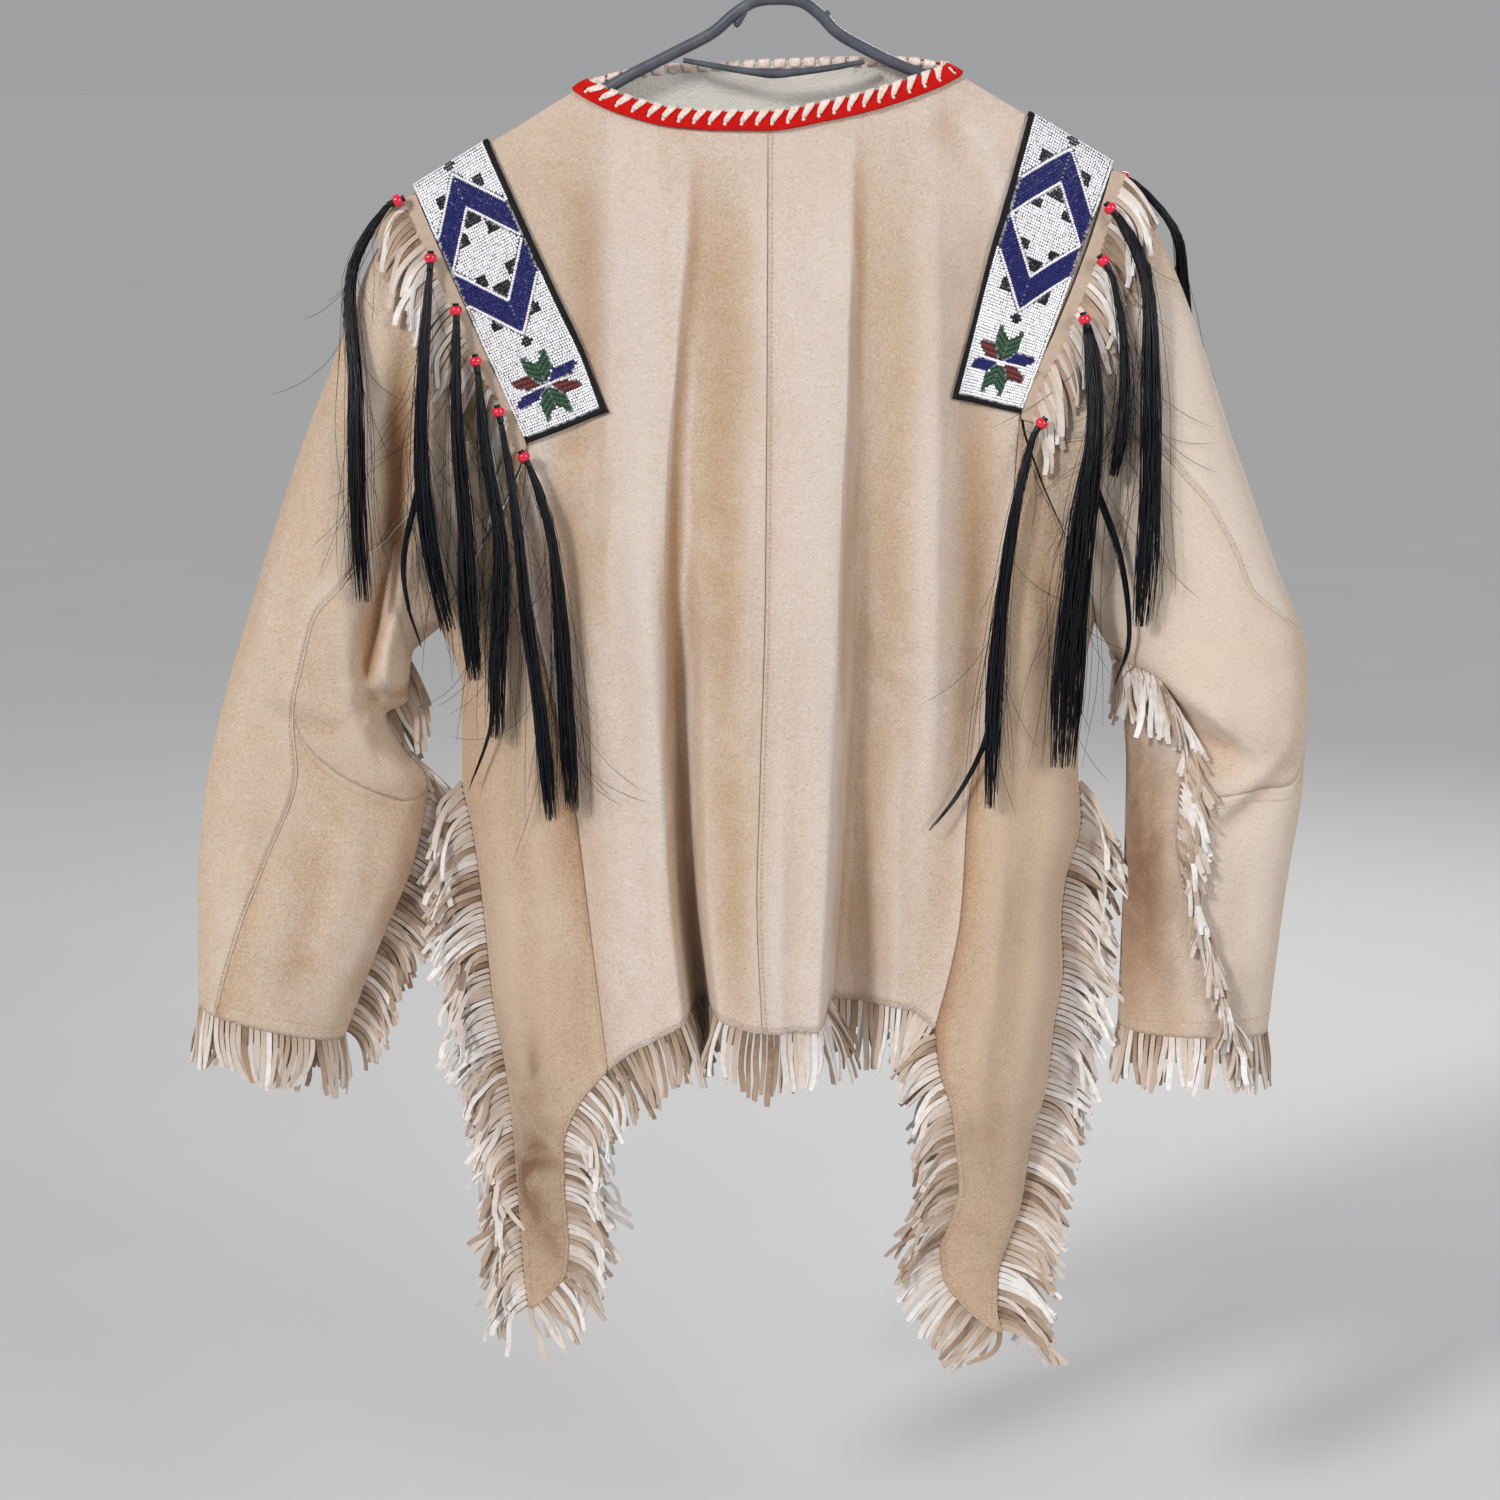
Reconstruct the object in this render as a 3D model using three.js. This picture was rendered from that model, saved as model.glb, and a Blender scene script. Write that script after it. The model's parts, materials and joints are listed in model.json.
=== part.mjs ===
// War shirt: a suede pull-over with pointed side tails, beaded shoulder bands,
// cut fringe and hair locks, hung on a tubular hanger.
// Millimetres, +Z up. The back of the garment faces -Y and the front faces +Y.
// The origin is the inside top of the hanger's hook.
import * as THREE from 'three';

// ---------- driving sizes ----------
const CLOTH = 1.8;            // suede wall
const GAP = 0.2;              // half of the gap left at a seam
const NOSE = 5;               // radius of the fold over the hanger's arm
const RIDGE_TOP = -38;        // height that the two shoulder slopes aim at, on the centre line
const SLOPE_L = 0.60;         // shoulder slope, left
const SLOPE_R = 0.585;        // shoulder slope, right
const SIDE_ROUND = 62;        // width of the rounded side of the hanging body
const STRIP_T = 2.2;          // beaded band, leather and beads
const FELT_T = 2.4;           // red felt neck trim
const FRINGE_T = 3.0;         // plain body that stands for one row of cut fringe
const HEM_FRINGE = 52;        // length of the fringe at the hem
const CUFF_FRINGE = 46;       // length of the fringe at the cuffs
const BEAD_R = 4.6;           // red crow bead
const HANGER_R = 4.3;         // hanger's tube
const HOOK_R = 1.75;          // hook's wire

// ---------- small helpers ----------
const lerp = (a, b, t) => a + (b - a) * t;
const clamp = (x, a = 0, b = 1) => Math.min(b, Math.max(a, x));
const smooth = (a, b, x) => { const t = clamp((x - a) / (b - a)); return t * t * (3 - 2 * t); };

// Monotone cubic through the rows [key, v1, v2, ...]; keys may rise or fall.
function table(rows) {
  const r = rows[0][0] > rows[rows.length - 1][0] ? rows.slice().reverse() : rows;
  const n = r.length, m = r[0].length - 1, slopes = [];
  for (let k = 1; k <= m; k++) {
    const h = [], d = [], s = new Array(n).fill(0);
    for (let i = 0; i < n - 1; i++) { h.push(r[i + 1][0] - r[i][0]); d.push((r[i + 1][k] - r[i][k]) / h[i]); }
    s[0] = d[0]; s[n - 1] = d[n - 2];
    for (let i = 1; i < n - 1; i++) {
      if (d[i - 1] * d[i] > 0) {
        const w1 = 2 * h[i] + h[i - 1], w2 = h[i] + 2 * h[i - 1];
        s[i] = (w1 + w2) / (w1 / d[i - 1] + w2 / d[i]);
      }
    }
    slopes.push(s);
  }
  return (x, k = 1) => {
    if (x <= r[0][0]) return r[0][k];
    if (x >= r[n - 1][0]) return r[n - 1][k];
    let i = 0; while (x > r[i + 1][0]) i++;
    const h = r[i + 1][0] - r[i][0], t = (x - r[i][0]) / h, s = slopes[k - 1];
    const t2 = t * t, t3 = t2 * t;
    return (2 * t3 - 3 * t2 + 1) * r[i][k] + (t3 - 2 * t2 + t) * h * s[i]
      + (-2 * t3 + 3 * t2) * r[i + 1][k] + (t3 - t2) * h * s[i + 1];
  };
}

// ---------- the cut, as hung: [z, x] ----------
const centreSeam = table([[-140, -7], [-484, -9], [-630, -13], [-704, -15], [-805, -11]]);
const SIDES = {
  left: {
    s: -1, slope: SLOPE_L, ridgeEnd: [-262, -196], neckEnd: [-135, -119.5],
    // strip's outer edge, then the seam of the side panel
    panel: table([[-196, -262], [-263, -232], [-319, -207], [-376, -182], [-453, -188], [-493, -180], [-547, -168], [-649, -149], [-741, -138], [-841, -126]]),
    stripEnd: -376, panelTop: -398,
    armhole: table([[-196, -262], [-263, -232], [-319, -207], [-376, -182], [-412, -194], [-448, -214], [-490, -238], [-516, -250]]),
    seam: table([[-516, -250], [-538, -241], [-561, -235], [-629, -236], [-671, -229], [-721, -223], [-755, -220], [-811, -215], [-846, -209], [-885, -204], [-968, -197], [-1014, -194], [-1045, -191]]),
    tailIn: table([[-841, -126], [-870, -147], [-892, -157], [-907, -160], [-948, -160], [-983, -158], [-1015, -161], [-1030, -172], [-1045, -187]]),
    tailTip: -1045, armpit: [-250, -516], hemCorner: [-126, -841],
    strip: { outTop: [-262, -196], inTop: [-207, -163], inEnd: [-120, -352], outEnd: [-182, -376] },
  },
  right: {
    s: 1, slope: SLOPE_R, ridgeEnd: [241, -179], neckEnd: [120, -108.5],
    panel: table([[-179, 241], [-238, 222], [-294, 200], [-354, 176], [-453, 169], [-518, 162], [-591, 152], [-633, 142], [-727, 136], [-776, 127], [-812, 118]]),
    stripEnd: -354, panelTop: -372,
    armhole: table([[-179, 241], [-238, 222], [-294, 200], [-354, 176], [-395, 188], [-433, 205], [-480, 227], [-512, 236]]),
    seam: table([[-512, 236], [-545, 229], [-561, 226], [-618, 226], [-663, 229], [-684, 225], [-712, 218], [-744, 216], [-780, 218], [-817, 213], [-872, 207], [-911, 196], [-960, 188], [-996, 177], [-1020, 171], [-1046, 171], [-1066, 175]]),
    tailIn: table([[-812, 118], [-841, 121], [-876, 131], [-908, 135], [-940, 138], [-974, 131], [-993, 125], [-1018, 128], [-1046, 147], [-1066, 171]]),
    tailTip: -1066, armpit: [236, -512], hemCorner: [118, -812],
    strip: { outTop: [241, -179], inTop: [179, -143], inEnd: [124, -343], outEnd: [176, -354] },
  },
};
const neckBack = table([[-135, -119.5], [-107, -130], [-72, -138], [-38, -140], [-7, -140], [31, -134], [66, -126], [101, -115], [120, -108.5]]);
const neckFront = table([[-135, -119.5], [-105, -112], [-71, -108], [-5, -105], [67, -103], [98, -104], [120, -108.5]]);
const hemBack = table([[-126, -841], [-105, -822], [-83, -809], [-63, -797], [-56, -794], [-48, -794], [-36, -799], [-11, -805], [9, -805], [28, -805], [36, -802], [42, -796], [63, -796], [86, -797], [100, -799], [118, -812]]);
const hemFront = table([[-126, -841], [-100, -822], [-70, -812], [-30, -808], [20, -808], [60, -806], [90, -806], [118, -812]]);

// ---------- folds: [z, x, width to the left, width to the right, depth] ----------
const FOLDS_BACK = [
  table([[-250, -76, 18, 18, 0], [-400, -75, 18, 18, 9], [-565, -71, 12, 12, 26], [-700, -66, 9, 9, 42], [-800, -56, 8, 8, 58]]),
  table([[-230, 76, 20, 24, 0], [-400, 72, 20, 28, 11], [-565, 56, 10, 40, 26], [-700, 49, 8, 50, 44], [-800, 43, 7, 58, 60]]),
  table([[-260, -38, 30, 26, 0], [-420, -40, 30, 26, 6], [-560, -40, 24, 22, 5], [-700, -40, 20, 20, 0]]),
  table([[-380, -160, 16, 18, 0], [-480, -156, 18, 20, 7], [-620, -150, 18, 20, 9], [-760, -142, 18, 18, 5], [-900, -150, 20, 20, 3]]),
  table([[-300, 150, 20, 16, 0], [-480, 148, 22, 18, 7], [-640, 130, 20, 18, 9], [-820, 112, 18, 16, 6]]),
];
const FOLDS_FRONT = [
  table([[-240, 66, 22, 20, 0], [-430, 60, 20, 20, 10], [-620, 52, 14, 16, 28], [-800, 46, 12, 14, 46]]),
  table([[-240, -70, 24, 22, 0], [-430, -66, 24, 22, 12], [-620, -60, 16, 20, 26], [-800, -58, 14, 24, 44]]),
  table([[-420, -8, 30, 28, 0], [-600, -4, 26, 28, 7], [-800, 2, 24, 24, 10]]),
];
function foldDepth(folds, x, z) {
  let y = 0;
  for (const f of folds) {
    const dx = x - f(z, 1), w = dx < 0 ? f(z, 2) : f(z, 3);
    y += f(z, 4) * Math.exp(-Math.pow(Math.abs(dx) / w, 2.4));
  }
  return y;
}

// ---------- form of the hanging body: distance of the cloth from the middle plane ----------
const ridgeZ = x => RIDGE_TOP - (x < 0 ? SLOPE_L : SLOPE_R) * Math.sqrt(x * x + 36);
function bodyDepth(x, z, face) {
  const S = x < 0 ? SIDES.left : SIDES.right;
  const d = Math.max(0, ridgeZ(x) - z);
  const up = S.armpit[1];
  const edge = z > up ? Math.abs(S.armpit[0]) + (z - up) * 0.9 : Math.abs(S.seam(z));
  const e = clamp((edge - Math.abs(x)) / SIDE_ROUND);
  const round = Math.sqrt(Math.max(0, 1 - (1 - e) * (1 - e)));
  const tail = 1 - 0.62 * smooth(-820, -1080, z);
  const taper = 1 - 0.28 * smooth(60, 150, Math.abs(x));
  const h = Math.sqrt(2 * NOSE * d) * tail * taper * (face < 0 ? 1 : 0.94);
  const open = 22 * smooth(-850, -980, z);
  const folds = foldDepth(face < 0 ? FOLDS_BACK : FOLDS_FRONT, x, z);
  return Math.max(0, open + Math.max(0, h - open) * round - folds * round);
}
const body = (x, z, face) => [x, face * (bodyDepth(x, z, face) + GAP), z];

// ---------- closed walls from a grid of points ----------
const add = (a, b, k = 1) => [a[0] + b[0] * k, a[1] + b[1] * k, a[2] + b[2] * k];
const sub = (a, b) => [a[0] - b[0], a[1] - b[1], a[2] - b[2]];
const cross = (a, b) => [a[1] * b[2] - a[2] * b[1], a[2] * b[0] - a[0] * b[2], a[0] * b[1] - a[1] * b[0]];
const unit = a => { const l = Math.hypot(...a) || 1; return [a[0] / l, a[1] / l, a[2] / l]; };
const steps = (n, f = t => t) => Array.from({ length: n + 1 }, (_, i) => f(i / n));

function geometry(points, faces) {
  let vol = 0;
  for (const [a, b, c] of faces) {
    const A = points[a], C = cross(points[b], points[c]);
    vol += A[0] * C[0] + A[1] * C[1] + A[2] * C[2];
  }
  const g = new THREE.BufferGeometry();
  g.setAttribute('position', new THREE.Float32BufferAttribute(points.flat(), 3));
  g.setIndex(faces.flatMap(([a, b, c]) => (vol < 0 ? [a, c, b] : [a, b, c])));
  return g;
}
const EPS = 2e-3;
// normal of a surface P(u, v), by a small step each way inside 0..1
function normalAt(P, u, v) {
  const du = sub(P(clamp(u + EPS), v), P(clamp(u - EPS), v));
  const dv = sub(P(u, clamp(v + EPS)), P(u, clamp(v - EPS)));
  return unit(cross(du, dv));
}
// P(u, v) is one face of the wall; lo and hi are offsets along its normal,
// which is turned once for the whole wall so that it agrees with out(p) at the middle.
function wall(P, us, vs, lo, hi, out, ringV = false) {
  const nu = us.length, nv = vs.length, pts = [], faces = [];
  const um = us[nu >> 1], vm = vs[nv >> 1], nm = normalAt(P, um, vm), om = out(P(um, vm));
  const turn = nm[0] * om[0] + nm[1] * om[1] + nm[2] * om[2] < 0 ? -1 : 1;
  const normals = us.map(u => vs.map(v => normalAt(P, u, v).map(k => k * turn)));
  for (const off of [hi, lo]) us.forEach((u, i) => vs.forEach((v, j) => pts.push(add(P(u, v), normals[i][j], off))));
  const id = (k, i, j) => k * nu * nv + i * nv + (ringV ? j % nv : j);
  const quad = (a, b, c, d) => faces.push([a, b, c], [a, c, d]);
  const nj = ringV ? nv : nv - 1;
  for (let i = 0; i < nu - 1; i++) for (let j = 0; j < nj; j++) {
    quad(id(0, i, j), id(0, i + 1, j), id(0, i + 1, j + 1), id(0, i, j + 1));
    quad(id(1, i, j), id(1, i, j + 1), id(1, i + 1, j + 1), id(1, i + 1, j));
  }
  for (let j = 0; j < nj; j++) {
    quad(id(0, 0, j), id(0, 0, j + 1), id(1, 0, j + 1), id(1, 0, j));
    quad(id(0, nu - 1, j + 1), id(0, nu - 1, j), id(1, nu - 1, j), id(1, nu - 1, j + 1));
  }
  if (!ringV) for (let i = 0; i < nu - 1; i++) {
    quad(id(0, i + 1, 0), id(0, i, 0), id(1, i, 0), id(1, i + 1, 0));
    quad(id(0, i, nv - 1), id(0, i + 1, nv - 1), id(1, i + 1, nv - 1), id(1, i, nv - 1));
  }
  return geometry(pts, faces);
}

const group = new THREE.Group();
function put(name, geom, look) {
  const [color, roughness, metalness] = look;
  const mesh = new THREE.Mesh(geom, new THREE.MeshStandardMaterial({ color, roughness, metalness }));
  mesh.name = name;
  group.add(mesh);
  return mesh;
}
const LOOK = {
  suede: [0xd6bd9b, 0.95, 0], suedeDark: [0xc9ad86, 0.95, 0], fringe: [0xd9cbb8, 0.95, 0],
  felt: [0xd4151b, 1, 0], beads: [0xe9e9f2, 0.3, 0], hair: [0x0c0f18, 0.45, 0],
  plastic: [0x50525c, 0.45, 0], steel: [0xb8bcc2, 0.25, 1],
};
const outward = face => () => [0, face, 0];

// ---------- back and front panels ----------
// Rows down each half: the height of the row on its outer seam, shared by both panels that meet there.
const ROWS = {
  left: [-196, -197.5, -202, -211, -228, -258, -296, -338, -376, -398, -420, -446, -482, -516, -548, -592, -645, -700, -750, -800, -841],
  right: [-179, -180.5, -185, -194, -211, -240, -278, -318, -354, -372, -396, -430, -470, -512, -544, -586, -633, -684, -727, -772, -812],
};
const FRACTION = side => ROWS[side].map(z => Math.sqrt((ROWS[side][0] - z) / (ROWS[side][0] - ROWS[side].at(-1))));
const DOWN = { left: FRACTION('left'), right: FRACTION('right') };
DOWN.middle = DOWN.left.map((f, i) => (f + DOWN.right[i]) / 2);
const pick = (list, r) => { const x = clamp(r) * (list.length - 1), i = Math.min(list.length - 2, Math.floor(x)); return lerp(list[i], list[i + 1], x - i); };
// r runs down the panel (0 at the top edge), v from the centre seam (0) to the outer seam (1)
function panelSurface(side, face, inset = true) {
  const S = SIDES[side], neck = face < 0 ? neckBack : neckFront, hem = face < 0 ? hemBack : hemFront;
  return (r, v) => {
    const f = lerp(pick(DOWN.middle, r), pick(DOWN[side], r), v), d = f * f;
    const hx = lerp(centreSeam(-805), S.hemCorner[0], v), tx = lerp(centreSeam(-140), S.ridgeEnd[0], v);
    const top = Math.abs(tx) < Math.abs(S.neckEnd[0]) ? neck(tx) : ridgeZ(tx);
    const z = lerp(top, hem(hx), d), zo = lerp(S.ridgeEnd[1], S.hemCorner[1], d);
    const xc = centreSeam(z) + (inset ? S.s * GAP : 0), xo = S.panel(zo) - S.s * GAP;
    return body(lerp(xc, xo, v), z, face);
  };
}
const evenRows = steps(ROWS.left.length - 1);
const colsLeft = [0, 0.16, 0.28, 0.345, 0.375, 0.4, 0.425, 0.47, 0.58, 0.72, 0.86, 1];
const colsRight = [0, 0.16, 0.28, 0.335, 0.37, 0.41, 0.47, 0.56, 0.68, 0.84, 1];
put('back_left', wall(panelSurface('left', -1), evenRows, colsLeft, -CLOTH, 0, outward(-1)), LOOK.suede);
put('back_right', wall(panelSurface('right', -1), evenRows, colsRight, -CLOTH, 0, outward(-1)), LOOK.suede);
const frontSurface = (r, k) => { const v = 2 * k - 1; return panelSurface(v < 0 ? 'left' : 'right', 1, false)(r, Math.abs(v)); };
{
  const cols = [-1, -0.8, -0.62, -0.5, -0.38, -0.2, 0, 0.2, 0.38, 0.5, 0.62, 0.8, 1];
  put('front', wall(frontSurface, evenRows, cols.map(v => (v + 1) / 2), -CLOTH, 0, outward(1)), LOOK.suede);
}
// side panels: z down from the end of the beaded band to the tail's tip, v from the side seam (0) to the inner seam (1)
function sideSurface(side, face) {
  const S = SIDES[side], top = S.panelTop;
  return (u, v) => {
    const z = lerp(top, S.tailTip, u);
    const xo = z > S.armpit[1] ? S.armhole(z) - S.s * 1.6 * smooth(S.armpit[1], top, z) - S.s * GAP : S.seam(z);
    const xi = (z > S.hemCorner[1] ? S.panel(z) : S.tailIn(z)) + S.s * GAP;
    return body(lerp(xo, xi, lerp(v, v * v, clamp((Math.abs(xo - xi) - 4) / 30))), z, face);
  };
}
for (const side of ['left', 'right']) {
  const S = SIDES[side], top = S.panelTop, corner = S.hemCorner[1];
  const shared = ROWS[side].filter(z => z <= top && z >= corner);
  const below = [-10, -24, -42, -60, -90, -122, -150, -176, -192].map(d => corner + d).filter(z => z > S.tailTip + 8);
  const us = [...shared, ...below, S.tailTip].map(z => (top - z) / (top - S.tailTip));
  put(`side_back_${side}`, wall(sideSurface(side, -1), us, steps(6), -CLOTH, 0, outward(-1)), LOOK.suedeDark);
  put(`side_front_${side}`, wall(sideSurface(side, 1), us, steps(4), -CLOTH, 0, outward(1)), LOOK.suedeDark);
}

// ---------- sleeves ----------
// Rows from the armhole (0) to the cuff (1): outer edge x z, inner edge x z, half depth back and front.
const SLEEVES = {
  left: table([
    [0.00, -262, -196, -250, -516, 26, 24],
    [0.12, -297, -250, -262, -526, 34, 30],
    [0.25, -323, -316, -272, -538, 42, 36],
    [0.40, -354, -394, -275, -571, 48, 42],
    [0.50, -373, -448, -292, -583, 50, 44],
    [0.60, -394, -511, -281, -606, 50, 46],
    [0.70, -413, -572, -262, -636, 46, 46],
    [0.80, -429, -640, -272, -690, 42, 42],
    [0.90, -438, -726, -300, -758, 38, 38],
    [1.00, -440, -806, -329, -832, 36, 36]]),
  right: table([
    [0.00, 241, -179, 236, -512, 26, 24],
    [0.12, 277, -230, 240, -520, 34, 30],
    [0.25, 303, -288, 246, -530, 42, 36],
    [0.40, 332, -370, 253, -548, 48, 42],
    [0.55, 364, -456, 259, -578, 52, 48],
    [0.70, 396, -552, 263, -635, 54, 48],
    [0.80, 395, -625, 263, -690, 50, 46],
    [0.90, 384, -722, 262, -755, 44, 42],
    [1.00, 375, -826, 261, -822, 38, 38]]),
};
// seams round the sleeve: 0 outer fold, 1 inner fold (back side), negative past the outer fold
const SEAM_UPPER = {
  left: table([[0, 0.54], [0.05, 0.54], [0.25, 0.55], [0.33, 0.513], [0.48, 0.455], [0.57, 0.436], [0.665, 0.41], [0.75, 0.45], [0.84, 0.40], [0.9, 0.35], [1, 0.25]]),
  right: table([[0, 0.54], [0.05, 0.53], [0.2, 0.44], [0.33, 0.39], [0.42, 0.333], [0.5, 0.30], [0.55, 0.29], [0.6, 0.215], [0.63, 0.14], [0.66, 0.02], [0.7, -0.05], [0.75, -0.05], [1, -0.06]]),
};
const SEAM_UNDER = {
  left: table([[0, 1], [1, 1]]),
  right: table([[0, 1], [0.3, 0.97], [0.45, 0.8], [0.55, 0.69], [0.62, 0.65], [0.79, 0.66], [0.84, 0.63], [0.88, 0.57], [0.93, 0.5], [1, 0.36]]),
};
const ELBOW = {
  left: table([[0, 0.665], [0.1, 0.70], [0.3, 0.72], [0.6, 0.728], [0.85, 0.715], [1, 0.70]]),
  right: table([[0, 0.75], [0.15, 0.77], [0.35, 0.797], [0.6, 0.78], [1, 0.745]]),
};
// creases across the back of a sleeve: a line, the height of the step over it, how sharp and how far it reaches
const CREASES = [
  { from: [238, -520], to: [352, -606], step: 11, sharp: 5, reach: 34 },
  { from: [392, -592], to: [318, -662], step: 6, sharp: 6, reach: 26 },
  { from: [-276, -548], to: [-312, -566], step: 9, sharp: 7, reach: 22 },
  { from: [-300, -584], to: [-272, -580], step: 8, sharp: 5, reach: 20 },
];
function creaseDepth(x, z) {
  let y = 0;
  for (const c of CREASES) {
    const ax = c.to[0] - c.from[0], az = c.to[1] - c.from[1], L = Math.hypot(ax, az);
    const t = ((x - c.from[0]) * ax + (z - c.from[1]) * az) / (L * L);
    const s = ((x - c.from[0]) * az - (z - c.from[1]) * ax) / L * (ax > 0 ? -1 : 1);   // above the line is positive
    const ends = smooth(-0.15, 0.12, t) * (1 - smooth(0.75, 1.15, t));
    y += c.step * ends * Math.tanh(s / c.sharp) * Math.exp(-Math.pow(Math.abs(s) / c.reach, 1.5));
  }
  return y;
}
function armholePoint(side, u, face) {
  const S = SIDES[side], z = lerp(S.ridgeEnd[1], S.armpit[1], u);
  return body(S.armhole(z), z, face);
}
function sectionPoint(side, t, u, face) {
  const T = SLEEVES[side];
  const k = Math.pow(Math.max(0, 1 - Math.pow(Math.abs(2 * u - 1), 2.3)), 1 / 2.3);
  return [lerp(T(t, 1), T(t, 3), u), face * T(t, face < 0 ? 5 : 6) * k, lerp(T(t, 2), T(t, 4), u)];
}
// v: 0 outer fold, 0..1 over the back to the inner fold, 1..2 over the front, negative also the front
function sleevePoint(side, t, v) {
  const w = ((v % 2) + 2) % 2, face = w <= 1 ? -1 : 1, lin = w <= 1 ? w : 2 - w;
  const u = (1 - Math.cos(Math.PI * lin)) / 2;
  let p = sectionPoint(side, t, u, face);
  const fade = Math.pow(clamp(1 - t / 0.4), 2);
  if (fade > 0) p = add(p, sub(armholePoint(side, u, face), sectionPoint(side, 0, u, face)), fade);
  const k = Math.sin(Math.PI * lin);
  if (face < 0) p[1] = Math.min(-0.3, p[1] - creaseDepth(p[0], p[2]) * k * smooth(0.05, 0.3, t));
  else p[1] = Math.max(0.3, p[1]);
  return p;
}
const GUSSET_ROWS = [0, 0.12, 0.26, 0.42, 0.58, 0.72, 0.86, 1], LOWER_ROWS = [0, 0.24, 0.5, 0.75, 1];
const T0 = 0.012;
const G = 0.003;              // half gap at the sleeve seams, in turns of the section
const sleeveRow = (side, r, k) => (r <= 1 ? lerp(T0, ELBOW[side](k) - 1.5 * G, r) : lerp(ELBOW[side](k) + 1.5 * G, 1, r - 1));
function sleeveOut(side) {
  const T = SLEEVES[side];
  return p => {
    let best = 1e9, c = [0, 0, 0];
    for (let i = 0; i <= 20; i++) {
      const t = i / 20, q = [lerp(T(t, 1), T(t, 3), 0.5), 0, lerp(T(t, 2), T(t, 4), 0.5)];
      const d = Math.hypot(p[0] - q[0], p[2] - q[2]);
      if (d < best) { best = d; c = q; }
    }
    return [p[0] - c[0], p[1] * 2.5, p[2] - c[2]];
  };
}
for (const side of ['left', 'right']) {
  const g = G, A = SEAM_UPPER[side], U = SEAM_UNDER[side], out = sleeveOut(side);
  // outer sleeve: from the underarm seam over the front and the outer fold to the upper seam
  const outer = (q, k) => {
    const r = q * 2, t = lerp(sleeveRow(side, r, 1), sleeveRow(side, r, 0), k);
    const tu = sleeveRow(side, r, 1), ta = sleeveRow(side, r, 0);
    return sleevePoint(side, t, lerp(U(tu) - 2 + g, A(ta) - g, k));
  };
  const gusset = (r, k) => {
    const t = lerp(T0, ELBOW[side](k) - 1.5 * g, r);
    return sleevePoint(side, t, lerp(A(t) + g, U(t) - g, k));
  };
  const lower = (r, k) => {
    const t = lerp(ELBOW[side](k) + 1.5 * g, 1, r);
    return sleevePoint(side, t, lerp(A(t) + g, U(t) - g, k));
  };
  const rows = [...GUSSET_ROWS.map(r => r / 2), ...LOWER_ROWS.slice(1).map(r => (1 + r) / 2)];
  put(`sleeve_${side}_outer`, wall(outer, rows, steps(17), -CLOTH, 0, out), LOOK.suede);
  put(`sleeve_${side}_gusset`, wall(gusset, GUSSET_ROWS, steps(5), -CLOTH, 0, out), LOOK.suedeDark);
  put(`sleeve_${side}_lower`, wall(lower, LOWER_ROWS, steps(4), -CLOTH, 0, out), LOOK.suede);
}

// ---------- how far the cloth stands out at a place, for what hangs in front of it ----------
const CELL = 6, near = new Map(), far = new Map();
const key = (x, z) => `${Math.round(x / CELL)},${Math.round(z / CELL)}`;
function mark(p) {
  const k = key(p[0], p[2]);
  if (p[1] < (near.get(k) ?? 0)) near.set(k, p[1]);
  if (p[1] > (far.get(k) ?? 0)) far.set(k, p[1]);
}
for (const side of ['left', 'right']) {
  for (let i = 0; i <= 110; i++) for (let j = 0; j <= 60; j++) {
    for (const f of [-1, 1]) { mark(panelSurface(side, f)(i / 110, j / 60)); mark(sideSurface(side, f)(i / 110, j / 60)); }
    mark(sleevePoint(side, T0 + (1 - T0) * i / 110, 2 * j / 61));
    mark(sleevePoint(side, T0 + (1 - T0) * i / 110, (2 * j + 1) / 61));
  }
}
// the outermost cloth within reach of (x, z), on the back (face -1) or the front (face 1)
function skin(x, z, face, reach = 1) {
  const map = face < 0 ? near : far;
  let y = 0;
  for (let i = -reach; i <= reach; i++) for (let j = -reach; j <= reach; j++) {
    const v = map.get(key(x + i * CELL, z + j * CELL));
    if (v !== undefined && v * face > y * face) y = v;
  }
  return y;
}

// ---------- fringe: one plain wall for the reach of each row of cut strips ----------
// top: points along the seam; reach: from each of them to the ends of the strips
function band(name, top, reach, thick, out, look = LOOK.fringe, rows = [0, 1]) {
  const n = top.length - 1;
  const at = (list, k) => { const x = clamp(k) * n, i = Math.min(n - 1, Math.floor(x)), t = x - i; return list[i].map((c, m) => lerp(c, list[i + 1][m], t)); };
  const P = (u, v) => add(at(top, v), at(reach, v), u);
  put(name, wall(P, rows, steps(n), -thick / 2, thick / 2, out), look);
}
const faceName = { '-1': 'back', 1: 'front' };
for (const face of [-1, 1]) {
  // hem
  const hem = face < 0 ? hemBack : hemFront;
  const xs = face < 0
    ? [-123, -104, -86, -72, -65, -60, -56, -51, -46, -38, -24, -4, 16, 28, 34, 39, 44, 54, 70, 90, 104, 114]
    : [-120, -102, -84, -70, -60, -48, -30, -8, 16, 34, 46, 60, 80, 96, 106];
  const top = xs.map(x => { const q = body(x, hem(x), face); return [q[0], q[1] - face * CLOTH / 2, q[2] - 2.4]; });
  band(`hem_fringe_${faceName[face]}`, top, top.map(() => [0, face * 3, -HEM_FRINGE]), CLOTH, outward(face));
}
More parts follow.
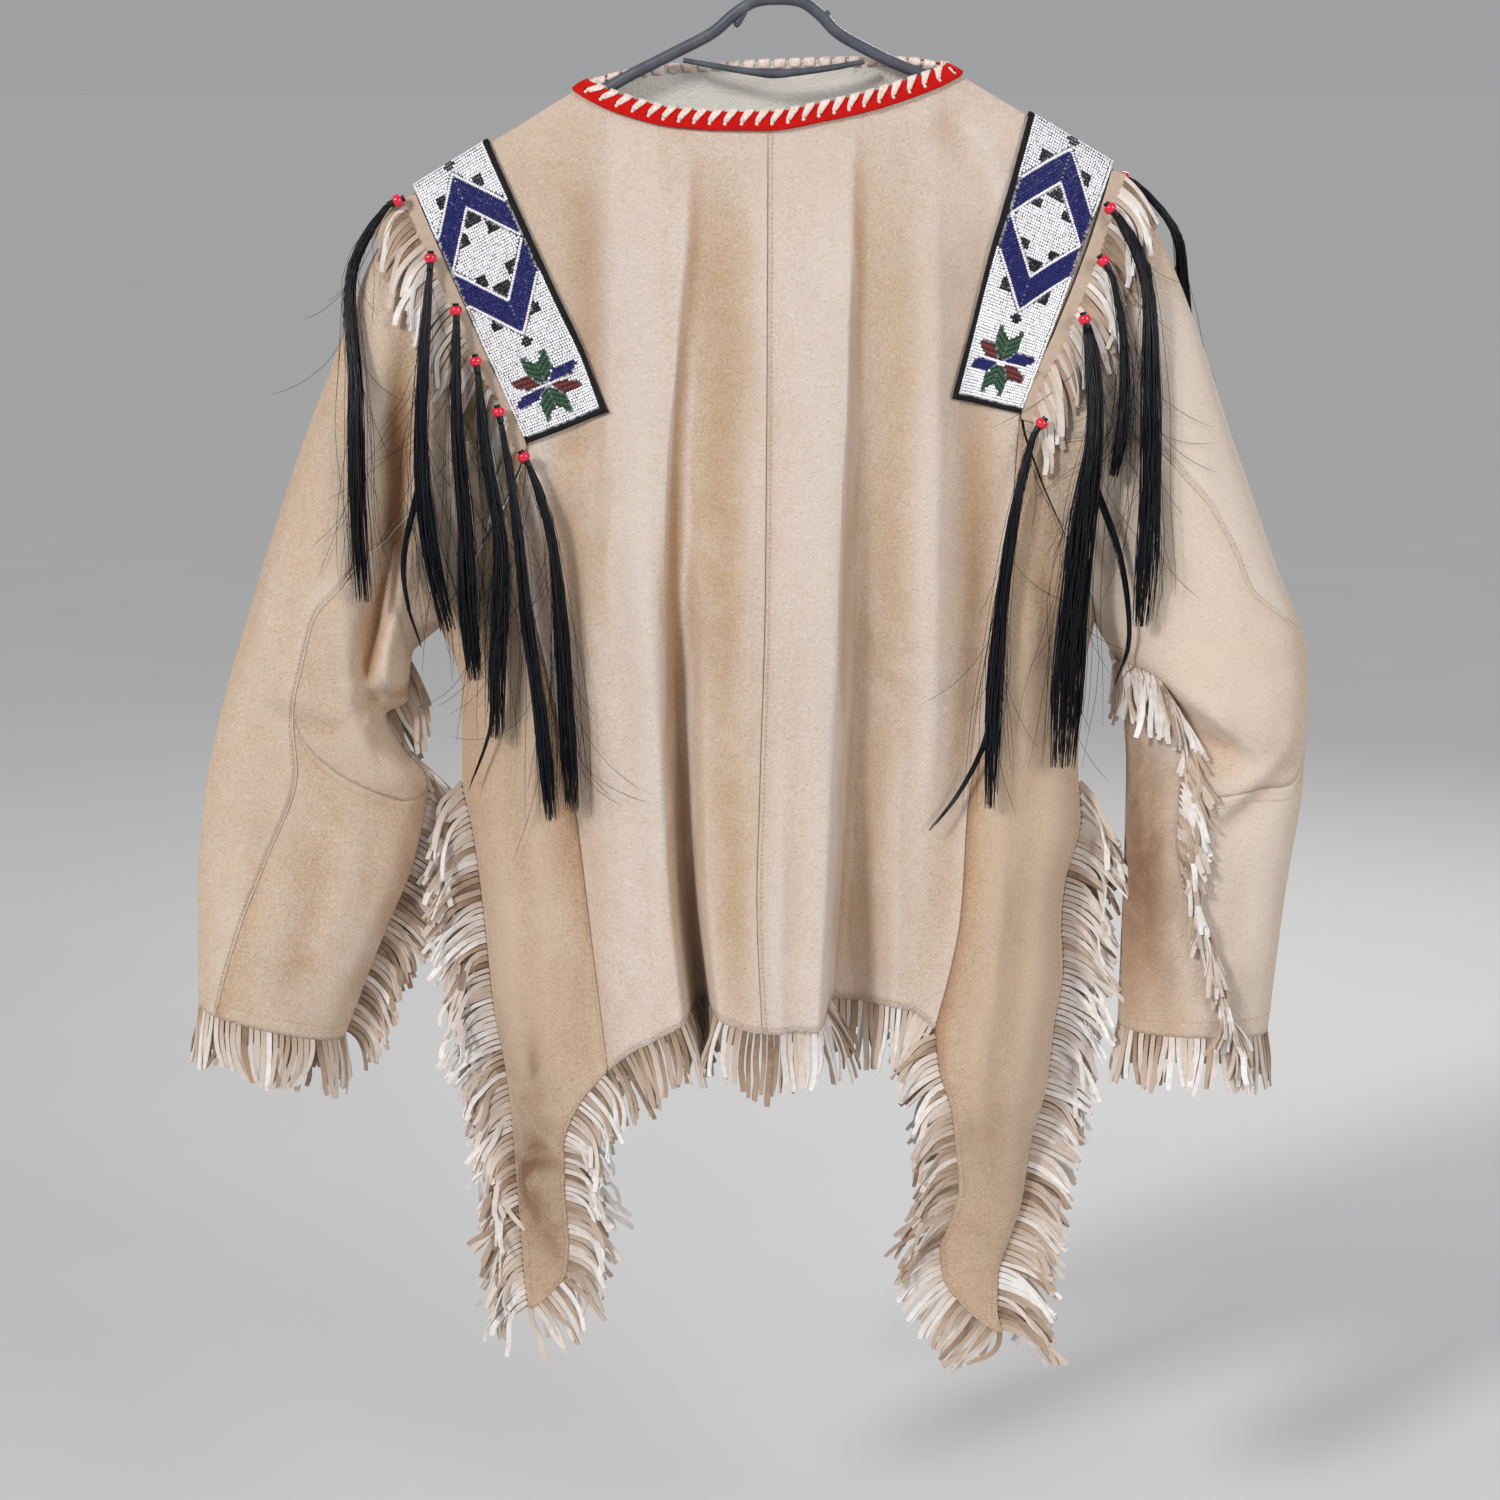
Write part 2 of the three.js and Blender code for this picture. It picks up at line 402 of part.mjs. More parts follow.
for (const side of ['left', 'right']) {
  const S = SIDES[side], s = S.s;
  // side seam, above the vent
  const zs = [-634, -660, -690, -720, -750, -780, -810, -838];
  band(`side_fringe_${side}`, zs.map(z => [S.seam(z) + s * 2.4, 0, z]), zs.map(z => [s * lerp(12, 32, smooth(-640, -780, z)), 0, -46]), 6, outward(-1));
  for (const face of [-1, 1]) {
    // round each tail: down the outer edge, across the tip and up the inner edge to the hem
    const outZ = [-882, -920, -960, -1000].filter(z => z > S.tailTip + 14), tip = S.tailTip;
    const inZ = outZ.slice().reverse().map(z => z - 6).concat([S.hemCorner[1] - 30, S.hemCorner[1] - (face < 0 ? 14 : 20)]);
    const top = [], reach = [];
    const long = face > 0 ? 8 : 0;
    for (const z of outZ) { const q = body(S.seam(z), z, face); top.push([q[0] + s * 1.2, q[1] + face * 2.4, z]); reach.push([s * 24, face * 2, -40 - long]); }
    const tx = S.tailIn(tip + 2);
    const q = body(lerp(S.seam(tip), tx, 0.5), tip, face);
    top.push([q[0], q[1] + face * 2.4, tip - 1.6]); reach.push([s * 4, 0, -50 - long]);
    for (const z of inZ) { const q2 = body(S.tailIn(z), z, face); top.push([q2[0] - s * 1.4, q2[1] + face * 2.4, z - 1.2]); reach.push([-s * 18, face * 2, -44]); }
    band(`tail_fringe_${faceName[face]}_${side}`, top, reach, CLOTH, outward(face));
  }
  // cuff: a ring that goes on from the end of the sleeve
  {
    const T = SLEEVES[side];
    const ring = (u, v) => {
      const p = sleevePoint(side, 1, 2 * v);
      const c = [lerp(T(1, 1), T(1, 3), 0.5), 0, lerp(T(1, 2), T(1, 4), 0.5)];
      const flare = 1 + 0.04 * u;
      return [c[0] + (p[0] - c[0]) * flare, p[1] * flare, p[2] - 1.2 - CUFF_FRINGE * u];
    };
    put(`cuff_fringe_${side}`, wall(ring, [0, 1], Array.from({ length: 20 }, (_, i) => i / 20), -CLOTH, 0, p => [p[0] - lerp(T(1, 1), T(1, 3), 0.5), p[1], 0], true), LOOK.fringe);
  }
  // underarm seam
  {
    const ts = [0.3, 0.38, 0.46, 0.54, 0.62, 0.7, 0.78, 0.86, 0.94, 0.995];
    const T = SLEEVES[side];
    const top = [], reach = [];
    for (const t of ts) {
      const v = SEAM_UNDER[side](t), p = sleevePoint(side, t, v);
      if (side === 'left') { top.push([p[0] + 6, 7 * smooth(0.45, 0.6, t), p[2]]); reach.push([lerp(lerp(6, 26, smooth(0.4, 0.5, t)), 16, smooth(0.68, 0.8, t)), 0, -34]); }
      else {
        const rx = lerp(4, -12, smooth(0.42, 0.6, t)), b = [p[0] + rx, p[2] - 38];
        const y = Math.min(skin(b[0], b[1], -1), p[1]) - 5;
        top.push([p[0], Math.min(p[1], skin(p[0], p[2], -1)) - 4, p[2]]); reach.push([rx, y - top.at(-1)[1], -38]);
      }
    }
    band(`underarm_fringe_${side}`, top, reach, FRINGE_T, outward(-1));
  }
  // armhole seam beside the beaded band
  for (const face of [-1, 1]) {
    const n = 9, top = [], reach = [];
    for (let i = 0; i <= n; i++) {
      const z = lerp(S.ridgeEnd[1] - 6, S.stripEnd - 6, i / n), x = S.armhole(z) + s * 5;
      const b = [x + s * 17, z - 46], m = [x + s * 9, z - 23];
      const y0 = skin(x, z, face, 1) + face * 5, y1 = face * Math.max(Math.abs(skin(b[0], b[1], face, 1)) + 6, 2 * (Math.abs(skin(m[0], m[1], face, 1)) + 6) - Math.abs(y0));
      top.push([x, y0, z]); reach.push([b[0] - x, y1 - y0, -46]);
    }
    band(`shoulder_fringe_${faceName[face]}_${side}`, top, reach, FRINGE_T, outward(face));
  }
}

// ---------- beaded bands over the shoulders ----------
// a: -1 end on the front .. 0 ridge .. 1 end on the back; b: 0 armhole edge .. 1 neck edge
function stripSurface(side) {
  const C = SIDES[side].strip;
  return (u, b) => {
    const a = 2 * u - 1, d = a * a, face = a <= 0 ? 1 : -1;
    const k = 0.01 + 0.98 * b, ex = lerp(C.outEnd[0], C.inEnd[0], k), ez = lerp(C.outEnd[1], C.inEnd[1], k);
    const x = lerp(lerp(C.outTop[0], C.inTop[0], k), ex, d), z = ridgeZ(x) - d * (ridgeZ(ex) - ez);
    return [x, face * bodyDepth(x, z, face), z];
  };
}
for (const side of ['left', 'right']) {
  const us = [0, 0.12, 0.22, 0.31, 0.39, 0.45, 0.48, 0.5, 0.52, 0.55, 0.61, 0.69, 0.78, 0.88, 1];
  // its middle is the ridge, where outward is up
  put(`strip_${side}`, wall(stripSurface(side), us, [0, 0.25, 0.5, 0.75, 1], 2, 2 + STRIP_T, () => [0, 0, 1]), LOOK.beads);
}

// ---------- red felt round the neck ----------
{
  const n = 14, TRIM = 13;
  const neckPoint = (k, w) => {
    // k 0..1 left to right over the back, 1..2 right to left over the front
    const face = k <= 1 ? -1 : 1, lin = k <= 1 ? k : 2 - k;
    const L = SIDES.left.neckEnd, R = SIDES.right.neckEnd, e = (1 - Math.cos(Math.PI * lin)) / 2;
    const x = lerp(L[0], R[0], e), z = (face < 0 ? neckBack : neckFront)(x) - 0.5;
    const side = 2 * e - 1, corner = Math.pow(Math.abs(side), 6);
    const slope = side < 0 ? SLOPE_L : SLOPE_R;
    const dir = unit([Math.sign(side) * (0.25 * Math.abs(side) + 0.75 * corner), 0, -(1 - corner) - slope * corner]);
    const X = x + dir[0] * w * TRIM, Z = Math.min(z + dir[2] * w * TRIM, ridgeZ(x + dir[0] * w * TRIM) - 0.02);
    return [X, face * bodyDepth(X, Z, face), Z];
  };
  const ks = Array.from({ length: 2 * n }, (_, i) => i / n);
  put('neck_trim', wall((w, v) => neckPoint(2 * v, w), [0, 0.5, 1], ks.map(k => k / 2), 2.3, 2.3 + FELT_T, p => [0, p[1], 0], true), LOOK.felt);
}

// ---------- tubes ----------
// sections [x, y, z, radius] along a smooth path, closed at both ends
function rope(sections, sides, flat = 1) {
  const curve = new THREE.CatmullRomCurve3(sections.map(s => new THREE.Vector3(s[0], s[1], s[2])), false, 'centripetal');
  const n = sections.length, pts = [], faces = [];
  let last = null;
  sections.forEach((s, i) => {
    const c = curve.getPoint(i / (n - 1)), t = curve.getTangent(clamp(i / (n - 1), 0.001, 0.999));
    let a = last ? last.clone() : (Math.abs(t.y) < 0.9 ? new THREE.Vector3(0, 1, 0) : new THREE.Vector3(1, 0, 0));
    a.sub(t.clone().multiplyScalar(a.dot(t))).normalize(); last = a;
    const b = new THREE.Vector3().crossVectors(t, a);
    for (let k = 0; k < sides; k++) {
      const w = 2 * Math.PI * k / sides, p = c.clone().addScaledVector(a, s[3] * flat * Math.cos(w)).addScaledVector(b, s[3] * Math.sin(w));
      pts.push([p.x, p.y, p.z]);
    }
  });
  for (let i = 0; i < n - 1; i++) for (let k = 0; k < sides; k++) {
    const a = i * sides + k, b = i * sides + (k + 1) % sides, c = a + sides, d = b + sides;
    faces.push([a, b, d], [a, d, c]);
  }
  const last0 = (n - 1) * sides;
  for (let k = 1; k < sides - 1; k++) { faces.push([0, k + 1, k]); faces.push([last0, last0 + k, last0 + k + 1]); }
  return geometry(pts, faces);
}

// ---------- hair locks: bead, then the places that the hair passes, [x, z], and its half width ----------
const LOCKS_BACK = {
  lock_left_1: { bead: [-273, -203], hair: [[-298, -214], [-307, -250], [-303, -330], [-303, -400], [-299, -488]], half: 6 },
  lock_left_2: { bead: [-249, -243], hair: [[-250, -262], [-254, -310], [-257, -390], [-250, -460], [-240, -512]], half: 6 },
  lock_left_3: { bead: [-231, -280], hair: [[-230, -300], [-231, -350], [-226, -430], [-224, -500], [-221, -548]], half: 7 },
  lock_left_4: { bead: [-217, -316], hair: [[-214, -336], [-209, -390], [-200, -450], [-203, -520], [-206, -590]], half: 7 },
  lock_left_5: { bead: [-201, -352], hair: [[-197, -370], [-190, -420], [-182, -500], [-172, -580], [-166, -650]], half: 5 },
  lock_left_6: { bead: [-183, -384], hair: [[-174, -400], [-164, -440], [-158, -500], [-154, -570], [-150, -645]], half: 6 },
  lock_right_2: { bead: [238, -208], hair: [[250, -222], [262, -250], [267, -330], [268, -420], [264, -506]], half: 8 },
  lock_right_3: { bead: [233, -245], hair: [[241, -256], [247, -290], [249, -330], [247, -370], [242, -398]], half: 4 },
  lock_right_4: { bead: [220, -286], hair: [[226, -306], [228, -360], [220, -430], [214, -510], [209, -612]], half: 11 },
  lock_right_5: { bead: [190, -360], hair: [[180, -374], [172, -420], [163, -490], [158, -560], [156, -640]], half: 6 },
};
const LOCKS_FRONT = {
  lock_right_1: { bead: [252, -188], hair: [[272, -196], [290, -226], [298, -262], [304, -310], [314, -352]], half: 5 },
  lock_front_left_1: { bead: [-249, -243], hair: [[-252, -262], [-256, -320], [-254, -400], [-248, -480]], half: 6 },
  lock_front_left_2: { bead: [-224, -298], hair: [[-222, -318], [-220, -380], [-214, -470], [-210, -560]], half: 7 },
  lock_front_left_3: { bead: [-190, -372], hair: [[-184, -392], [-176, -450], [-168, -540], [-162, -620]], half: 6 },
  lock_front_right_1: { bead: [226, -232], hair: [[232, -252], [238, -320], [238, -400], [234, -470]], half: 6 },
  lock_front_right_2: { bead: [204, -290], hair: [[206, -310], [206, -380], [200, -460], [196, -560]], half: 8 },
  lock_front_right_3: { bead: [180, -350], hair: [[176, -370], [170, -430], [164, -520], [160, -610]], half: 6 },
};
function lock(name, L, face) {
  const stand = (x, z, r) => face * (Math.abs(skin(x, z, face, 2)) + r + 6.5);
  const [bx, bz] = L.bead, [hx, hz] = L.hair[0], d = unit([hx - bx, 0, hz - bz]);
  const y0 = face * Math.max(Math.abs(stand(bx, bz, BEAD_R)), 12), y1 = stand(hx, hz, 4);
  const q = k => [bx + d[0] * k, lerp(y0, y1, clamp(k / 14)), bz + d[2] * k];
  const rows = [[...q(-5), 1.6], [...q(-4.4), 4], [...q(-1.5), BEAD_R], [...q(1.5), BEAD_R], [...q(4.4), 3.6], [...q(7), 2.6]];
  L.hair.slice(1).forEach(([x, z], i) => rows.push([x, stand(x, z, L.half), z, lerp(0.62, 1, Math.min(1, (i + 1) / 2)) * L.half]));
  put(name, rope(rows, 6, 0.8), LOOK.hair);
}
for (const [name, L] of Object.entries(LOCKS_BACK)) lock(name, L, -1);
for (const [name, L] of Object.entries(LOCKS_FRONT)) lock(name, L, 1);

// ---------- hanger ----------
{
  // left to right: from the end inside one shoulder, over the arch, to the end inside the other
  const drop = 13;
  const arm = [
    [-228, ridgeZ(-228) - drop], [-180, ridgeZ(-180) - drop], [-145, ridgeZ(-145) - drop], [-112, -118], [-76, -100], [-46, -84.5], [-31, -72], [-17, -63.5], [-1, -61.5],
    [17, -63.5], [30, -72.5], [42, -84.5], [67, -98.5], [90, -109], [118, ridgeZ(118) - drop], [160, ridgeZ(160) - drop], [212, ridgeZ(212) - drop],
  ].map(([x, z], i, all) => [x, 0, z, i === 0 || i === all.length - 1 ? 2.6 : HANGER_R]);
  put('hanger', rope(arm, 10), LOOK.plastic);
  const bar = [[-68, -104.2], [-44, -108.5], [-22, -112], [-3, -113.5], [20, -112], [42, -109], [62, -105.2]].map(([x, z], i) => [x, 0, z, [1.8, 2.4, 2.6, 3.4, 2.6, 2.4, 1.8][i]]);
  put('hanger_bar', rope(bar, 8), LOOK.plastic);
  const wire = [[0, -56.6], [0, -50], [1, -44], [9, -40.5], [17, -34], [21.6, -20], [15.4, -4.6], [0, 1.75], [-15.4, -4.6], [-21.6, -20], [-20, -30]].map(([x, z]) => [x, 0, z, HOOK_R]);
  put('hanger_hook', rope(wire, 8), LOOK.steel);
}

export default group;
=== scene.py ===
import json
import math

import bpy
import numpy as np
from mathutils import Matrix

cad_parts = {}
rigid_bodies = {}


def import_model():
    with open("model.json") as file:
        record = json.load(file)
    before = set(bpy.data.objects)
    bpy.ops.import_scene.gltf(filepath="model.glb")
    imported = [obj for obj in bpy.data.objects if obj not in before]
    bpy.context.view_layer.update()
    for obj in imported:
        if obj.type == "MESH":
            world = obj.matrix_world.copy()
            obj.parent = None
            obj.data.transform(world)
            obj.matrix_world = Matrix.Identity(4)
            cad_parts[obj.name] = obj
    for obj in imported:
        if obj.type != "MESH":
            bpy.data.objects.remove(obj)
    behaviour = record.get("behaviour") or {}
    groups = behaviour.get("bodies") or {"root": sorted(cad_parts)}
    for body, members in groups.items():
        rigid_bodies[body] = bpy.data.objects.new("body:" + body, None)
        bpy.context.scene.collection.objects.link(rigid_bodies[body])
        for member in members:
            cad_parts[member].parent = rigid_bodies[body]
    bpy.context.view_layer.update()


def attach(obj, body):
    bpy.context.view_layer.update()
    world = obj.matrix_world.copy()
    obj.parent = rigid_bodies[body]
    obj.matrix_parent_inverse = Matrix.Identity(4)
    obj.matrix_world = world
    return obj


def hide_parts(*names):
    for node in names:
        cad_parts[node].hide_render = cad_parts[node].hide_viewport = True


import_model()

# War shirt on a hanger. Sizes below are millimetres in the part's frame: the back
# of the garment faces -Y, the origin is the inside top of the hanger's hook.
CLOTH = 1.8
GAP = 0.2
NOSE = 5.0
RIDGE_TOP = -38.0
SLOPE_L, SLOPE_R = 0.60, 0.585
SIDE_ROUND = 62.0
FELT_T = 2.4
BEAD_R = 4.6
HANGER_R = 4.3
HOOK_R = 1.75
SEED = 2.1              # pitch of the seed beads
STRIP_W = 4.3           # width of one cut strip of fringe
STRIP_PITCH = 4.75

rng = np.random.default_rng(20)


# ---------------------------------------------------------------- camera
CAM = np.array([-20.0, -2347.554, -111.012])
TILT = math.radians(12)
FOCAL = 3200.0
cam_data = bpy.data.cameras.new("camera")
cam_data.sensor_width = 36
cam_data.lens = 36 * FOCAL / 1500
cam = bpy.data.objects.new("camera", cam_data)
cam.location = CAM / 1000
cam.rotation_euler = (math.pi / 2 - TILT, 0, 0)
bpy.context.scene.collection.objects.link(cam)
bpy.context.scene.camera = cam


def at(px, py, y=-45.0):
    """x and z on the upright plane y that the view's point (px, py) lies on."""
    f = np.array([0, math.cos(TILT), -math.sin(TILT)])
    u = np.array([0, math.sin(TILT), math.cos(TILT)])
    d = f + (px - 750) / FOCAL * np.array([1.0, 0, 0]) - (py - 750) / FOCAL * u
    p = CAM + d * (y - CAM[1]) / d[1]
    return p[0], p[2]


# ---------------------------------------------------------------- helpers
def lerp(a, b, t):
    return a + (b - a) * t


def smooth(a, b, x):
    t = np.clip((np.asarray(x, float) - a) / (b - a), 0, 1)
    return t * t * (3 - 2 * t)


def unit(a):
    a = np.asarray(a, float)
    return a / np.maximum(np.linalg.norm(a, axis=-1, keepdims=True), 1e-12)


def table(rows):
    """Monotone cubic through the rows [key, v1, v2, ...]."""
    r = np.array(sorted(rows, key=lambda q: q[0]), float)
    x, n, m = r[:, 0], len(r), r.shape[1] - 1
    h = np.diff(x)
    slopes = np.zeros((n, m))
    for k in range(m):
        d = np.diff(r[:, k + 1]) / h
        s = np.zeros(n)
        s[0], s[-1] = d[0], d[-1]
        for i in range(1, n - 1):
            if d[i - 1] * d[i] > 0:
                w1, w2 = 2 * h[i] + h[i - 1], w2_(h, i)
                s[i] = (w1 + w2) / (w1 / d[i - 1] + w2 / d[i])
        slopes[:, k] = s

    def f(q, k=1):
        q = np.clip(np.asarray(q, float), x[0], x[-1])
        i = np.clip(np.searchsorted(x, q, side="right") - 1, 0, n - 2)
        t = (q - x[i]) / h[i]
        t2, t3 = t * t, t * t * t
        y, s = r[:, k], slopes[:, k - 1]
        return (2 * t3 - 3 * t2 + 1) * y[i] + (t3 - 2 * t2 + t) * h[i] * s[i] + (3 * t2 - 2 * t3) * y[i + 1] + (t3 - t2) * h[i] * s[i + 1]
    return f


def w2_(h, i):
    return h[i] + 2 * h[i - 1]


# ---------------------------------------------------------------- the cut, as hung
centre_seam = table([[-140, -7], [-484, -9], [-630, -13], [-704, -15], [-805, -11]])
SIDES = {
    "left": dict(
        s=-1, ridge_end=(-262, -196), neck_end=(-135, -119.5),
        panel=table([[-196, -262], [-263, -232], [-319, -207], [-376, -182], [-453, -188], [-493, -180], [-547, -168], [-649, -149], [-741, -138], [-841, -126]]),
        armhole=table([[-196, -262], [-263, -232], [-319, -207], [-376, -182], [-412, -194], [-448, -214], [-490, -238], [-516, -250]]),
        seam=table([[-516, -250], [-538, -241], [-561, -235], [-629, -236], [-671, -229], [-721, -223], [-755, -220], [-811, -215], [-846, -209], [-885, -204], [-968, -197], [-1014, -194], [-1045, -191]]),
        tail_in=table([[-841, -126], [-870, -147], [-892, -157], [-907, -160], [-948, -160], [-983, -158], [-1015, -161], [-1030, -172], [-1045, -187]]),
        strip_end=-376, panel_top=-377, tip=-1045, armpit=(-250, -516), hem_corner=(-126, -841),
        out_top=(-262, -196), in_top=(-207, -163), in_end=(-120, -352), out_end=(-182, -376)),
    "right": dict(
        s=1, ridge_end=(241, -179), neck_end=(120, -108.5),
        panel=table([[-179, 241], [-238, 222], [-294, 200], [-354, 176], [-453, 169], [-518, 162], [-591, 152], [-633, 142], [-727, 136], [-776, 127], [-812, 118]]),
        armhole=table([[-179, 241], [-238, 222], [-294, 200], [-354, 176], [-395, 188], [-433, 205], [-480, 227], [-512, 236]]),
        seam=table([[-512, 236], [-545, 229], [-561, 226], [-618, 226], [-663, 229], [-684, 225], [-712, 218], [-744, 216], [-780, 218], [-817, 213], [-872, 207], [-911, 196], [-960, 188], [-996, 177], [-1020, 171], [-1046, 171], [-1066, 175]]),
        tail_in=table([[-812, 118], [-841, 121], [-876, 131], [-908, 135], [-940, 138], [-974, 131], [-993, 125], [-1018, 128], [-1046, 147], [-1066, 171]]),
        strip_end=-354, panel_top=-355, tip=-1066, armpit=(236, -512), hem_corner=(118, -812),
        out_top=(241, -179), in_top=(179, -143), in_end=(124, -343), out_end=(176, -354)),
}
neck_back = table([[-135, -119.5], [-107, -130], [-72, -138], [-38, -140], [-7, -140], [31, -134], [66, -126], [101, -115], [120, -108.5]])
neck_front = table([[-135, -119.5], [-105, -112], [-71, -108], [-5, -105], [67, -103], [98, -104], [120, -108.5]])
hem_back = table([[-126, -841], [-105, -822], [-83, -809], [-63, -797], [-56, -794], [-48, -794], [-36, -799], [-11, -805], [9, -805], [28, -805], [36, -802], [42, -796], [63, -796], [86, -797], [100, -799], [118, -812]])
hem_front = table([[-126, -841], [-100, -822], [-70, -812], [-30, -808], [20, -808], [60, -806], [90, -806], [118, -812]])

FOLDS = {
    -1: [
        table([[-250, -76, 18, 18, 0], [-400, -75, 18, 18, 9], [-565, -71, 12, 12, 26], [-700, -66, 9, 9, 42], [-800, -56, 8, 8, 58]]),
        table([[-230, 76, 20, 24, 0], [-400, 72, 20, 28, 11], [-565, 56, 10, 40, 26], [-700, 49, 8, 50, 44], [-800, 43, 7, 58, 60]]),
        table([[-260, -38, 30, 26, 0], [-420, -40, 30, 26, 6], [-560, -40, 24, 22, 5], [-700, -40, 20, 20, 0]]),
        table([[-380, -160, 16, 18, 0], [-480, -156, 18, 20, 7], [-620, -150, 18, 20, 9], [-760, -142, 18, 18, 5], [-900, -150, 20, 20, 3]]),
        table([[-300, 150, 20, 16, 0], [-480, 148, 22, 18, 7], [-640, 130, 20, 18, 9], [-820, 112, 18, 16, 6]]),
    ],
    1: [
        table([[-240, 66, 22, 20, 0], [-430, 60, 20, 20, 10], [-620, 52, 14, 16, 28], [-800, 46, 12, 14, 46]]),
        table([[-240, -70, 24, 22, 0], [-430, -66, 24, 22, 12], [-620, -60, 16, 20, 26], [-800, -58, 14, 24, 44]]),
        table([[-420, -8, 30, 28, 0], [-600, -4, 26, 28, 7], [-800, 2, 24, 24, 10]]),
    ],
}

# soft vertical ridges whose right side falls off steeply: rows [view x of the edge, view y, height mm, left half width mm, right half width mm]
RIDGES = {
    -1: [
        [(688, 130, 0, 40, 8), (686, 225, 5.5, 40, 8), (678, 318, 7.5, 36, 8), (672, 407, 9, 32, 7), (667, 503, 10, 30, 6), (665, 620, 10, 32, 6), (664, 720, 6, 32, 6), (664, 820, 0, 30, 6)],
        [(853, 120, 0, 44, 8), (852, 216, 5.5, 46, 8), (848, 320, 8, 44, 7), (844, 439, 10, 42, 7), (841, 535, 10.5, 40, 7), (838, 620, 9, 38, 6), (836, 740, 0, 36, 6)],
        [(939, 160, 0, 18, 9), (940, 240, 3.5, 18, 9), (938, 400, 5, 18, 9), (938, 535, 5, 18, 9), (936, 660, 3.5, 18, 9), (930, 800, 0, 18, 9)],
        [(616, 140, 0, 16, 8), (612, 200, 2.5, 16, 8), (611, 350, 3, 16, 8), (606, 470, 3, 16, 8), (600, 560, 0, 16, 8)],
        [(751, 380, 0, 12, 7), (751, 450, 2, 12, 7), (750, 600, 2.6, 12, 7), (748, 760, 2, 12, 7), (746, 900, 0, 12, 7)],
        [(548, 640, 0, 18, 8), (540, 800, 3.5, 18, 8), (548, 1000, 4, 18, 8), (552, 1150, 0, 18, 8)],
        [(1010, 700, 0, 16, 8), (1004, 850, 3.5, 16, 8), (992, 1000, 4, 16, 8), (980, 1150, 0, 16, 8)],
        [(905, 690, 0, 16, 8), (900, 800, 4, 16, 8), (897, 940, 4.5, 16, 7), (895, 1020, 3, 16, 7)],
        [(640, 720, 0, 14, 7), (645, 850, 3.5, 14, 7), (652, 1010, 3.5, 14, 7)],
        [(785, 720, 0, 16, 8), (783, 850, 4, 16, 8), (782, 1040, 4, 16, 8)],
    ],
}
RIDGES[1] = RIDGES[-1][:4] + RIDGES[-1][7:]

# finer creases of the body: rows [view x, view y, half width mm, depth mm]; a negative depth is a ridge
CREASES_BODY = [
    [(722, 150, 22, 0), (722, 220, 24, 3.5), (722, 400, 22, 5), (716, 520, 18, 4), (705, 600, 14, 0)],
    [(590, 160, 16, 0), (590, 250, 16, 5), (592, 380, 14, 5), (600, 450, 12, 0)],
    [(985, 190, 16, 0), (985, 260, 18, 5), (978, 400, 18, 6), (972, 520, 16, 5), (975, 640, 14, 0)],
    [(935, 105, 10, 0), (950, 140, 9, 4), (985, 185, 8, 3), (1003, 220, 8, 0)],
    [(955, 108, 6, 0), (985, 142, 6, -3), (1012, 180, 6, 0)],
    [(681, 556, 3, 0), (715, 562, 3, 1.9), (748, 552, 3, 0)],
    [(690, 574, 3, 0), (720, 578, 3, 1.6), (745, 572, 3, 0)],
    [(788, 575, 3, 0), (803, 588, 3, 2.0), (816, 594, 3, 0)],
    [(690, 716, 3, 0), (715, 725, 3.5, 1.3), (742, 716, 3, 0)],
    [(862, 640, 4, 0), (900, 655, 4, 1.7), (948, 648, 4, 0)],
    [(856, 668, 4, 0), (893, 686, 4, 1.6), (935, 692, 4, 0)],
    [(872, 612, 3, 0), (905, 622, 3, 1.1), (935, 618, 3, 0)],
    [(611, 280, 5, 0), (611, 350, 5, -1.5), (608, 480, 5, -2.2), (603, 570, 6, 0)],
    [(616, 425, 9, 0), (575, 447, 9, 3.4), (536, 470, 8, 0)],
    [(622, 450, 9, 0), (580, 486, 9, -2.2), (548, 530, 8, 0)],
    [(545, 520, 12, 0), (541, 560, 12, 4.5), (548, 640, 12, 3), (560, 720, 12, 0)],
    [(790, 600, 14, 0), (790, 750, 14, 3), (788, 900, 14, 3), (790, 1036, 12, 2)],
    [(735, 700, 9, 0), (735, 850, 9, 2.2), (738, 1000, 9, 2)],
    [(640, 600, 15, 0), (640, 760, 15, 3), (650, 900, 13, 3), (655, 1010, 12, 1)],
    [(606, 620, 9, 0), (618, 780, 9, -1.8), (630, 940, 9, -1.5), (640, 1030, 9, 0)],
    [(920, 560, 14, 0), (912, 720, 14, 3.5), (905, 870, 12, 3), (900, 990, 12, 2)],
    [(505, 620, 12, 0), (515, 760, 12, 4), (530, 900, 14, 5), (545, 1050, 12, 4), (540, 1180, 10, 0)],
    [(560, 860, 8, 0), (572, 960, 8, -2), (582, 1070, 8, 0)],
    [(500, 1130, 7, 0), (530, 1180, 7, 2.5), (560, 1215, 7, 0)],
    [(1040, 700, 12, 0), (1030, 850, 12, 3), (1015, 1000, 12, 4), (1000, 1120, 12, 3), (985, 1240, 10, 0)],
    [(985, 950, 8, 0), (990, 1050, 8, 2.5), (982, 1120, 8, 0)],
    [(1035, 520, 10, 0), (1050, 620, 11, 4), (1058, 720, 9, 0)],
    [(975, 1150, 7, 0), (1000, 1165, 7, 1.8), (1020, 1150, 6, 0)],
]
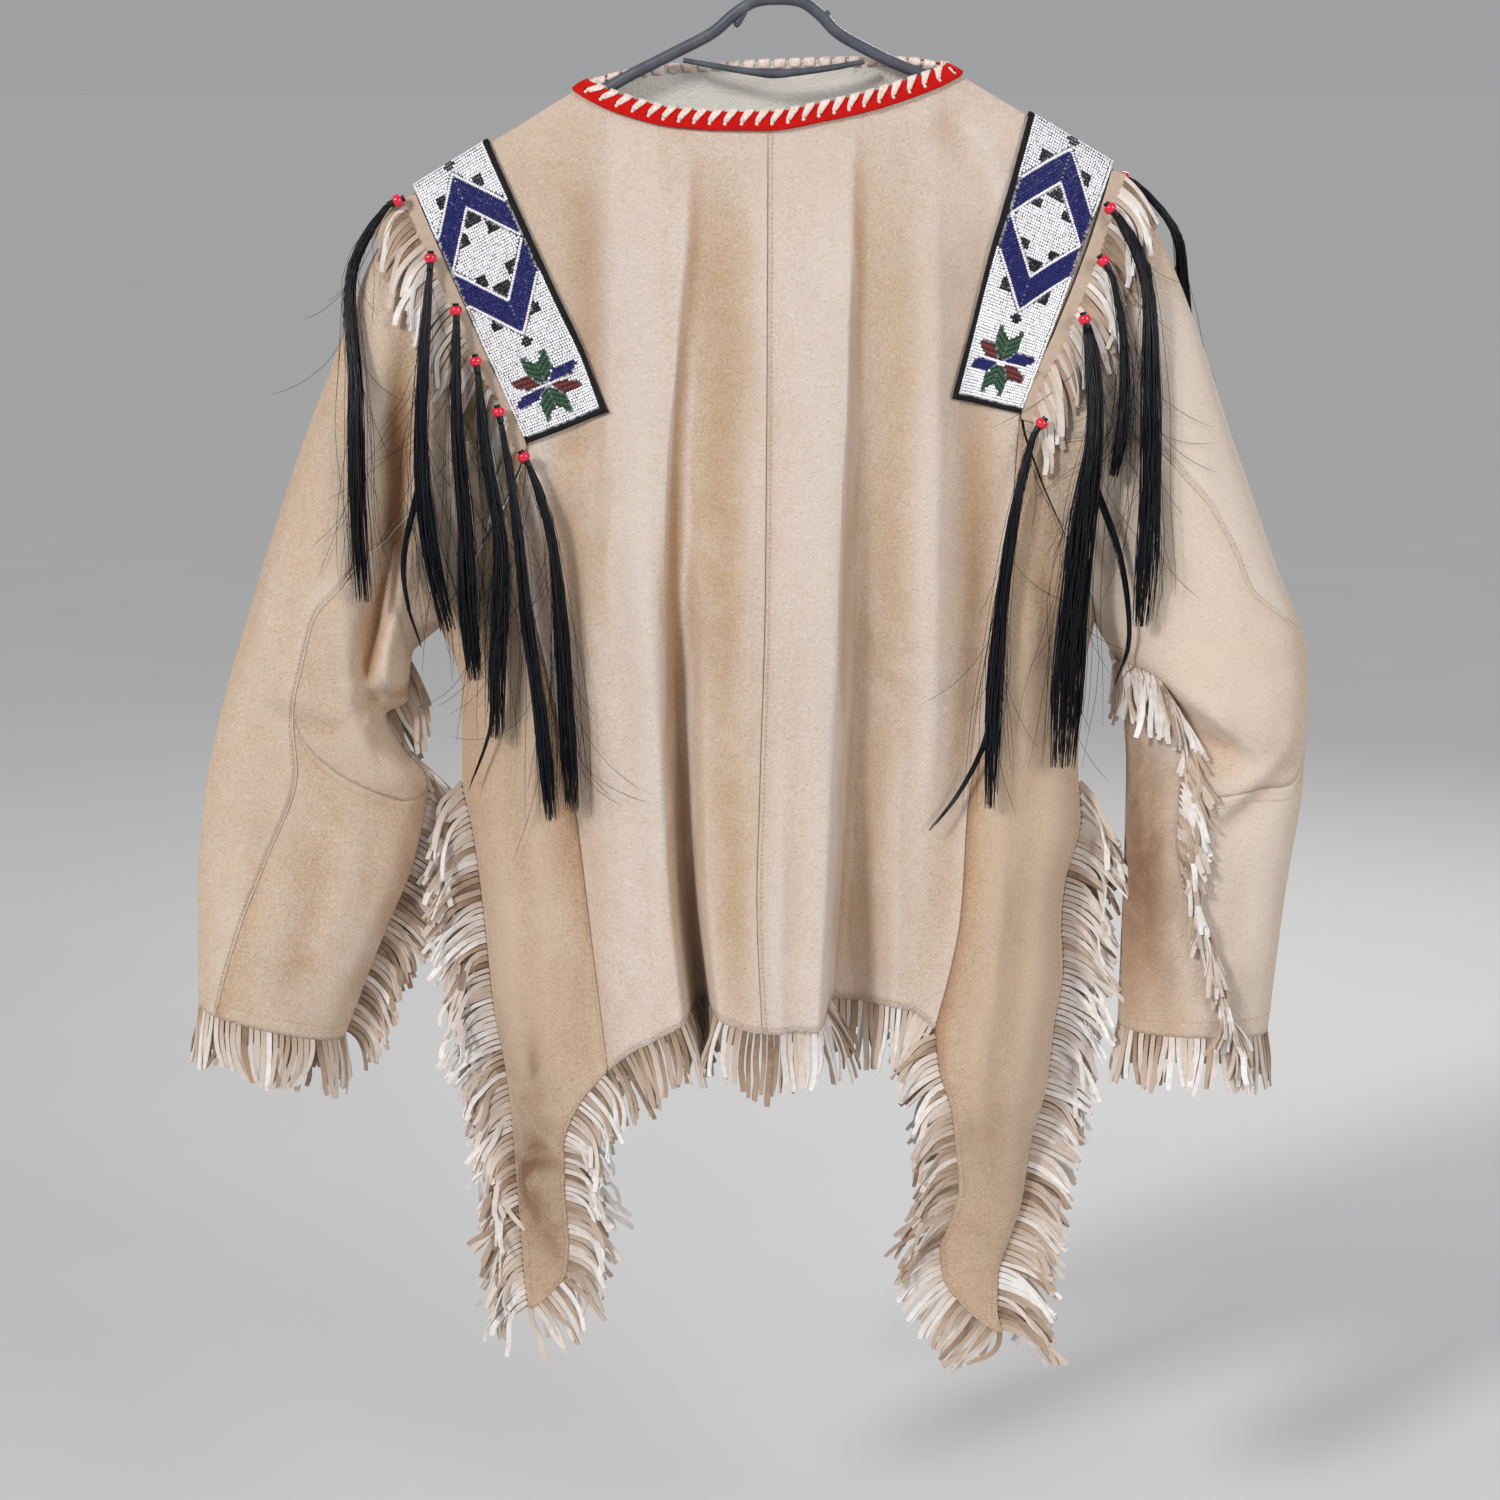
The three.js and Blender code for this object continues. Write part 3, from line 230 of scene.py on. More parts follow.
CREASES_SLEEVE = {
    "left": [
        [(312, 790, 8, 0), (335, 820, 9, 1.9), (362, 850, 9, 1.7), (392, 868, 8, 0)],
        [(350, 790, 8, 0), (385, 803, 9, 1.9), (418, 806, 8, 0.5)],
        [(395, 850, 10, 0), (372, 900, 12, 2.1), (340, 950, 12, 1.7), (312, 1000, 10, 0)],
        [(330, 880, 9, 0), (300, 940, 10, 1.4), (285, 990, 9, 0)],
        [(402, 290, 9, 0), (399, 360, 10, 8), (395, 440, 11, 13), (390, 540, 10, 17), (374, 620, 8, 17), (364, 670, 7, 14), (368, 700, 6, 7), (372, 722, 6, 0)],
        [(404, 540, 7, 0), (398, 600, 7, -7), (390, 650, 7, -10), (388, 690, 6, -8), (397, 706, 6, 0)],
        [(366, 716, 5, 0), (384, 720, 5, 9), (404, 712, 5, 9)],
        [(350, 480, 9, 0), (346, 560, 9, -4), (344, 640, 9, -5), (354, 700, 8, 0)],
        [(300, 420, 16, 0), (290, 520, 18, 3.5), (285, 620, 16, 3.5), (300, 700, 14, 0)],
        [(338, 560, 9, 0), (326, 620, 9, -3), (330, 690, 9, 0)],
        [(330, 800, 14, 0), (320, 880, 16, 3.5), (300, 960, 16, 3.5), (290, 1020, 12, 0)],
        [(384, 800, 10, 0), (374, 860, 10, 3), (350, 940, 10, 0)],
        [(248, 700, 8, 0), (290, 718, 8, 3.2), (330, 730, 8, 3.2), (366, 716, 7, 0)],
        [(262, 800, 8, 0), (255, 880, 9, 2.5), (240, 960, 8, 0)],
        [(370, 742, 5, 0), (392, 757, 5, 2.6), (418, 770, 5, 0)],
        [(352, 300, 8, 0), (345, 360, 9, 2.5), (330, 440, 8, 0)],
    ],
    "right": [
        [(1140, 430, 12, 0), (1150, 500, 14, 4), (1165, 560, 14, 4), (1190, 620, 12, 0)],
        [(1165, 330, 12, 0), (1185, 400, 12, -3), (1205, 480, 12, -3), (1225, 540, 10, 0)],
        [(1222, 700, 8, 0), (1240, 732, 8, 5), (1262, 756, 8, 5), (1292, 748, 7, 0)],
        [(1170, 640, 8, 0), (1215, 668, 9, -3.5), (1260, 700, 8, 0)],
        [(1160, 780, 10, 0), (1155, 860, 12, 3.4), (1150, 950, 12, 3.4), (1150, 1010, 10, 0)],
        [(1250, 840, 12, 0), (1240, 910, 12, 3.2), (1235, 1000, 12, 0)],
        [(1132, 700, 6, 0), (1140, 730, 7, 3), (1150, 770, 6, 0)],
        [(1110, 470, 9, 0), (1112, 540, 10, 4.5), (1110, 610, 8, 0)],
        [(1200, 800, 6, 0), (1215, 850, 7, -2), (1228, 905, 6, 0)],
        [(1255, 640, 6, 0), (1275, 672, 6, 2.4), (1296, 690, 6, 0)],
    ],
}


def crease_rows(rows, mirror=False):
    out = []
    for px, py, w, d in rows:
        x, z = at(px, py)
        out.append(((-16 - x) if mirror else x, z, w, d))
    return np.array(out, float)


def creases(lines, x, z):
    """Sum of soft troughs along polylines, at points (x, z)."""
    shape = np.shape(x)
    P = np.stack([np.ravel(x), np.ravel(z)], 1)
    y = np.zeros(len(P))
    for L in lines:
        lo = L[:, :2].min(0) - 3 * L[:, 2].max()
        hi = L[:, :2].max(0) + 3 * L[:, 2].max()
        m = np.all((P > lo) & (P < hi), axis=1)
        if not m.any():
            continue
        Q = P[m]
        best = np.full(len(Q), 1e9)
        dep = np.zeros(len(Q))
        wid = np.ones(len(Q))
        for a, b in zip(L[:-1], L[1:]):
            ab = b[:2] - a[:2]
            t = np.clip(((Q - a[:2]) @ ab) / (ab @ ab), 0, 1)
            d = np.hypot(*(Q - a[:2] - t[:, None] * ab).T)
            k = d < best
            best[k] = d[k]
            ts = t * t * (3 - 2 * t)
            dep[k] = lerp(a[3], b[3], ts)[k]
            wid[k] = lerp(a[2], b[2], t)[k]
        y[m] += dep * np.exp(-(best / wid) ** 2)
    return y.reshape(shape)


def ridge_tables(rows):
    out = []
    for px, py, h, wl, wr in rows:
        x, z = at(px, py)
        out.append([z, x, h, wl, wr])
    return table(out)


RIDGE_TABLES = {f: [ridge_tables(r) for r in rows] for f, rows in RIDGES.items()}


def ridges(x, z, face):
    y = np.zeros(np.shape(x))
    for k, T in enumerate(RIDGE_TABLES[face]):
        wob = 0.7 * np.sin(z / 37 + k) + 0.35 * np.sin(z / 15.7 + 2 * k)
        dx = (x if face < 0 else -16 - x) - T(z, 1) + wob
        left = np.exp(-(np.minimum(dx, 0) / T(z, 3)) ** 2)
        right = np.exp(-(np.maximum(dx, 0) / (0.72 * T(z, 4))) ** 1.15)
        y += T(z, 2) * np.where(dx < 0, left, 1) * right
    return y


BODY_LINES = {-1: [crease_rows(r) for r in CREASES_BODY], 1: [crease_rows(r, True) for r in CREASES_BODY[:4] + CREASES_BODY[15:]]}
SLEEVE_LINES = {s: [crease_rows(r) for r in rows] for s, rows in CREASES_SLEEVE.items()}


def ripple(x, z, k=1.0):
    """The hide's own slow unevenness, a few tenths of a millimetre."""
    return k * (0.55 * np.sin(x / 23 + 1.7 * np.sin(z / 61)) * np.sin(z / 37 + 1.3 * np.sin(x / 47)) + 0.35 * np.sin(x / 11.3 + z / 17.1) * np.sin(z / 13.7 - x / 29) + 0.5 * np.sin(z / 83 + 2 * np.sin(x / 71)))


def ridge_z(x):
    x = np.asarray(x, float)
    return RIDGE_TOP - np.where(x < 0, SLOPE_L, SLOPE_R) * np.sqrt(x * x + 36)


def body_depth(x, z, face, fine=True):
    x, z = np.broadcast_arrays(np.asarray(x, float), np.asarray(z, float))
    d = np.maximum(0, ridge_z(x) - z)
    edge = np.zeros(x.shape)
    for S in SIDES.values():
        m = (x < 0) if S["s"] < 0 else (x >= 0)
        up = S["armpit"][1]
        e = np.where(z > up, abs(S["armpit"][0]) + (z - up) * 0.9, np.abs(S["seam"](z)))
        edge = np.where(m, e, edge)
    e = np.clip((edge - np.abs(x)) / SIDE_ROUND, 0, 1)
    rnd = np.sqrt(np.maximum(0, 1 - (1 - e) ** 2))
    tail = 1 - 0.62 * smooth(-820, -1080, z)
    taper = 1 - 0.28 * smooth(60, 150, np.abs(x))
    h = np.sqrt(2 * NOSE * d) * tail * taper * (1 if face < 0 else 0.94)
    opening = 22 * smooth(-850, -980, z)
    folds = np.zeros(x.shape)
    for f in FOLDS[face]:
        dx = x - f(z, 1)
        w = np.where(dx < 0, f(z, 2), f(z, 3))
        folds = folds + f(z, 4) * np.exp(-np.abs(dx / w) ** 2.4)
    out = opening + np.maximum(0, h - opening) * rnd - folds * rnd
    if fine:
        near = smooth(2, 26, d)
        out = out - (creases(BODY_LINES[face], x, z) * (1 if face < 0 else 0.9) + ripple(x, z) - ridges(x, z, face)) * near * (0.35 + 0.65 * rnd)
    return np.maximum(0, out)


def body(x, z, face, off=0.0):
    x, z = np.broadcast_arrays(np.asarray(x, float), np.asarray(z, float))
    return np.stack([x, face * (body_depth(x, z, face) + GAP + off), z], -1)


# ---------------------------------------------------------------- meshes
def tri_count(q, t):
    return 2 * len(q) + len(t)


def mesh(name, verts, quads=None, tris=None, mat=None, smooth_faces=True, flat_from=None, attrs=None, colour=None):
    """A mesh object from arrays, millimetres in and metres out; faces after flat_from are flat."""
    quads = np.zeros((0, 4), int) if quads is None else np.asarray(quads)
    tris = np.zeros((0, 3), int) if tris is None else np.asarray(tris)
    me = bpy.data.meshes.new(name)
    me.vertices.add(len(verts))
    me.vertices.foreach_set("co", (np.asarray(verts, np.float64) / 1000).astype(np.float32).ravel())
    loops = np.concatenate([quads.ravel(), tris.ravel()]).astype(np.int32)
    me.loops.add(len(loops))
    me.loops.foreach_set("vertex_index", loops)
    nq, nt = len(quads), len(tris)
    me.polygons.add(nq + nt)
    me.polygons.foreach_set("loop_start", np.concatenate([np.arange(nq) * 4, nq * 4 + np.arange(nt) * 3]).astype(np.int32))
    sm = np.full(nq + nt, bool(smooth_faces))
    if flat_from is not None:
        sm[flat_from:nq] = False
    me.polygons.foreach_set("use_smooth", sm)
    me.update(calc_edges=True)
    for key, val in (attrs or {}).items():
        a = me.attributes.new(key, "FLOAT", "POINT")
        a.data.foreach_set("value", np.asarray(val, np.float32).ravel())
    if colour is not None:
        a = me.attributes.new("tint", "FLOAT_COLOR", "POINT")
        c = np.ones((len(verts), 4), np.float32)
        c[:, :3] = colour
        a.data.foreach_set("color", c.ravel())
    me.validate()
    ob = bpy.data.objects.new(name, me)
    bpy.context.scene.collection.objects.link(ob)
    if mat is not None:
        me.materials.append(mat)
    return ob


def turn_out(verts, quads, tris=None):
    """Faces turned so that the closed mesh's volume is positive."""
    v = np.asarray(verts)
    a, b, c, d = (v[quads[:, k]] for k in range(4))
    vol = np.einsum("ij,ij->i", a, np.cross(b, c)).sum() + np.einsum("ij,ij->i", a, np.cross(c, d)).sum()
    if tris is not None and len(tris):
        a, b, c = (v[tris[:, k]] for k in range(3))
        vol += np.einsum("ij,ij->i", a, np.cross(b, c)).sum()
    if vol < 0:
        quads = quads[:, ::-1]
        tris = tris[:, ::-1] if tris is not None and len(tris) else tris
    return quads, tris


def grid_normals(X, ring=False):
    du = np.gradient(X, axis=0)
    dv = (np.roll(X, -1, 1) - np.roll(X, 1, 1)) / 2 if ring else np.gradient(X, axis=1)
    return unit(np.cross(du, dv))


def arc(P):
    return np.linalg.norm(np.diff(P, axis=0), axis=-1).sum(0)


def catmull(P, n):
    """n points on a smooth curve through P."""
    P = np.asarray(P, float)
    t = np.concatenate([[0], np.cumsum(np.linalg.norm(np.diff(P, axis=0), axis=1) ** 0.5)])
    m = np.zeros_like(P)
    m[1:-1] = ((P[1:-1] - P[:-2]) / (t[1:-1] - t[:-2])[:, None] * (t[2:] - t[1:-1])[:, None] + (P[2:] - P[1:-1]) / (t[2:] - t[1:-1])[:, None] * (t[1:-1] - t[:-2])[:, None]) / (t[2:] - t[:-2])[:, None]
    m[0], m[-1] = (P[1] - P[0]) / (t[1] - t[0]), (P[-1] - P[-2]) / (t[-1] - t[-2])
    q = np.linspace(0, t[-1], n)
    i = np.clip(np.searchsorted(t, q, side="right") - 1, 0, len(P) - 2)
    h = (t[i + 1] - t[i])[:, None]
    u = ((q - t[i]) / h[:, 0])[:, None]
    return (2 * u ** 3 - 3 * u ** 2 + 1) * P[i] + (u ** 3 - 2 * u ** 2 + u) * h * m[i] + (3 * u ** 2 - 2 * u ** 3) * P[i + 1] + (u ** 3 - u ** 2) * h * m[i + 1]


SHEETS = []


def shell(name, X, out, mat, lo=-CLOTH, hi=0.0, ring=False, attrs=None, sheet=True, node=None):
    """A closed thin wall from a grid of points (nu, nv, 3)."""
    nu, nv = X.shape[:2]
    N = grid_normals(X, ring)
    i, j = nu // 2, nv // 2
    if np.dot(N[i, j], out(X[i, j])) < 0:
        N = -N
    pts = np.concatenate([(X + N * hi).reshape(-1, 3), (X + N * lo).reshape(-1, 3)])
    n = nu * nv
    J = nv if ring else nv - 1
    ii, jj = np.meshgrid(np.arange(nu - 1), np.arange(J), indexing="ij")
    ii, jj = ii.ravel(), jj.ravel()
    j2 = (jj + 1) % nv
    a, b, c, d = ii * nv + jj, (ii + 1) * nv + jj, (ii + 1) * nv + j2, ii * nv + j2
    top = np.stack([a, b, c, d], 1)
    bot = np.stack([a, d, c, b], 1) + n
    rims = []
    e = np.arange(J)
    e2 = (e + 1) % nv
    rims.append(np.stack([e, e2, e2 + n, e + n], 1))
    r0 = (nu - 1) * nv
    rims.append(np.stack([r0 + e2, r0 + e, r0 + e + n, r0 + e2 + n], 1))
    if not ring:
        e = np.arange(nu - 1)
        rims.append(np.stack([(e + 1) * nv, e * nv, e * nv + n, (e + 1) * nv + n], 1))
        rims.append(np.stack([e * nv + nv - 1, (e + 1) * nv + nv - 1, (e + 1) * nv + nv - 1 + n, e * nv + nv - 1 + n], 1))
    quads = np.concatenate([top, bot] + rims)
    quads, _ = turn_out(pts, quads)
    at2 = {k: np.concatenate([np.ravel(v), np.ravel(v)]) for k, v in (attrs or {}).items()}
    at2["inner"] = np.repeat([0.0, 1.0] if hi >= 0 and lo < 0 else [1.0, 0.0], n)
    ob = mesh(name + ("_cloth" if sheet else "_backing"), pts, quads, mat=mat, flat_from=len(top) + len(bot), attrs=at2)
    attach(ob, "root")
    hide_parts(node or name)
    if sheet:
        q = top
        v = (X + N * hi).reshape(-1, 3)
        area = 0.5 * (np.linalg.norm(np.cross(v[q[:, 1]] - v[q[:, 0]], v[q[:, 2]] - v[q[:, 0]]), axis=1).sum() + np.linalg.norm(np.cross(v[q[:, 2]] - v[q[:, 0]], v[q[:, 3]] - v[q[:, 0]]), axis=1).sum())
        across = max(arc(X[k]) for k in range(0, nu, 4))
        along = float(np.max(arc(X)))
        SHEETS.append([ob, across / 1000, along / 1000, area / 1e6])
    return ob


def tubes(C, R, sides=4, flat=None, phase=0.0, up=None):
    """Closed tubes: C (S, K, 3) centres, R (S, K) radii. Returns verts, quads, tris."""
    S, K = C.shape[:2]
    T = unit(np.gradient(C, axis=1))
    a = np.zeros((S, 3)) + (np.array([0, 1.0, 0]) if up is None else up)
    alt = np.abs((T[:, 0] * a).sum(-1)) > 0.9
    a[alt] = (1, 0, 0)
    A = np.zeros_like(C)
    for k in range(K):
        a = unit(a - (a * T[:, k]).sum(-1, keepdims=True) * T[:, k])
        A[:, k] = a
    B = np.cross(T, A)
    w = 2 * np.pi * np.arange(sides) / sides + phase
    f = 1.0 if flat is None else flat
    V = C[:, :, None] + R[:, :, None, None] * (f * np.cos(w)[:, None] * A[:, :, None] + np.sin(w)[:, None] * B[:, :, None])
    V = V.reshape(-1, 3)
    s, k, e = np.meshgrid(np.arange(S), np.arange(K - 1), np.arange(sides), indexing="ij")
    base = (s * K + k) * sides
    i0, i1 = base + e, base + (e + 1) % sides
    Q = np.stack([i0, i1, i1 + sides, i0 + sides], -1).reshape(-1, 4)
    caps0, caps1 = [], []
    first = np.arange(S) * K * sides
    last = first + (K - 1) * sides
    for m in range(1, sides - 1):
        caps0.append(np.stack([first, first + m + 1, first + m], 1))
        caps1.append(np.stack([last, last + m, last + m + 1], 1))
    return V, Q, np.concatenate(caps0 + caps1)


class Pile:
    """Many small closed meshes gathered into one."""

    def __init__(self):
        self.v, self.q, self.t, self.a, self.n = [], [], [], [], 0

    def add(self, V, Q=None, T=None, value=0.0):
        V = np.asarray(V)
        self.v.append(V)
        if Q is not None and len(Q):
            self.q.append(np.asarray(Q) + self.n)
        if T is not None and len(T):
            self.t.append(np.asarray(T) + self.n)
        self.a.append(np.broadcast_to(value, (len(V),)) if np.ndim(value) < 1 else np.asarray(value))
        self.n += len(V)

    def make(self, name, mat, nodes=(), slot=None, key="shade", colour=None, flat=False):
        V = np.concatenate(self.v)
        Q = np.concatenate(self.q) if self.q else np.zeros((0, 4), int)
        T = np.concatenate(self.t) if self.t else np.zeros((0, 3), int)
        ob = mesh(name, V, Q, T, mat=mat, smooth_faces=not flat, attrs={key: np.concatenate(self.a)}, colour=colour)
        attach(ob, "root")
        if nodes:
            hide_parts(*nodes)
        return ob


# ---------------------------------------------------------------- materials
def srgb(r, g, b):
    c = np.array([r, g, b]) / 255
    return tuple(np.where(c <= 0.04045, c / 12.92, ((c + 0.055) / 1.055) ** 2.4)) + (1.0,)


class Mat:
    def __init__(self, name, **sockets):
        self.m = bpy.data.materials.new(name)
        self.m.use_nodes = True
        self.t = self.m.node_tree
        self.b = self.t.nodes["Principled BSDF"]
        for k, v in sockets.items():
            self.b.inputs[k.replace("_", " ")].default_value = v
        self.co = self.t.nodes.new("ShaderNodeTexCoord").outputs["Object"]

    def node(self, kind, **props):
        n = self.t.nodes.new(kind)
        for k, v in props.items():
            setattr(n, k, v)
        return n

    def link(self, a, b):
        self.t.links.new(a, b)

    def noise(self, scale, detail=3.0, rough=0.55, stretch=None, distortion=0.0):
        n = self.node("ShaderNodeTexNoise")
        n.inputs["Scale"].default_value = scale
        n.inputs["Detail"].default_value = detail
        n.inputs["Roughness"].default_value = rough
        n.inputs["Distortion"].default_value = distortion
        src = self.co
        if stretch:
            mp = self.node("ShaderNodeMapping")
            mp.inputs["Scale"].default_value = stretch
            self.link(self.co, mp.inputs["Vector"])
            src = mp.outputs["Vector"]
        self.link(src, n.inputs["Vector"])
        return n.outputs["Fac"]

    def ramp(self, fac, stops):
        n = self.node("ShaderNodeValToRGB")
        el = n.color_ramp.elements
        while len(el) < len(stops):
            el.new(0.5)
        for e, (p, c) in zip(el, stops):
            e.position, e.color = p, c
        self.link(fac, n.inputs["Fac"])
        return n.outputs["Color"]

    def remap(self, fac, a, b, c=0.0, d=1.0):
        n = self.node("ShaderNodeMapRange")
        for k, v in zip(("From Min", "From Max", "To Min", "To Max"), (a, b, c, d)):
            n.inputs[k].default_value = v
        self.link(fac, n.inputs["Value"])
        return n.outputs["Result"]

    def mix(self, fac, a, b, mode="MIX"):
        n = self.node("ShaderNodeMix", data_type="RGBA", blend_type=mode)
        n.inputs[0].default_value = fac if isinstance(fac, float) else 0.5
        if not isinstance(fac, float):
            self.link(fac, n.inputs[0])
        for k, s in ((6, a), (7, b)):
            if isinstance(s, tuple):
                n.inputs[k].default_value = s
            else:
                self.link(s, n.inputs[k])
        return n.outputs[2]

    def math(self, op, a, b=0.0):
        n = self.node("ShaderNodeMath", operation=op)
        for k, s in ((0, a), (1, b)):
            if isinstance(s, (int, float)):
                n.inputs[k].default_value = s
            else:
                self.link(s, n.inputs[k])
        return n.outputs[0]

    def attr(self, name, out="Fac"):
        return self.node("ShaderNodeAttribute", attribute_name=name).outputs[out]

    def bump(self, height, distance, strength=1.0, after=None):
        n = self.node("ShaderNodeBump")
        n.inputs["Strength"].default_value = strength
        n.inputs["Distance"].default_value = distance
        self.link(height, n.inputs["Height"])
        if after is not None:
            self.link(after, n.inputs["Normal"])
        return n.outputs["Normal"]

    def colour(self, c):
        self.link(c, self.b.inputs["Base Color"])

    def normal(self, n):
        self.link(n, self.b.inputs["Normal"])

    def rough(self, r):
        self.link(r, self.b.inputs["Roughness"])


def suede(name, light, mid, dark, shade_tint, tan=None, tan2=None, lining=0.3):
    tan, tan2 = tan or dark, tan2 or mid
    m = Mat(name, Roughness=0.93, Sheen_Weight=0.28, Sheen_Roughness=0.45, Specular_IOR_Level=0.18)
    m.b.inputs["Sheen Tint"].default_value = (1.0, 0.93, 0.85, 1)
    slow = m.noise(7, 4, 0.6, distortion=0.4)
    mid_n = m.noise(42, 4, 0.6)
    grain = m.noise(520, 4, 0.7)
    c = m.ramp(slow, [(0.3, mid), (0.5, mid), (0.72, light)])
    c = m.mix(m.remap(slow, 0.42, 0.25, 0.0, 0.45), c, dark)
    c = m.mix(m.remap(mid_n, 0.35, 0.75, 0.0, 0.5), c, light)
    c = m.mix(m.remap(m.noise(130, 4, 0.65), 0.52, 0.28, 0.0, 0.32), c, dark)
    c = m.mix(m.remap(grain, 0.50, 0.32, 0.0, 0.8), c, dark)
    c = m.mix(m.remap(grain, 0.53, 0.70, 0.0, 0.9), c, light)
    patchy = m.math("MULTIPLY", m.remap(m.noise(13, 5, 0.62, (1, 1, 0.5), 0.5), 0.34, 0.6, 0.5, 1.05), m.remap(m.noise(55, 4, 0.6), 0.3, 0.6, 0.7, 1.0))
    # darker tawny zones, partly the hide's own tone and partly painted shade
    c = m.mix(m.math("MULTIPLY", m.attr("tan"), patchy), c, m.mix(m.remap(grain, 0.36, 0.66), tan, tan2))
    # painted shade: the fourth colour is multiplied in over hollows, creases and shadowed spots
    c = m.mix(m.attr("valley"), c, shade_tint, "MULTIPLY")
    # painted light: paler where the cloth grid marks raised folds and lit zones
    c = m.mix(m.attr("lift"), c, light)
    c = m.mix(m.math("MULTIPLY", m.attr("inner"), lining), c, srgb(251, 247, 238))
    blot = m.noise(24, 4, 0.62, distortion=0.7)
    # darker spots: real staining in places, painted shade on the underside of the right sleeve and in the left armpit
    c = m.mix(m.math("MULTIPLY", m.attr("stain"), m.remap(blot, 0.32, 0.62, 0.25, 1.0)), c, srgb(122, 84, 54))
    m.colour(c)
    n = m.bump(m.noise(95, 4, 0.62), 0.0014, 0.6)
    n = m.bump(m.noise(380, 4, 0.7), 0.0017, 1.0, n)
    n = m.bump(m.noise(1100, 3, 0.7), 0.0009, 1.0, n)
    m.normal(n)
    return m.m


# the fourth colour given to each suede is the tint of its painted shade
LIGHT, MID, DARK, SHADE_TINT = srgb(236, 221, 212), srgb(225, 206, 191), srgb(209, 185, 164), srgb(226, 202, 176)
suede_back = suede("suede_back", LIGHT, MID, DARK, SHADE_TINT, srgb(199, 168, 135), srgb(219, 192, 163), 0.95)
suede_side = suede("suede_side", srgb(222, 197, 173), srgb(208, 178, 150), srgb(187, 152, 120), srgb(218, 188, 156))
suede_sleeve = suede("suede_sleeve", srgb(236, 220, 207), srgb(222, 194, 165), srgb(200, 165, 130), srgb(216, 188, 160), srgb(190, 156, 122), srgb(210, 178, 146))
suede_gusset = suede("suede_gusset", srgb(234, 215, 199), srgb(221, 195, 170), srgb(198, 168, 142), srgb(216, 188, 160))


def fringe_material():
    m = Mat("fringe_leather", Roughness=0.9, Sheen_Weight=0.2, Sheen_Roughness=0.5, Specular_IOR_Level=0.2)
    # the shade attribute goes from dark to pale grey-white: each strip's own tone, and painted shade at the roots and
    # on strips lying behind others
    c = m.ramp(m.attr("shade"), [(0.0, srgb(120, 96, 78)), (0.24, srgb(174, 151, 131)), (0.58, srgb(207, 193, 183)), (1.0, srgb(234, 231, 230))])
    c = m.mix(m.remap(m.noise(160, 3), 0.4, 0.75, 0.0, 0.4), c, srgb(186, 158, 128))
    c = m.mix(m.remap(m.noise(1100, 2), 0.55, 0.8, 0.0, 0.3), c, srgb(236, 226, 212))
    m.colour(c)
    m.normal(m.bump(m.noise(1300, 3, 0.7), 0.0003, 0.7))
    return m.m


FRINGE = fringe_material()


def thread_material():
    m = Mat("thread", Roughness=0.7, Specular_IOR_Level=0.3)
    m.colour(m.mix(m.remap(m.noise(700, 2), 0.4, 0.7), srgb(192, 162, 132), srgb(224, 204, 180)))
    m.normal(m.bump(m.noise(2600, 2, 0.6, (1, 1, 3)), 0.0002, 0.6))
    return m.m


THREAD = thread_material()


def felt_material():
    m = Mat("red_felt", Roughness=1.0, Sheen_Weight=0.55, Sheen_Roughness=0.4, Specular_IOR_Level=0.1)
    m.b.inputs["Sheen Tint"].default_value = (1.0, 0.25, 0.2, 1)
    f = m.noise(1100, 4, 0.75, distortion=1.5)
    c = m.ramp(f, [(0.3, srgb(150, 8, 10)), (0.5, srgb(206, 18, 16)), (0.72, srgb(232, 52, 40))])
    m.colour(m.mix(m.remap(m.noise(90, 3), 0.35, 0.7, 0.0, 0.35), c, srgb(176, 10, 12)))
    n = m.bump(m.noise(420, 4, 0.7, distortion=1.0), 0.0007, 0.7)
    m.normal(m.bump(f, 0.0005, 0.9, n))
    return m.m


def lace_material():
    m = Mat("lace_leather", Roughness=0.75, Specular_IOR_Level=0.3)
    m.colour(m.mix(m.remap(m.noise(500, 3), 0.35, 0.7), srgb(214, 190, 178), srgb(242, 228, 220)))
    m.normal(m.bump(m.noise(900, 3), 0.0003, 0.6))
    return m.m


def bead_material():
    m = Mat("glass_beads", Roughness=0.32, Specular_IOR_Level=0.32, Coat_Weight=0.05, Coat_Roughness=0.2)
    tint = m.attr("tint", "Color")
    m.colour(m.mix(m.remap(m.noise(1500, 2), 0.5, 0.8, 0.0, 0.08), tint, (0.02, 0.02, 0.03, 1)))
    m.normal(m.bump(m.noise(2200, 2), 0.0001, 0.25))
    return m.m


def black_cloth_material():
    m = Mat("black_backing", Roughness=0.8, Specular_IOR_Level=0.3)
    c = m.mix(m.remap(m.noise(600, 3), 0.4, 0.7), srgb(5, 5, 7), srgb(20, 20, 26))
    under = m.ramp(m.noise(330, 3, 0.6), [(0.40, srgb(30, 30, 38)), (0.5, srgb(126, 126, 134)), (0.62, srgb(176, 176, 184))])
    m.colour(m.mix(m.attr("dark"), under, c))
    m.normal(m.bump(m.noise(1400, 3), 0.0002, 0.5))
    return m.m


# painted shade: a dark disc stands for the shadowed inside of each lace hole
def hole_shade_material():
    m = Mat("lace_hole", Roughness=0.95, Specular_IOR_Level=0.1)
    m.colour(m.mix(m.remap(m.noise(600, 3), 0.4, 0.7), srgb(46, 14, 10), srgb(86, 34, 24)))
    return m.m


HOLE_SHADE = hole_shade_material()


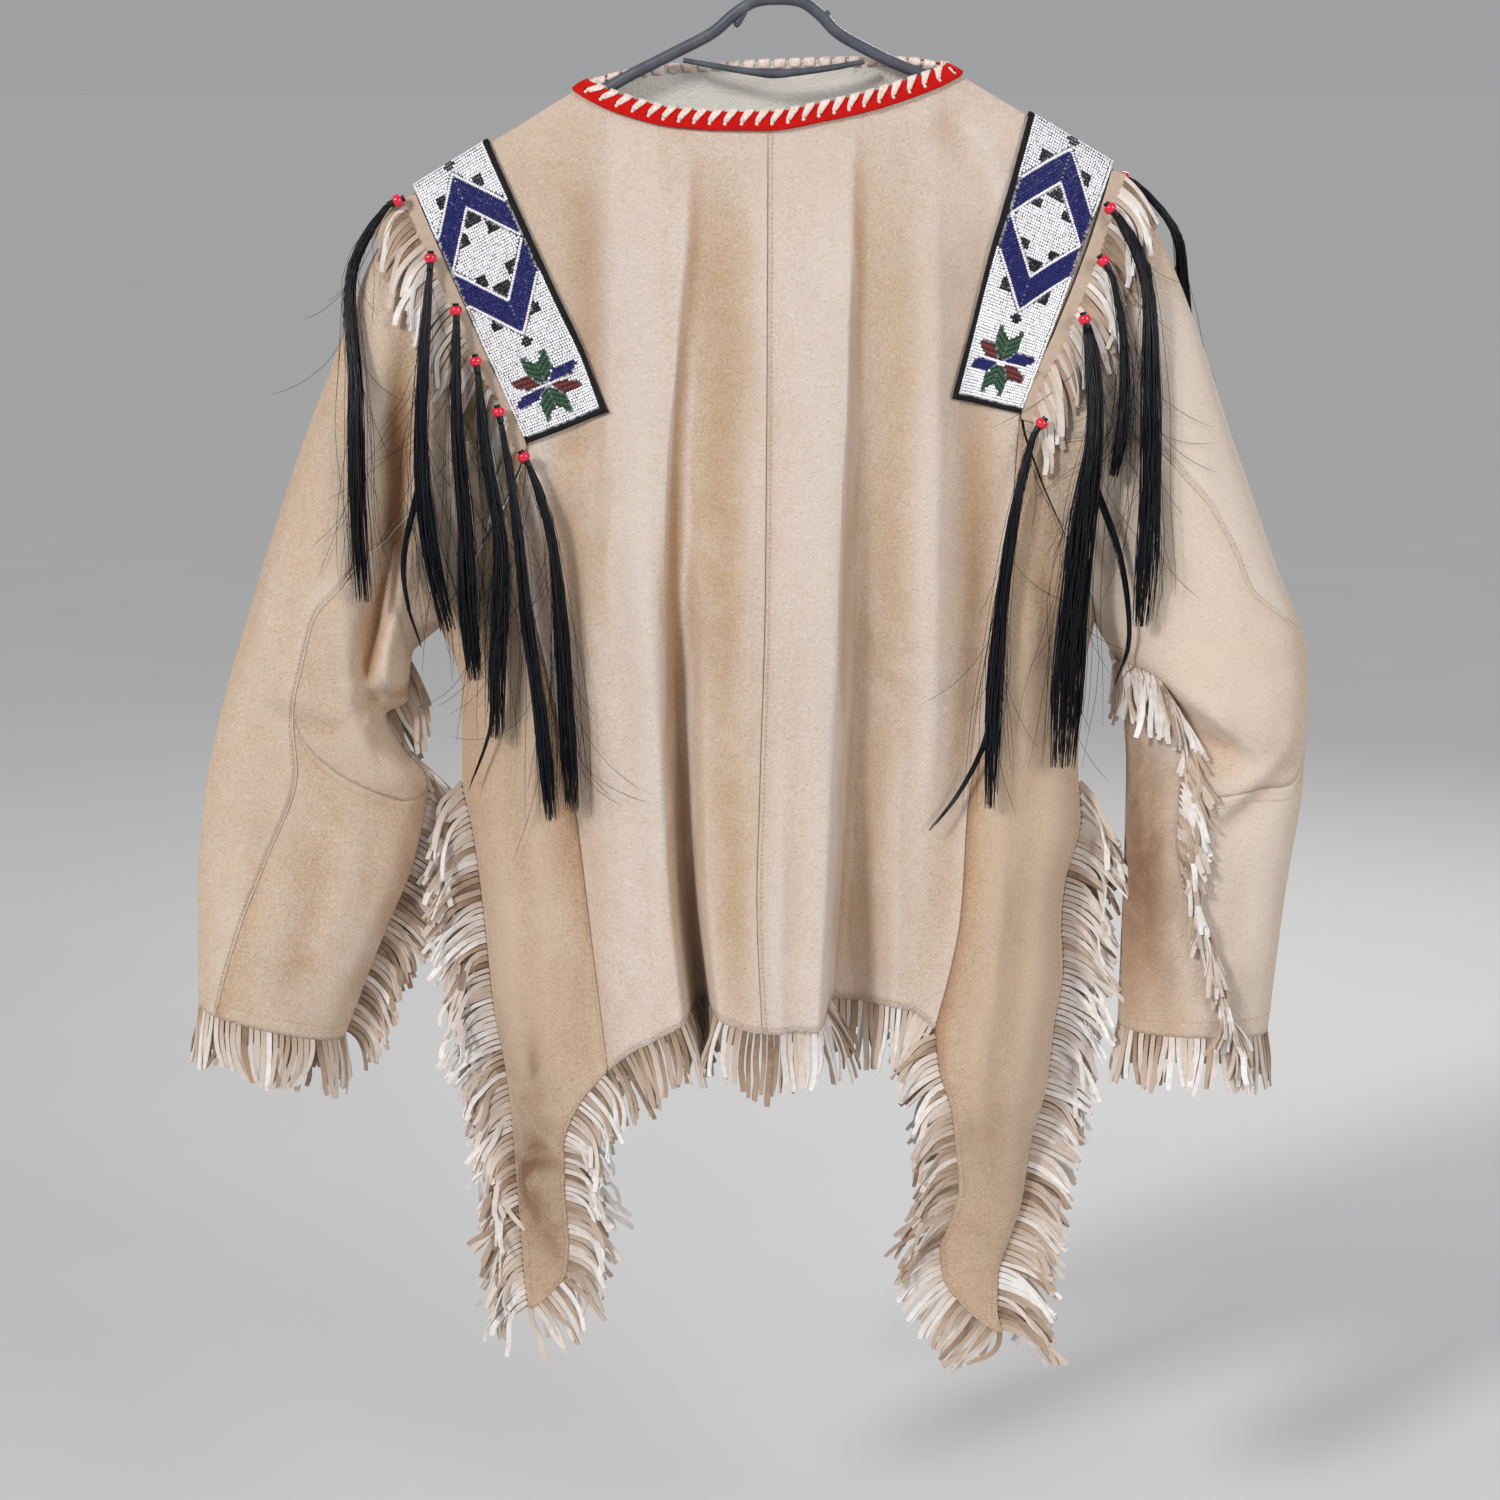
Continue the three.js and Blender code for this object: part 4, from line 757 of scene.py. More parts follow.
def hair_material():
    m = Mat("horse_hair", Roughness=0.34, Specular_IOR_Level=0.4)
    c = m.ramp(m.attr("shade"), [(0.0, srgb(3, 3, 6)), (0.6, srgb(8, 10, 17)), (1.0, srgb(22, 28, 44))])
    m.colour(m.mix(m.remap(m.noise(260, 3, stretch=(1, 1, 0.05)), 0.4, 0.7, 0.0, 0.4), c, srgb(8, 9, 14)))
    m.rough(m.remap(m.noise(500, 2, stretch=(1, 1, 0.08)), 0.3, 0.7, 0.26, 0.5))
    return m.m


def crow_bead_material():
    m = Mat("crow_bead", Roughness=0.16, Specular_IOR_Level=0.55, Coat_Weight=0.5, Coat_Roughness=0.05)
    m.colour(m.mix(m.remap(m.noise(300, 3), 0.4, 0.75, 0.0, 0.6), srgb(230, 24, 58), srgb(176, 8, 36)))
    m.normal(m.bump(m.noise(500, 2), 0.0002, 0.3))
    return m.m


def plastic_material():
    m = Mat("hanger_plastic", Roughness=0.42, Specular_IOR_Level=0.45)
    m.colour(m.mix(m.remap(m.noise(60, 3), 0.4, 0.7), srgb(74, 76, 86), srgb(92, 94, 104)))
    m.rough(m.remap(m.noise(160, 3), 0.3, 0.7, 0.34, 0.52))
    m.normal(m.bump(m.noise(900, 2), 0.00008, 0.4))
    return m.m


def steel_material():
    m = Mat("hook_steel", Roughness=0.25, Metallic=1.0)
    m.colour(m.mix(m.remap(m.noise(300, 3), 0.4, 0.7), srgb(176, 180, 186), srgb(210, 212, 216)))
    m.rough(m.remap(m.noise(800, 2, stretch=(1, 1, 0.2)), 0.3, 0.7, 0.16, 0.34))
    m.normal(m.bump(m.noise(1500, 2), 0.00005, 0.4))
    return m.m


FELT, LACE, BEADS, BLACK = felt_material(), lace_material(), bead_material(), black_cloth_material()
HAIR, CROW, PLASTIC, STEEL = hair_material(), crow_bead_material(), plastic_material(), steel_material()

# ---------------------------------------------------------------- the outermost cloth, for what hangs before it
CELL = 3.0
OX, OZ, NX, NZ = -480.0, -1180.0, 310, 410
SKIN = {-1: np.zeros((NX, NZ)), 1: np.zeros((NX, NZ))}
WIDE = {}


def mark(X):
    P = X.reshape(-1, 3)
    i = np.clip(np.round((P[:, 0] - OX) / CELL).astype(int), 0, NX - 1)
    j = np.clip(np.round((P[:, 2] - OZ) / CELL).astype(int), 0, NZ - 1)
    np.maximum.at(SKIN[-1], (i, j), -P[:, 1])
    np.maximum.at(SKIN[1], (i, j), P[:, 1])


def widen(A, reach):
    B = A.copy()
    for di in range(-reach, reach + 1):
        for dj in range(-reach, reach + 1):
            B = np.maximum(B, np.roll(A, (di, dj), (0, 1)))
    return B


def skin(x, z, face, reach=1):
    """How far the outermost cloth stands from the middle plane near (x, z)."""
    if (face, reach) not in WIDE:
        WIDE[(face, reach)] = widen(SKIN[face], reach)
    A = WIDE[(face, reach)]
    fx = np.clip((np.asarray(x, float) - OX) / CELL, 0, NX - 2.001)
    fz = np.clip((np.asarray(z, float) - OZ) / CELL, 0, NZ - 2.001)
    i, j = fx.astype(int), fz.astype(int)
    u, v = fx - i, fz - j
    return (A[i, j] * (1 - u) + A[i + 1, j] * u) * (1 - v) + (A[i, j + 1] * (1 - u) + A[i + 1, j + 1] * u) * v


# ---------------------------------------------------------------- cloth: body
STAINS_AND_SHADE = [  # darker spots: view x, y, reach x mm, reach z mm, amount. The first row is real staining on the left tail; (1142, 850), (1166, 930) and (1141, 842) are painted shade on the turned-away underside of the right sleeve, (395, 470) and (404, 697) painted shade in the left armpit fold; the others darken the hide in soft blots.
    (530, 1175, 26, 70, 0.95), (542, 1148, 15, 34, 0.8), (534, 1215, 14, 40, 0.8), (534, 1062, 7, 26, 0.7), (508, 1090, 14, 50, 0.45), (545, 1240, 24, 30, 0.6), (575, 1150, 10, 40, 0.4),
    (1142, 850, 20, 105, 0.85), (1166, 930, 13, 80, 0.4), (1141, 842, 11, 18, 0.6), (1228, 1010, 20, 40, 0.25), (300, 1000, 40, 40, 0.22),
    (968, 1145, 9, 26, 0.4), (1005, 1150, 40, 60, 0.16), (542, 560, 18, 50, 0.3), (720, 640, 30, 60, 0.14), (880, 700, 26, 90, 0.14),
    (395, 470, 14, 90, 0.35), (404, 697, 13, 6, 0.35), (590, 300, 22, 70, 0.16), (975, 320, 30, 80, 0.14),
]


# painted shade: view x, y, reach x mm, reach z mm, amount of darkening in creases, folds, the armpits and the
# turned-away sides of the sleeves
PAINTED_SHADE_SPOTS = [(420, 826, 10, 34, 0.8), (405, 884, 11, 36, 0.8), (387, 940, 11, 36, 0.7), (366, 996, 11, 34, 0.6), (405, 800, 26, 16, 0.35), (345, 960, 30, 14, 0.25), (1190, 905, 16, 8, 0.6), (1165, 880, 10, 60, 0.5), (368, 640, 7, 40, 0.9), (404, 700, 15, 6, 0.8), (430, 600, 10, 40, 0.6), (1135, 900, 26, 95, 1.1), (400, 500, 9, 90, 0.7), (385, 950, 14, 60, 0.12), (674, 720, 5, 120, 0.45), (851, 720, 5, 120, 0.4), (604, 470, 6, 50, 0.4), (690, 940, 6, 60, 0.6), (840, 900, 12, 90, 0.35), (480, 720, 14, 90, 0.3)]


TAN_AND_SHADE_ZONES = [  # view x from, to, soft left, soft right, view y from, to, soft, amount: darker tawny zones, partly the hide's own tone and partly painted shade in the valleys and along the steep side of the ridges
    (690, 757, 3, 14, 210, 1030, 190, 0.95), (757, 772, 6, 6, 420, 1030, 120, 0.45), (857, 915, 3, 26, 170, 1010, 150, 0.80), (915, 1030, 20, 14, 240, 1010, 120, 0.42),
    (640, 900, 60, 60, 95, 215, 50, 0.35),
    (425, 600, 20, 22, 95, 330, 60, 0.55), (545, 600, 10, 12, 330, 640, 60, 0.5), (663, 686, 3, 3, 480, 990, 70, 1.0), (839, 858, 3, 4, 500, 990, 70, 0.95), (556, 611, 16, 3, 400, 620, 60, 0.75),
    (500, 545, 8, 10, 900, 1060, 40, 0.35), (1088, 1240, 20, 30, 740, 1060, 60, 0.7), (216, 320, 30, 30, 560, 1010, 90, 0.35), (320, 420, 18, 10, 785, 1020, 40, 0.25), (225, 420, 30, 30, 300, 790, 70, 0.5),
]
# painted light: zones made paler where the cloth is lit, such as the faces of the two tall ridges, the right sleeve and
# the right side; columns as in the list above
PAINTED_LIGHT_ZONES = [(1110, 1292, 18, 24, 290, 745, 60, 1.0), (1196, 1292, 20, 24, 770, 1050, 60, 0.8), (612, 664, 10, 3, 120, 560, 50, 0.4), (772, 852, 10, 3, 120, 1030, 50, 0.35), (960, 1005, 14, 10, 130, 420, 60, 0.5), (1015, 1125, 20, 20, 700, 1300, 80, 0.5), (497, 522, 5, 6, 880, 1120, 60, 0.6)]


def zones(x, z, rows=TAN_AND_SHADE_ZONES):
    """Soft-edged stripes: by default darker tawny zones, partly the hide's own tone and partly painted shade; given the
    pale rows, zones of painted light where the cloth faces the light.
    """
    out = np.zeros(np.shape(x))
    wave = 2.2 * np.sin(z / 43.0) + 1.3 * np.sin(z / 17.0 + x / 60.0)
    for x0, x1, s0, s1, y0, y1, sy, k in rows:
        a, top = at(x0, y0)
        b, low = at(x1, y1)
        a, b, top, low = float(a), float(b), float(top), float(low)
        m = smooth(a - s0 * 0.75, a + s0 * 0.75, x + wave) * (1 - smooth(b - s1 * 0.75, b + s1 * 0.75, x + wave))
        m = m * smooth(low - sy * 0.5, low + sy * 0.5, z) * (1 - smooth(top - sy * 0.5, top + sy * 0.5, z))
        out = np.maximum(out, k * m)
    return out


def looks(X, face):
    """Attributes of a cloth grid: darker spots, real in places and painted shade in others; painted light on raised
    folds and in lit zones; painted shade in the hollows between folds, in listed spots and beside the ridges; and
    darker tawny zones of tone and painted shade.
    """
    x, y, z = X[..., 0], X[..., 1], X[..., 2]
    stain = np.zeros(x.shape)
    for px, py, rx, rz, k in STAINS_AND_SHADE:
        sx, sz = at(px, py)
        stain = np.maximum(stain, k * np.exp(-(((x - sx) / rx) ** 2 + ((z - sz) / rz) ** 2)) * np.where(y < 0, 1, 0.6))
    d = np.abs(y)
    sm = d.copy()
    for _ in range(60):
        pad = np.pad(sm, ((0, 0), (1, 1)), mode="edge")
        sm = (pad[:, :-2] + sm + pad[:, 2:]) / 3
    rel = (d - sm) * smooth(0.45, 0.9, np.abs(grid_normals(X)[..., 1]))
    # painted shade: the listed spots, and a painted shadow just right of the steep side of the two tallest ridges
    under = 0.0
    for px, py, rx, rz, k in PAINTED_SHADE_SPOTS:
        sx, sz = at(px, py)
        under = np.maximum(under, k * np.exp(-(((x - sx) / rx) ** 2 + ((z - sz) / rz) ** 2)))
    for T in RIDGE_TABLES[face][:2] if face in RIDGE_TABLES else []:
        dx = (x if face < 0 else -16 - x) - T(z, 1)
        painted_ridge_shadow = smooth(0.5, 3.0, dx) * (1 - smooth(5, 15, dx)) * np.clip(T(z, 2) / 8.0, 0, 1) * (d > 30)
        under = np.maximum(under, 0.85 * painted_ridge_shadow)
    # hollows of the folds get painted shade and raised parts painted light, both fading where the cloth turns sideways
    return dict(stain=stain, valley=np.clip(np.clip(-rel / 6, 0, 0.9) + under, 0, 1.3), lift=np.clip(np.clip(rel / 7, 0, 0.5) + 0.7 * zones(x, z, PAINTED_LIGHT_ZONES), 0, 0.8), tan=zones(x, z))


def sqrt_steps(n):
    return np.linspace(0, 1, n)


def edge_roll(dist, x, z):
    return (0.34 + 0.10 * np.sin(z / 5.3) * np.sin(x / 9.1)) * np.exp(-(dist / 1.5) ** 2)


def warp_cols(n, centres, width=0.07, gain=2.2):
    """n positions in 0..1, closer together near the given places."""
    t = np.linspace(0, 1, 2001)
    w = 1 + sum(gain * np.exp(-((t - c) / width) ** 2) for c in centres) + 1.4 * np.exp(-(t / 0.02) ** 2) + 1.4 * np.exp(-((1 - t) / 0.02) ** 2)
    c = np.concatenate([[0], np.cumsum((w[1:] + w[:-1]) / 2)])
    return np.interp(np.linspace(0, 1, n), c / c[-1], t)


def panel_grid(side, face, cols, n=150):
    S = SIDES[side]
    neck, hem = (neck_back, hem_back) if face < 0 else (neck_front, hem_front)
    r, v = np.meshgrid(np.linspace(0, 1, n), cols, indexing="ij")
    d = r ** 1.75
    tx = lerp(centre_seam(-140.0), S["ridge_end"][0], v)
    hx = lerp(centre_seam(-805.0), S["hem_corner"][0], v)
    top = np.where(np.abs(tx) < abs(S["neck_end"][0]), neck(tx), ridge_z(tx))
    z = lerp(top, hem(hx), d)
    zo = lerp(S["ridge_end"][1], S["hem_corner"][1], d)
    xc, xo = centre_seam(z) + (S["s"] * GAP if face < 0 else 0), S["panel"](zo) - S["s"] * GAP
    x = lerp(xc, xo, v)
    X = body(x, z, face)
    dist = np.minimum(np.abs(x - xc) + (0 if face < 0 else 99), np.abs(x - xo))
    X[..., 1] -= face * edge_roll(dist, x, z)
    return X


for side, centres in (("left", (0.34, 0.42)), ("right", (0.33, 0.42))):
    X = panel_grid(side, -1, warp_cols(104, centres))
    mark(X)
    shell(f"back_{side}", X, lambda p: (0, -1, 0), suede_back, attrs=looks(X, -1))
XL = panel_grid("left", 1, warp_cols(52, (0.4,)), 112)
XR = panel_grid("right", 1, warp_cols(52, (0.4,)), 112)
X = np.concatenate([XL[:, ::-1], XR[:, 1:]], 1)
mark(X)
shell("front", X, lambda p: (0, 1, 0), suede_back, attrs=looks(X, 1))


def side_grid(side, face, nu, nv):
    S = SIDES[side]
    u, v = np.meshgrid(np.linspace(0, 1, nu), np.linspace(0, 1, nv), indexing="ij")
    z = lerp(float(S["panel_top"]), float(S["tip"]), u)
    xo = np.where(z > S["armpit"][1], S["armhole"](z) - S["s"] * 0.3, S["seam"](z))
    xi = np.where(z > S["hem_corner"][1], S["panel"](z), S["tail_in"](z)) + S["s"] * GAP
    x = lerp(xo, xi, v ** 1.5)
    X = body(x, z, face)
    dist = np.where(z > S["hem_corner"][1], np.abs(x - xi), 99)
    dist = np.minimum(dist, np.where(z > S["armpit"][1], np.abs(x - xo), 99))
    X[..., 1] -= face * np.minimum(edge_roll(dist, x, z), np.abs(X[..., 1]) - 0.1)
    return X


for side in SIDES:
    for face, word, nv in ((-1, "back", 38), (1, "front", 24)):
        X = side_grid(side, face, 160 if face < 0 else 100, nv)
        mark(X)
        shell(f"side_{word}_{side}", X, lambda p, f=face: (0, f, 0), suede_side, attrs=looks(X, face))

# ---------------------------------------------------------------- cloth: sleeves
SLEEVES = {
    "left": table([
        [0.00, -262, -196, -250, -516, 26, 24], [0.12, -297, -250, -262, -526, 34, 30], [0.25, -323, -316, -272, -538, 42, 36],
        [0.40, -354, -394, -275, -571, 48, 42], [0.50, -373, -448, -292, -583, 50, 44], [0.60, -394, -511, -281, -606, 50, 46],
        [0.70, -413, -572, -262, -636, 46, 46], [0.80, -429, -640, -272, -690, 42, 42], [0.90, -438, -726, -300, -758, 38, 38],
        [1.00, -440, -806, -329, -832, 36, 36]]),
    "right": table([
        [0.00, 241, -179, 236, -512, 26, 24], [0.12, 277, -230, 240, -520, 34, 30], [0.25, 303, -288, 246, -530, 42, 36],
        [0.40, 332, -370, 253, -548, 48, 42], [0.55, 364, -456, 259, -578, 52, 48], [0.70, 396, -552, 263, -635, 54, 48],
        [0.80, 395, -625, 263, -690, 50, 46], [0.90, 384, -722, 262, -755, 44, 42], [1.00, 375, -826, 261, -822, 38, 38]]),
}
SEAM_UPPER = {
    "left": table([[0, 0.54], [0.05, 0.54], [0.25, 0.55], [0.33, 0.513], [0.48, 0.455], [0.57, 0.436], [0.665, 0.41], [0.75, 0.45], [0.84, 0.40], [0.9, 0.35], [1, 0.25]]),
    "right": table([[0, 0.54], [0.05, 0.53], [0.2, 0.44], [0.33, 0.39], [0.42, 0.333], [0.5, 0.30], [0.55, 0.29], [0.6, 0.215], [0.63, 0.14], [0.66, 0.02], [0.7, -0.05], [0.75, -0.05], [1, -0.06]]),
}
SEAM_UNDER = {
    "left": table([[0, 1], [1, 1]]),
    "right": table([[0, 1], [0.3, 0.97], [0.45, 0.8], [0.55, 0.69], [0.62, 0.65], [0.79, 0.66], [0.84, 0.63], [0.88, 0.57], [0.93, 0.5], [1, 0.36]]),
}
ELBOW = {
    "left": table([[0, 0.665], [0.1, 0.70], [0.3, 0.72], [0.6, 0.728], [0.85, 0.715], [1, 0.70]]),
    "right": table([[0, 0.75], [0.15, 0.77], [0.35, 0.797], [0.6, 0.78], [1, 0.745]]),
}
STEPS = [
    dict(a=(238, -520), b=(352, -606), step=11, sharp=4, reach=34),
    dict(a=(392, -592), b=(318, -662), step=6, sharp=5, reach=26),
    dict(a=(-276, -548), b=(-312, -566), step=9, sharp=7, reach=22),
    dict(a=(-300, -584), b=(-272, -580), step=8, sharp=5, reach=20),
]


def step_depth(x, z):
    y = np.zeros(np.shape(x))
    for c in STEPS:
        ax, az = c["b"][0] - c["a"][0], c["b"][1] - c["a"][1]
        L = math.hypot(ax, az)
        t = ((x - c["a"][0]) * ax + (z - c["a"][1]) * az) / (L * L)
        s = ((x - c["a"][0]) * az - (z - c["a"][1]) * ax) / L * (-1 if ax > 0 else 1)
        ends = smooth(-0.15, 0.12, t) * (1 - smooth(0.75, 1.15, t))
        y += c["step"] * ends * np.tanh(s / c["sharp"]) * np.exp(-(np.abs(s) / c["reach"]) ** 1.5)
    return y


def armhole_point(side, u, face):
    S = SIDES[side]
    z = lerp(float(S["ridge_end"][1]), float(S["armpit"][1]), u)
    x = S["armhole"](z)
    y = np.where(face < 0, -(body_depth(x, z, -1) + GAP), body_depth(x, z, 1) + GAP)
    return np.stack([x, y, z], -1)


def section_point(side, t, u, face):
    T = SLEEVES[side]
    k = np.maximum(0, 1 - np.abs(2 * u - 1) ** 2.3) ** (1 / 2.3)
    return np.stack([lerp(T(t, 1), T(t, 3), u), face * np.where(face < 0, T(t, 5), T(t, 6)) * k, lerp(T(t, 2), T(t, 4), u)], -1)


def sleeve_point(side, t, v, off=0.0):
    t, v = np.broadcast_arrays(np.asarray(t, float), np.asarray(v, float))
    w = np.mod(v, 2)
    face = np.where(w <= 1, -1, 1)
    lin = np.where(w <= 1, w, 2 - w)
    u = (1 - np.cos(np.pi * lin)) / 2
    p = section_point(side, t, u, face)
    fade = np.clip(1 - t / 0.4, 0, 1) ** 2
    p = p + (armhole_point(side, u, face) - section_point(side, np.zeros_like(t), u, face)) * fade[..., None]
    k = np.sin(np.pi * lin)
    x, z = p[..., 0], p[..., 2]
    soft = smooth(0.02, 0.2, t) * k
    fine = (creases(SLEEVE_LINES[side], x, z) + ripple(x, z, 1.3)) * soft
    back = np.minimum(-0.3, p[..., 1] - step_depth(x, z) * k * smooth(0.05, 0.3, t) + fine - off)
    frnt = np.maximum(0.3, p[..., 1] - 0.8 * fine + off)
    p[..., 1] = np.where(face < 0, back, frnt)
    return p


def sleeve_out(side):
    T = SLEEVES[side]
    t = np.linspace(0, 1, 41)
    C = np.stack([lerp(T(t, 1), T(t, 3), 0.5), 0 * t, lerp(T(t, 2), T(t, 4), 0.5)], 1)

    def f(p):
        c = C[np.argmin(np.hypot(C[:, 0] - p[0], C[:, 2] - p[2]))]
        return np.array([p[0] - c[0], p[1] * 2.5, p[2] - c[2]])
    return f


T0, G = 0.004, 0.0003
for side in SIDES:
    A, U, E = SEAM_UPPER[side], SEAM_UNDER[side], ELBOW[side]
    out = sleeve_out(side)

    def row(r, k):
        return np.where(r <= 1, lerp(T0, E(k) - 0 * G, np.minimum(r, 1)), lerp(E(k), 1.0, np.maximum(r - 1, 0)))

    q, k = np.meshgrid(np.linspace(0, 2, 121), np.linspace(0, 1, 92), indexing="ij")
    t1, t0 = row(q, np.ones_like(q)), row(q, np.zeros_like(q))
    t = lerp(t1, t0, k)
    X = sleeve_point(side, t, lerp(U(t1) - 2 + G, A(t0) - G, k))
    X = X - edge_roll(np.minimum(k, 1 - k) * 420, X[..., 0], X[..., 2])[..., None] * unit(np.stack([0 * k, np.where(X[..., 1] < 0, -1.0, 1.0), 0 * k], -1)) * 0.3
    mark(X)
    shell(f"sleeve_{side}_outer", X, out, suede_sleeve, attrs=looks(X, -1))

    r, k = np.meshgrid(np.linspace(0, 1, 96), np.linspace(0, 1, 40), indexing="ij")
    t = lerp(T0, E(k) - 0.3 * G, r)
    X = sleeve_point(side, t, lerp(A(t) + G, U(t) - G, k))
    X[..., 1] += 0.45 * edge_roll(np.minimum(np.minimum(k, 1 - k) * 150, (1 - r) * 420), X[..., 0], X[..., 2])
    mark(X)
    shell(f"sleeve_{side}_gusset", X, out, suede_gusset, attrs=looks(X, -1))

    r, k = np.meshgrid(np.linspace(0, 1, 56), np.linspace(0, 1, 40), indexing="ij")
    t = lerp(E(k) + 0.3 * G, 1.0, r)
    X = sleeve_point(side, t, lerp(A(t) + G, U(t) - G, k))
    X[..., 1] += 0.45 * edge_roll(np.minimum(np.minimum(k, 1 - k) * 150, r * 240), X[..., 0], X[..., 2])
    mark(X)
    shell(f"sleeve_{side}_lower", X, out, suede_sleeve, attrs=looks(X, -1))


# ---------------------------------------------------------------- stitches
stitches = Pile()


def resample(P, pitch, start=0.0):
    """Points every pitch along a polyline, with their tangents."""
    P = np.asarray(P, float)
    s = np.concatenate([[0], np.cumsum(np.linalg.norm(np.diff(P, axis=0), axis=1))])
    q = np.arange(start + pitch / 2, s[-1], pitch)
    out = np.stack([np.interp(q, s, P[:, k]) for k in range(3)], 1)
    a = np.stack([np.interp(np.clip(q - 2, 0, s[-1]), s, P[:, k]) for k in range(3)], 1)
    b = np.stack([np.interp(np.clip(q + 2, 0, s[-1]), s, P[:, k]) for k in range(3)], 1)
    return out, unit(b - a), q / s[-1]


def stitch(P, pitch=3.5, length=2.3, r=0.34):
    C, T, _ = resample(P, pitch)
    n = len(C)
    s = np.array([-0.5, 0, 0.5]) * length
    centres = C[:, None] + T[:, None] * s[None, :, None]
    radii = np.tile(np.array([0.4, 1, 0.4]) * r, (n, 1))
    V, Q, Tt = tubes(centres, radii, 3)
    stitches.add(V, Q, Tt)


def on_body(xs, zs, face, off=0.35):
    return body(xs, zs, face, off)


zz = np.linspace(-150, -800, 140)
stitch(on_body(centre_seam(zz) + 3.0, zz, -1))
for side, S in SIDES.items():
    s = S["s"]
    zz = np.linspace(S["strip_end"] - 14, S["hem_corner"][1] + 4, 110)
    for face in (-1, 1):
        stitch(on_body(S["panel"](zz) + s * 3.0, zz, face))
        zs = np.linspace(S["armpit"][1] - 110, S["tip"] + 12, 120)
        stitch(on_body(S["seam"](zs) - s * 5.0, zs, face))
        za = np.linspace(S["strip_end"] - 10, S["armpit"][1] + 6, 50)
        stitch(on_body(S["armhole"](za) - s * 3.0, za, face))
        zi = np.linspace(S["hem_corner"][1] - 4, S["tip"] + 12, 60)
        stitch(on_body(S["tail_in"](zi) + s * 4.0, zi, face))
    t = np.linspace(0.02, 0.99, 160)
    stitch(sleeve_point(side, t, SEAM_UPPER[side](t) - 0.012, 0.35))
    if side == "right":
        stitch(sleeve_point(side, t[50:], SEAM_UNDER[side](t[50:]) - 0.012, 0.35))
    k = np.linspace(0.02, 0.98, 60)
    te = ELBOW[side](k) + 0.012
    stitch(sleeve_point(side, te, lerp(SEAM_UPPER[side](te), SEAM_UNDER[side](te), k), 0.35))
    v = np.linspace(0, 2, 120)
    stitch(sleeve_point(side, np.full(120, 0.985), v, 0.35))
for face, hem in ((-1, hem_back), (1, hem_front)):
    xh = np.linspace(-122, 115, 220)
    stitch(on_body(xh, hem(xh) + 4.5, face))
stitches.make("seam_stitches", THREAD, slot="suede")

# the long sleeve seams stand up as a thin rounded welt; its suede is paler than the sleeve's, a painted highlight along
# the raised seam
welts = Pile()
for side in SIDES:
    t = np.linspace(0.03, 0.992, 130)
    C = sleeve_point(side, t, SEAM_UPPER[side](t), -0.1)
    V, Q, Tt = tubes(C[None], np.full((1, 130), 0.78), 4, phase=0.6)
    welts.add(V, Q, Tt)
welts.make("sleeve_seam_welts", suede("suede_welt", srgb(248, 234, 220), srgb(240, 221, 202), srgb(226, 203, 180), srgb(226, 202, 176)), slot="suede")


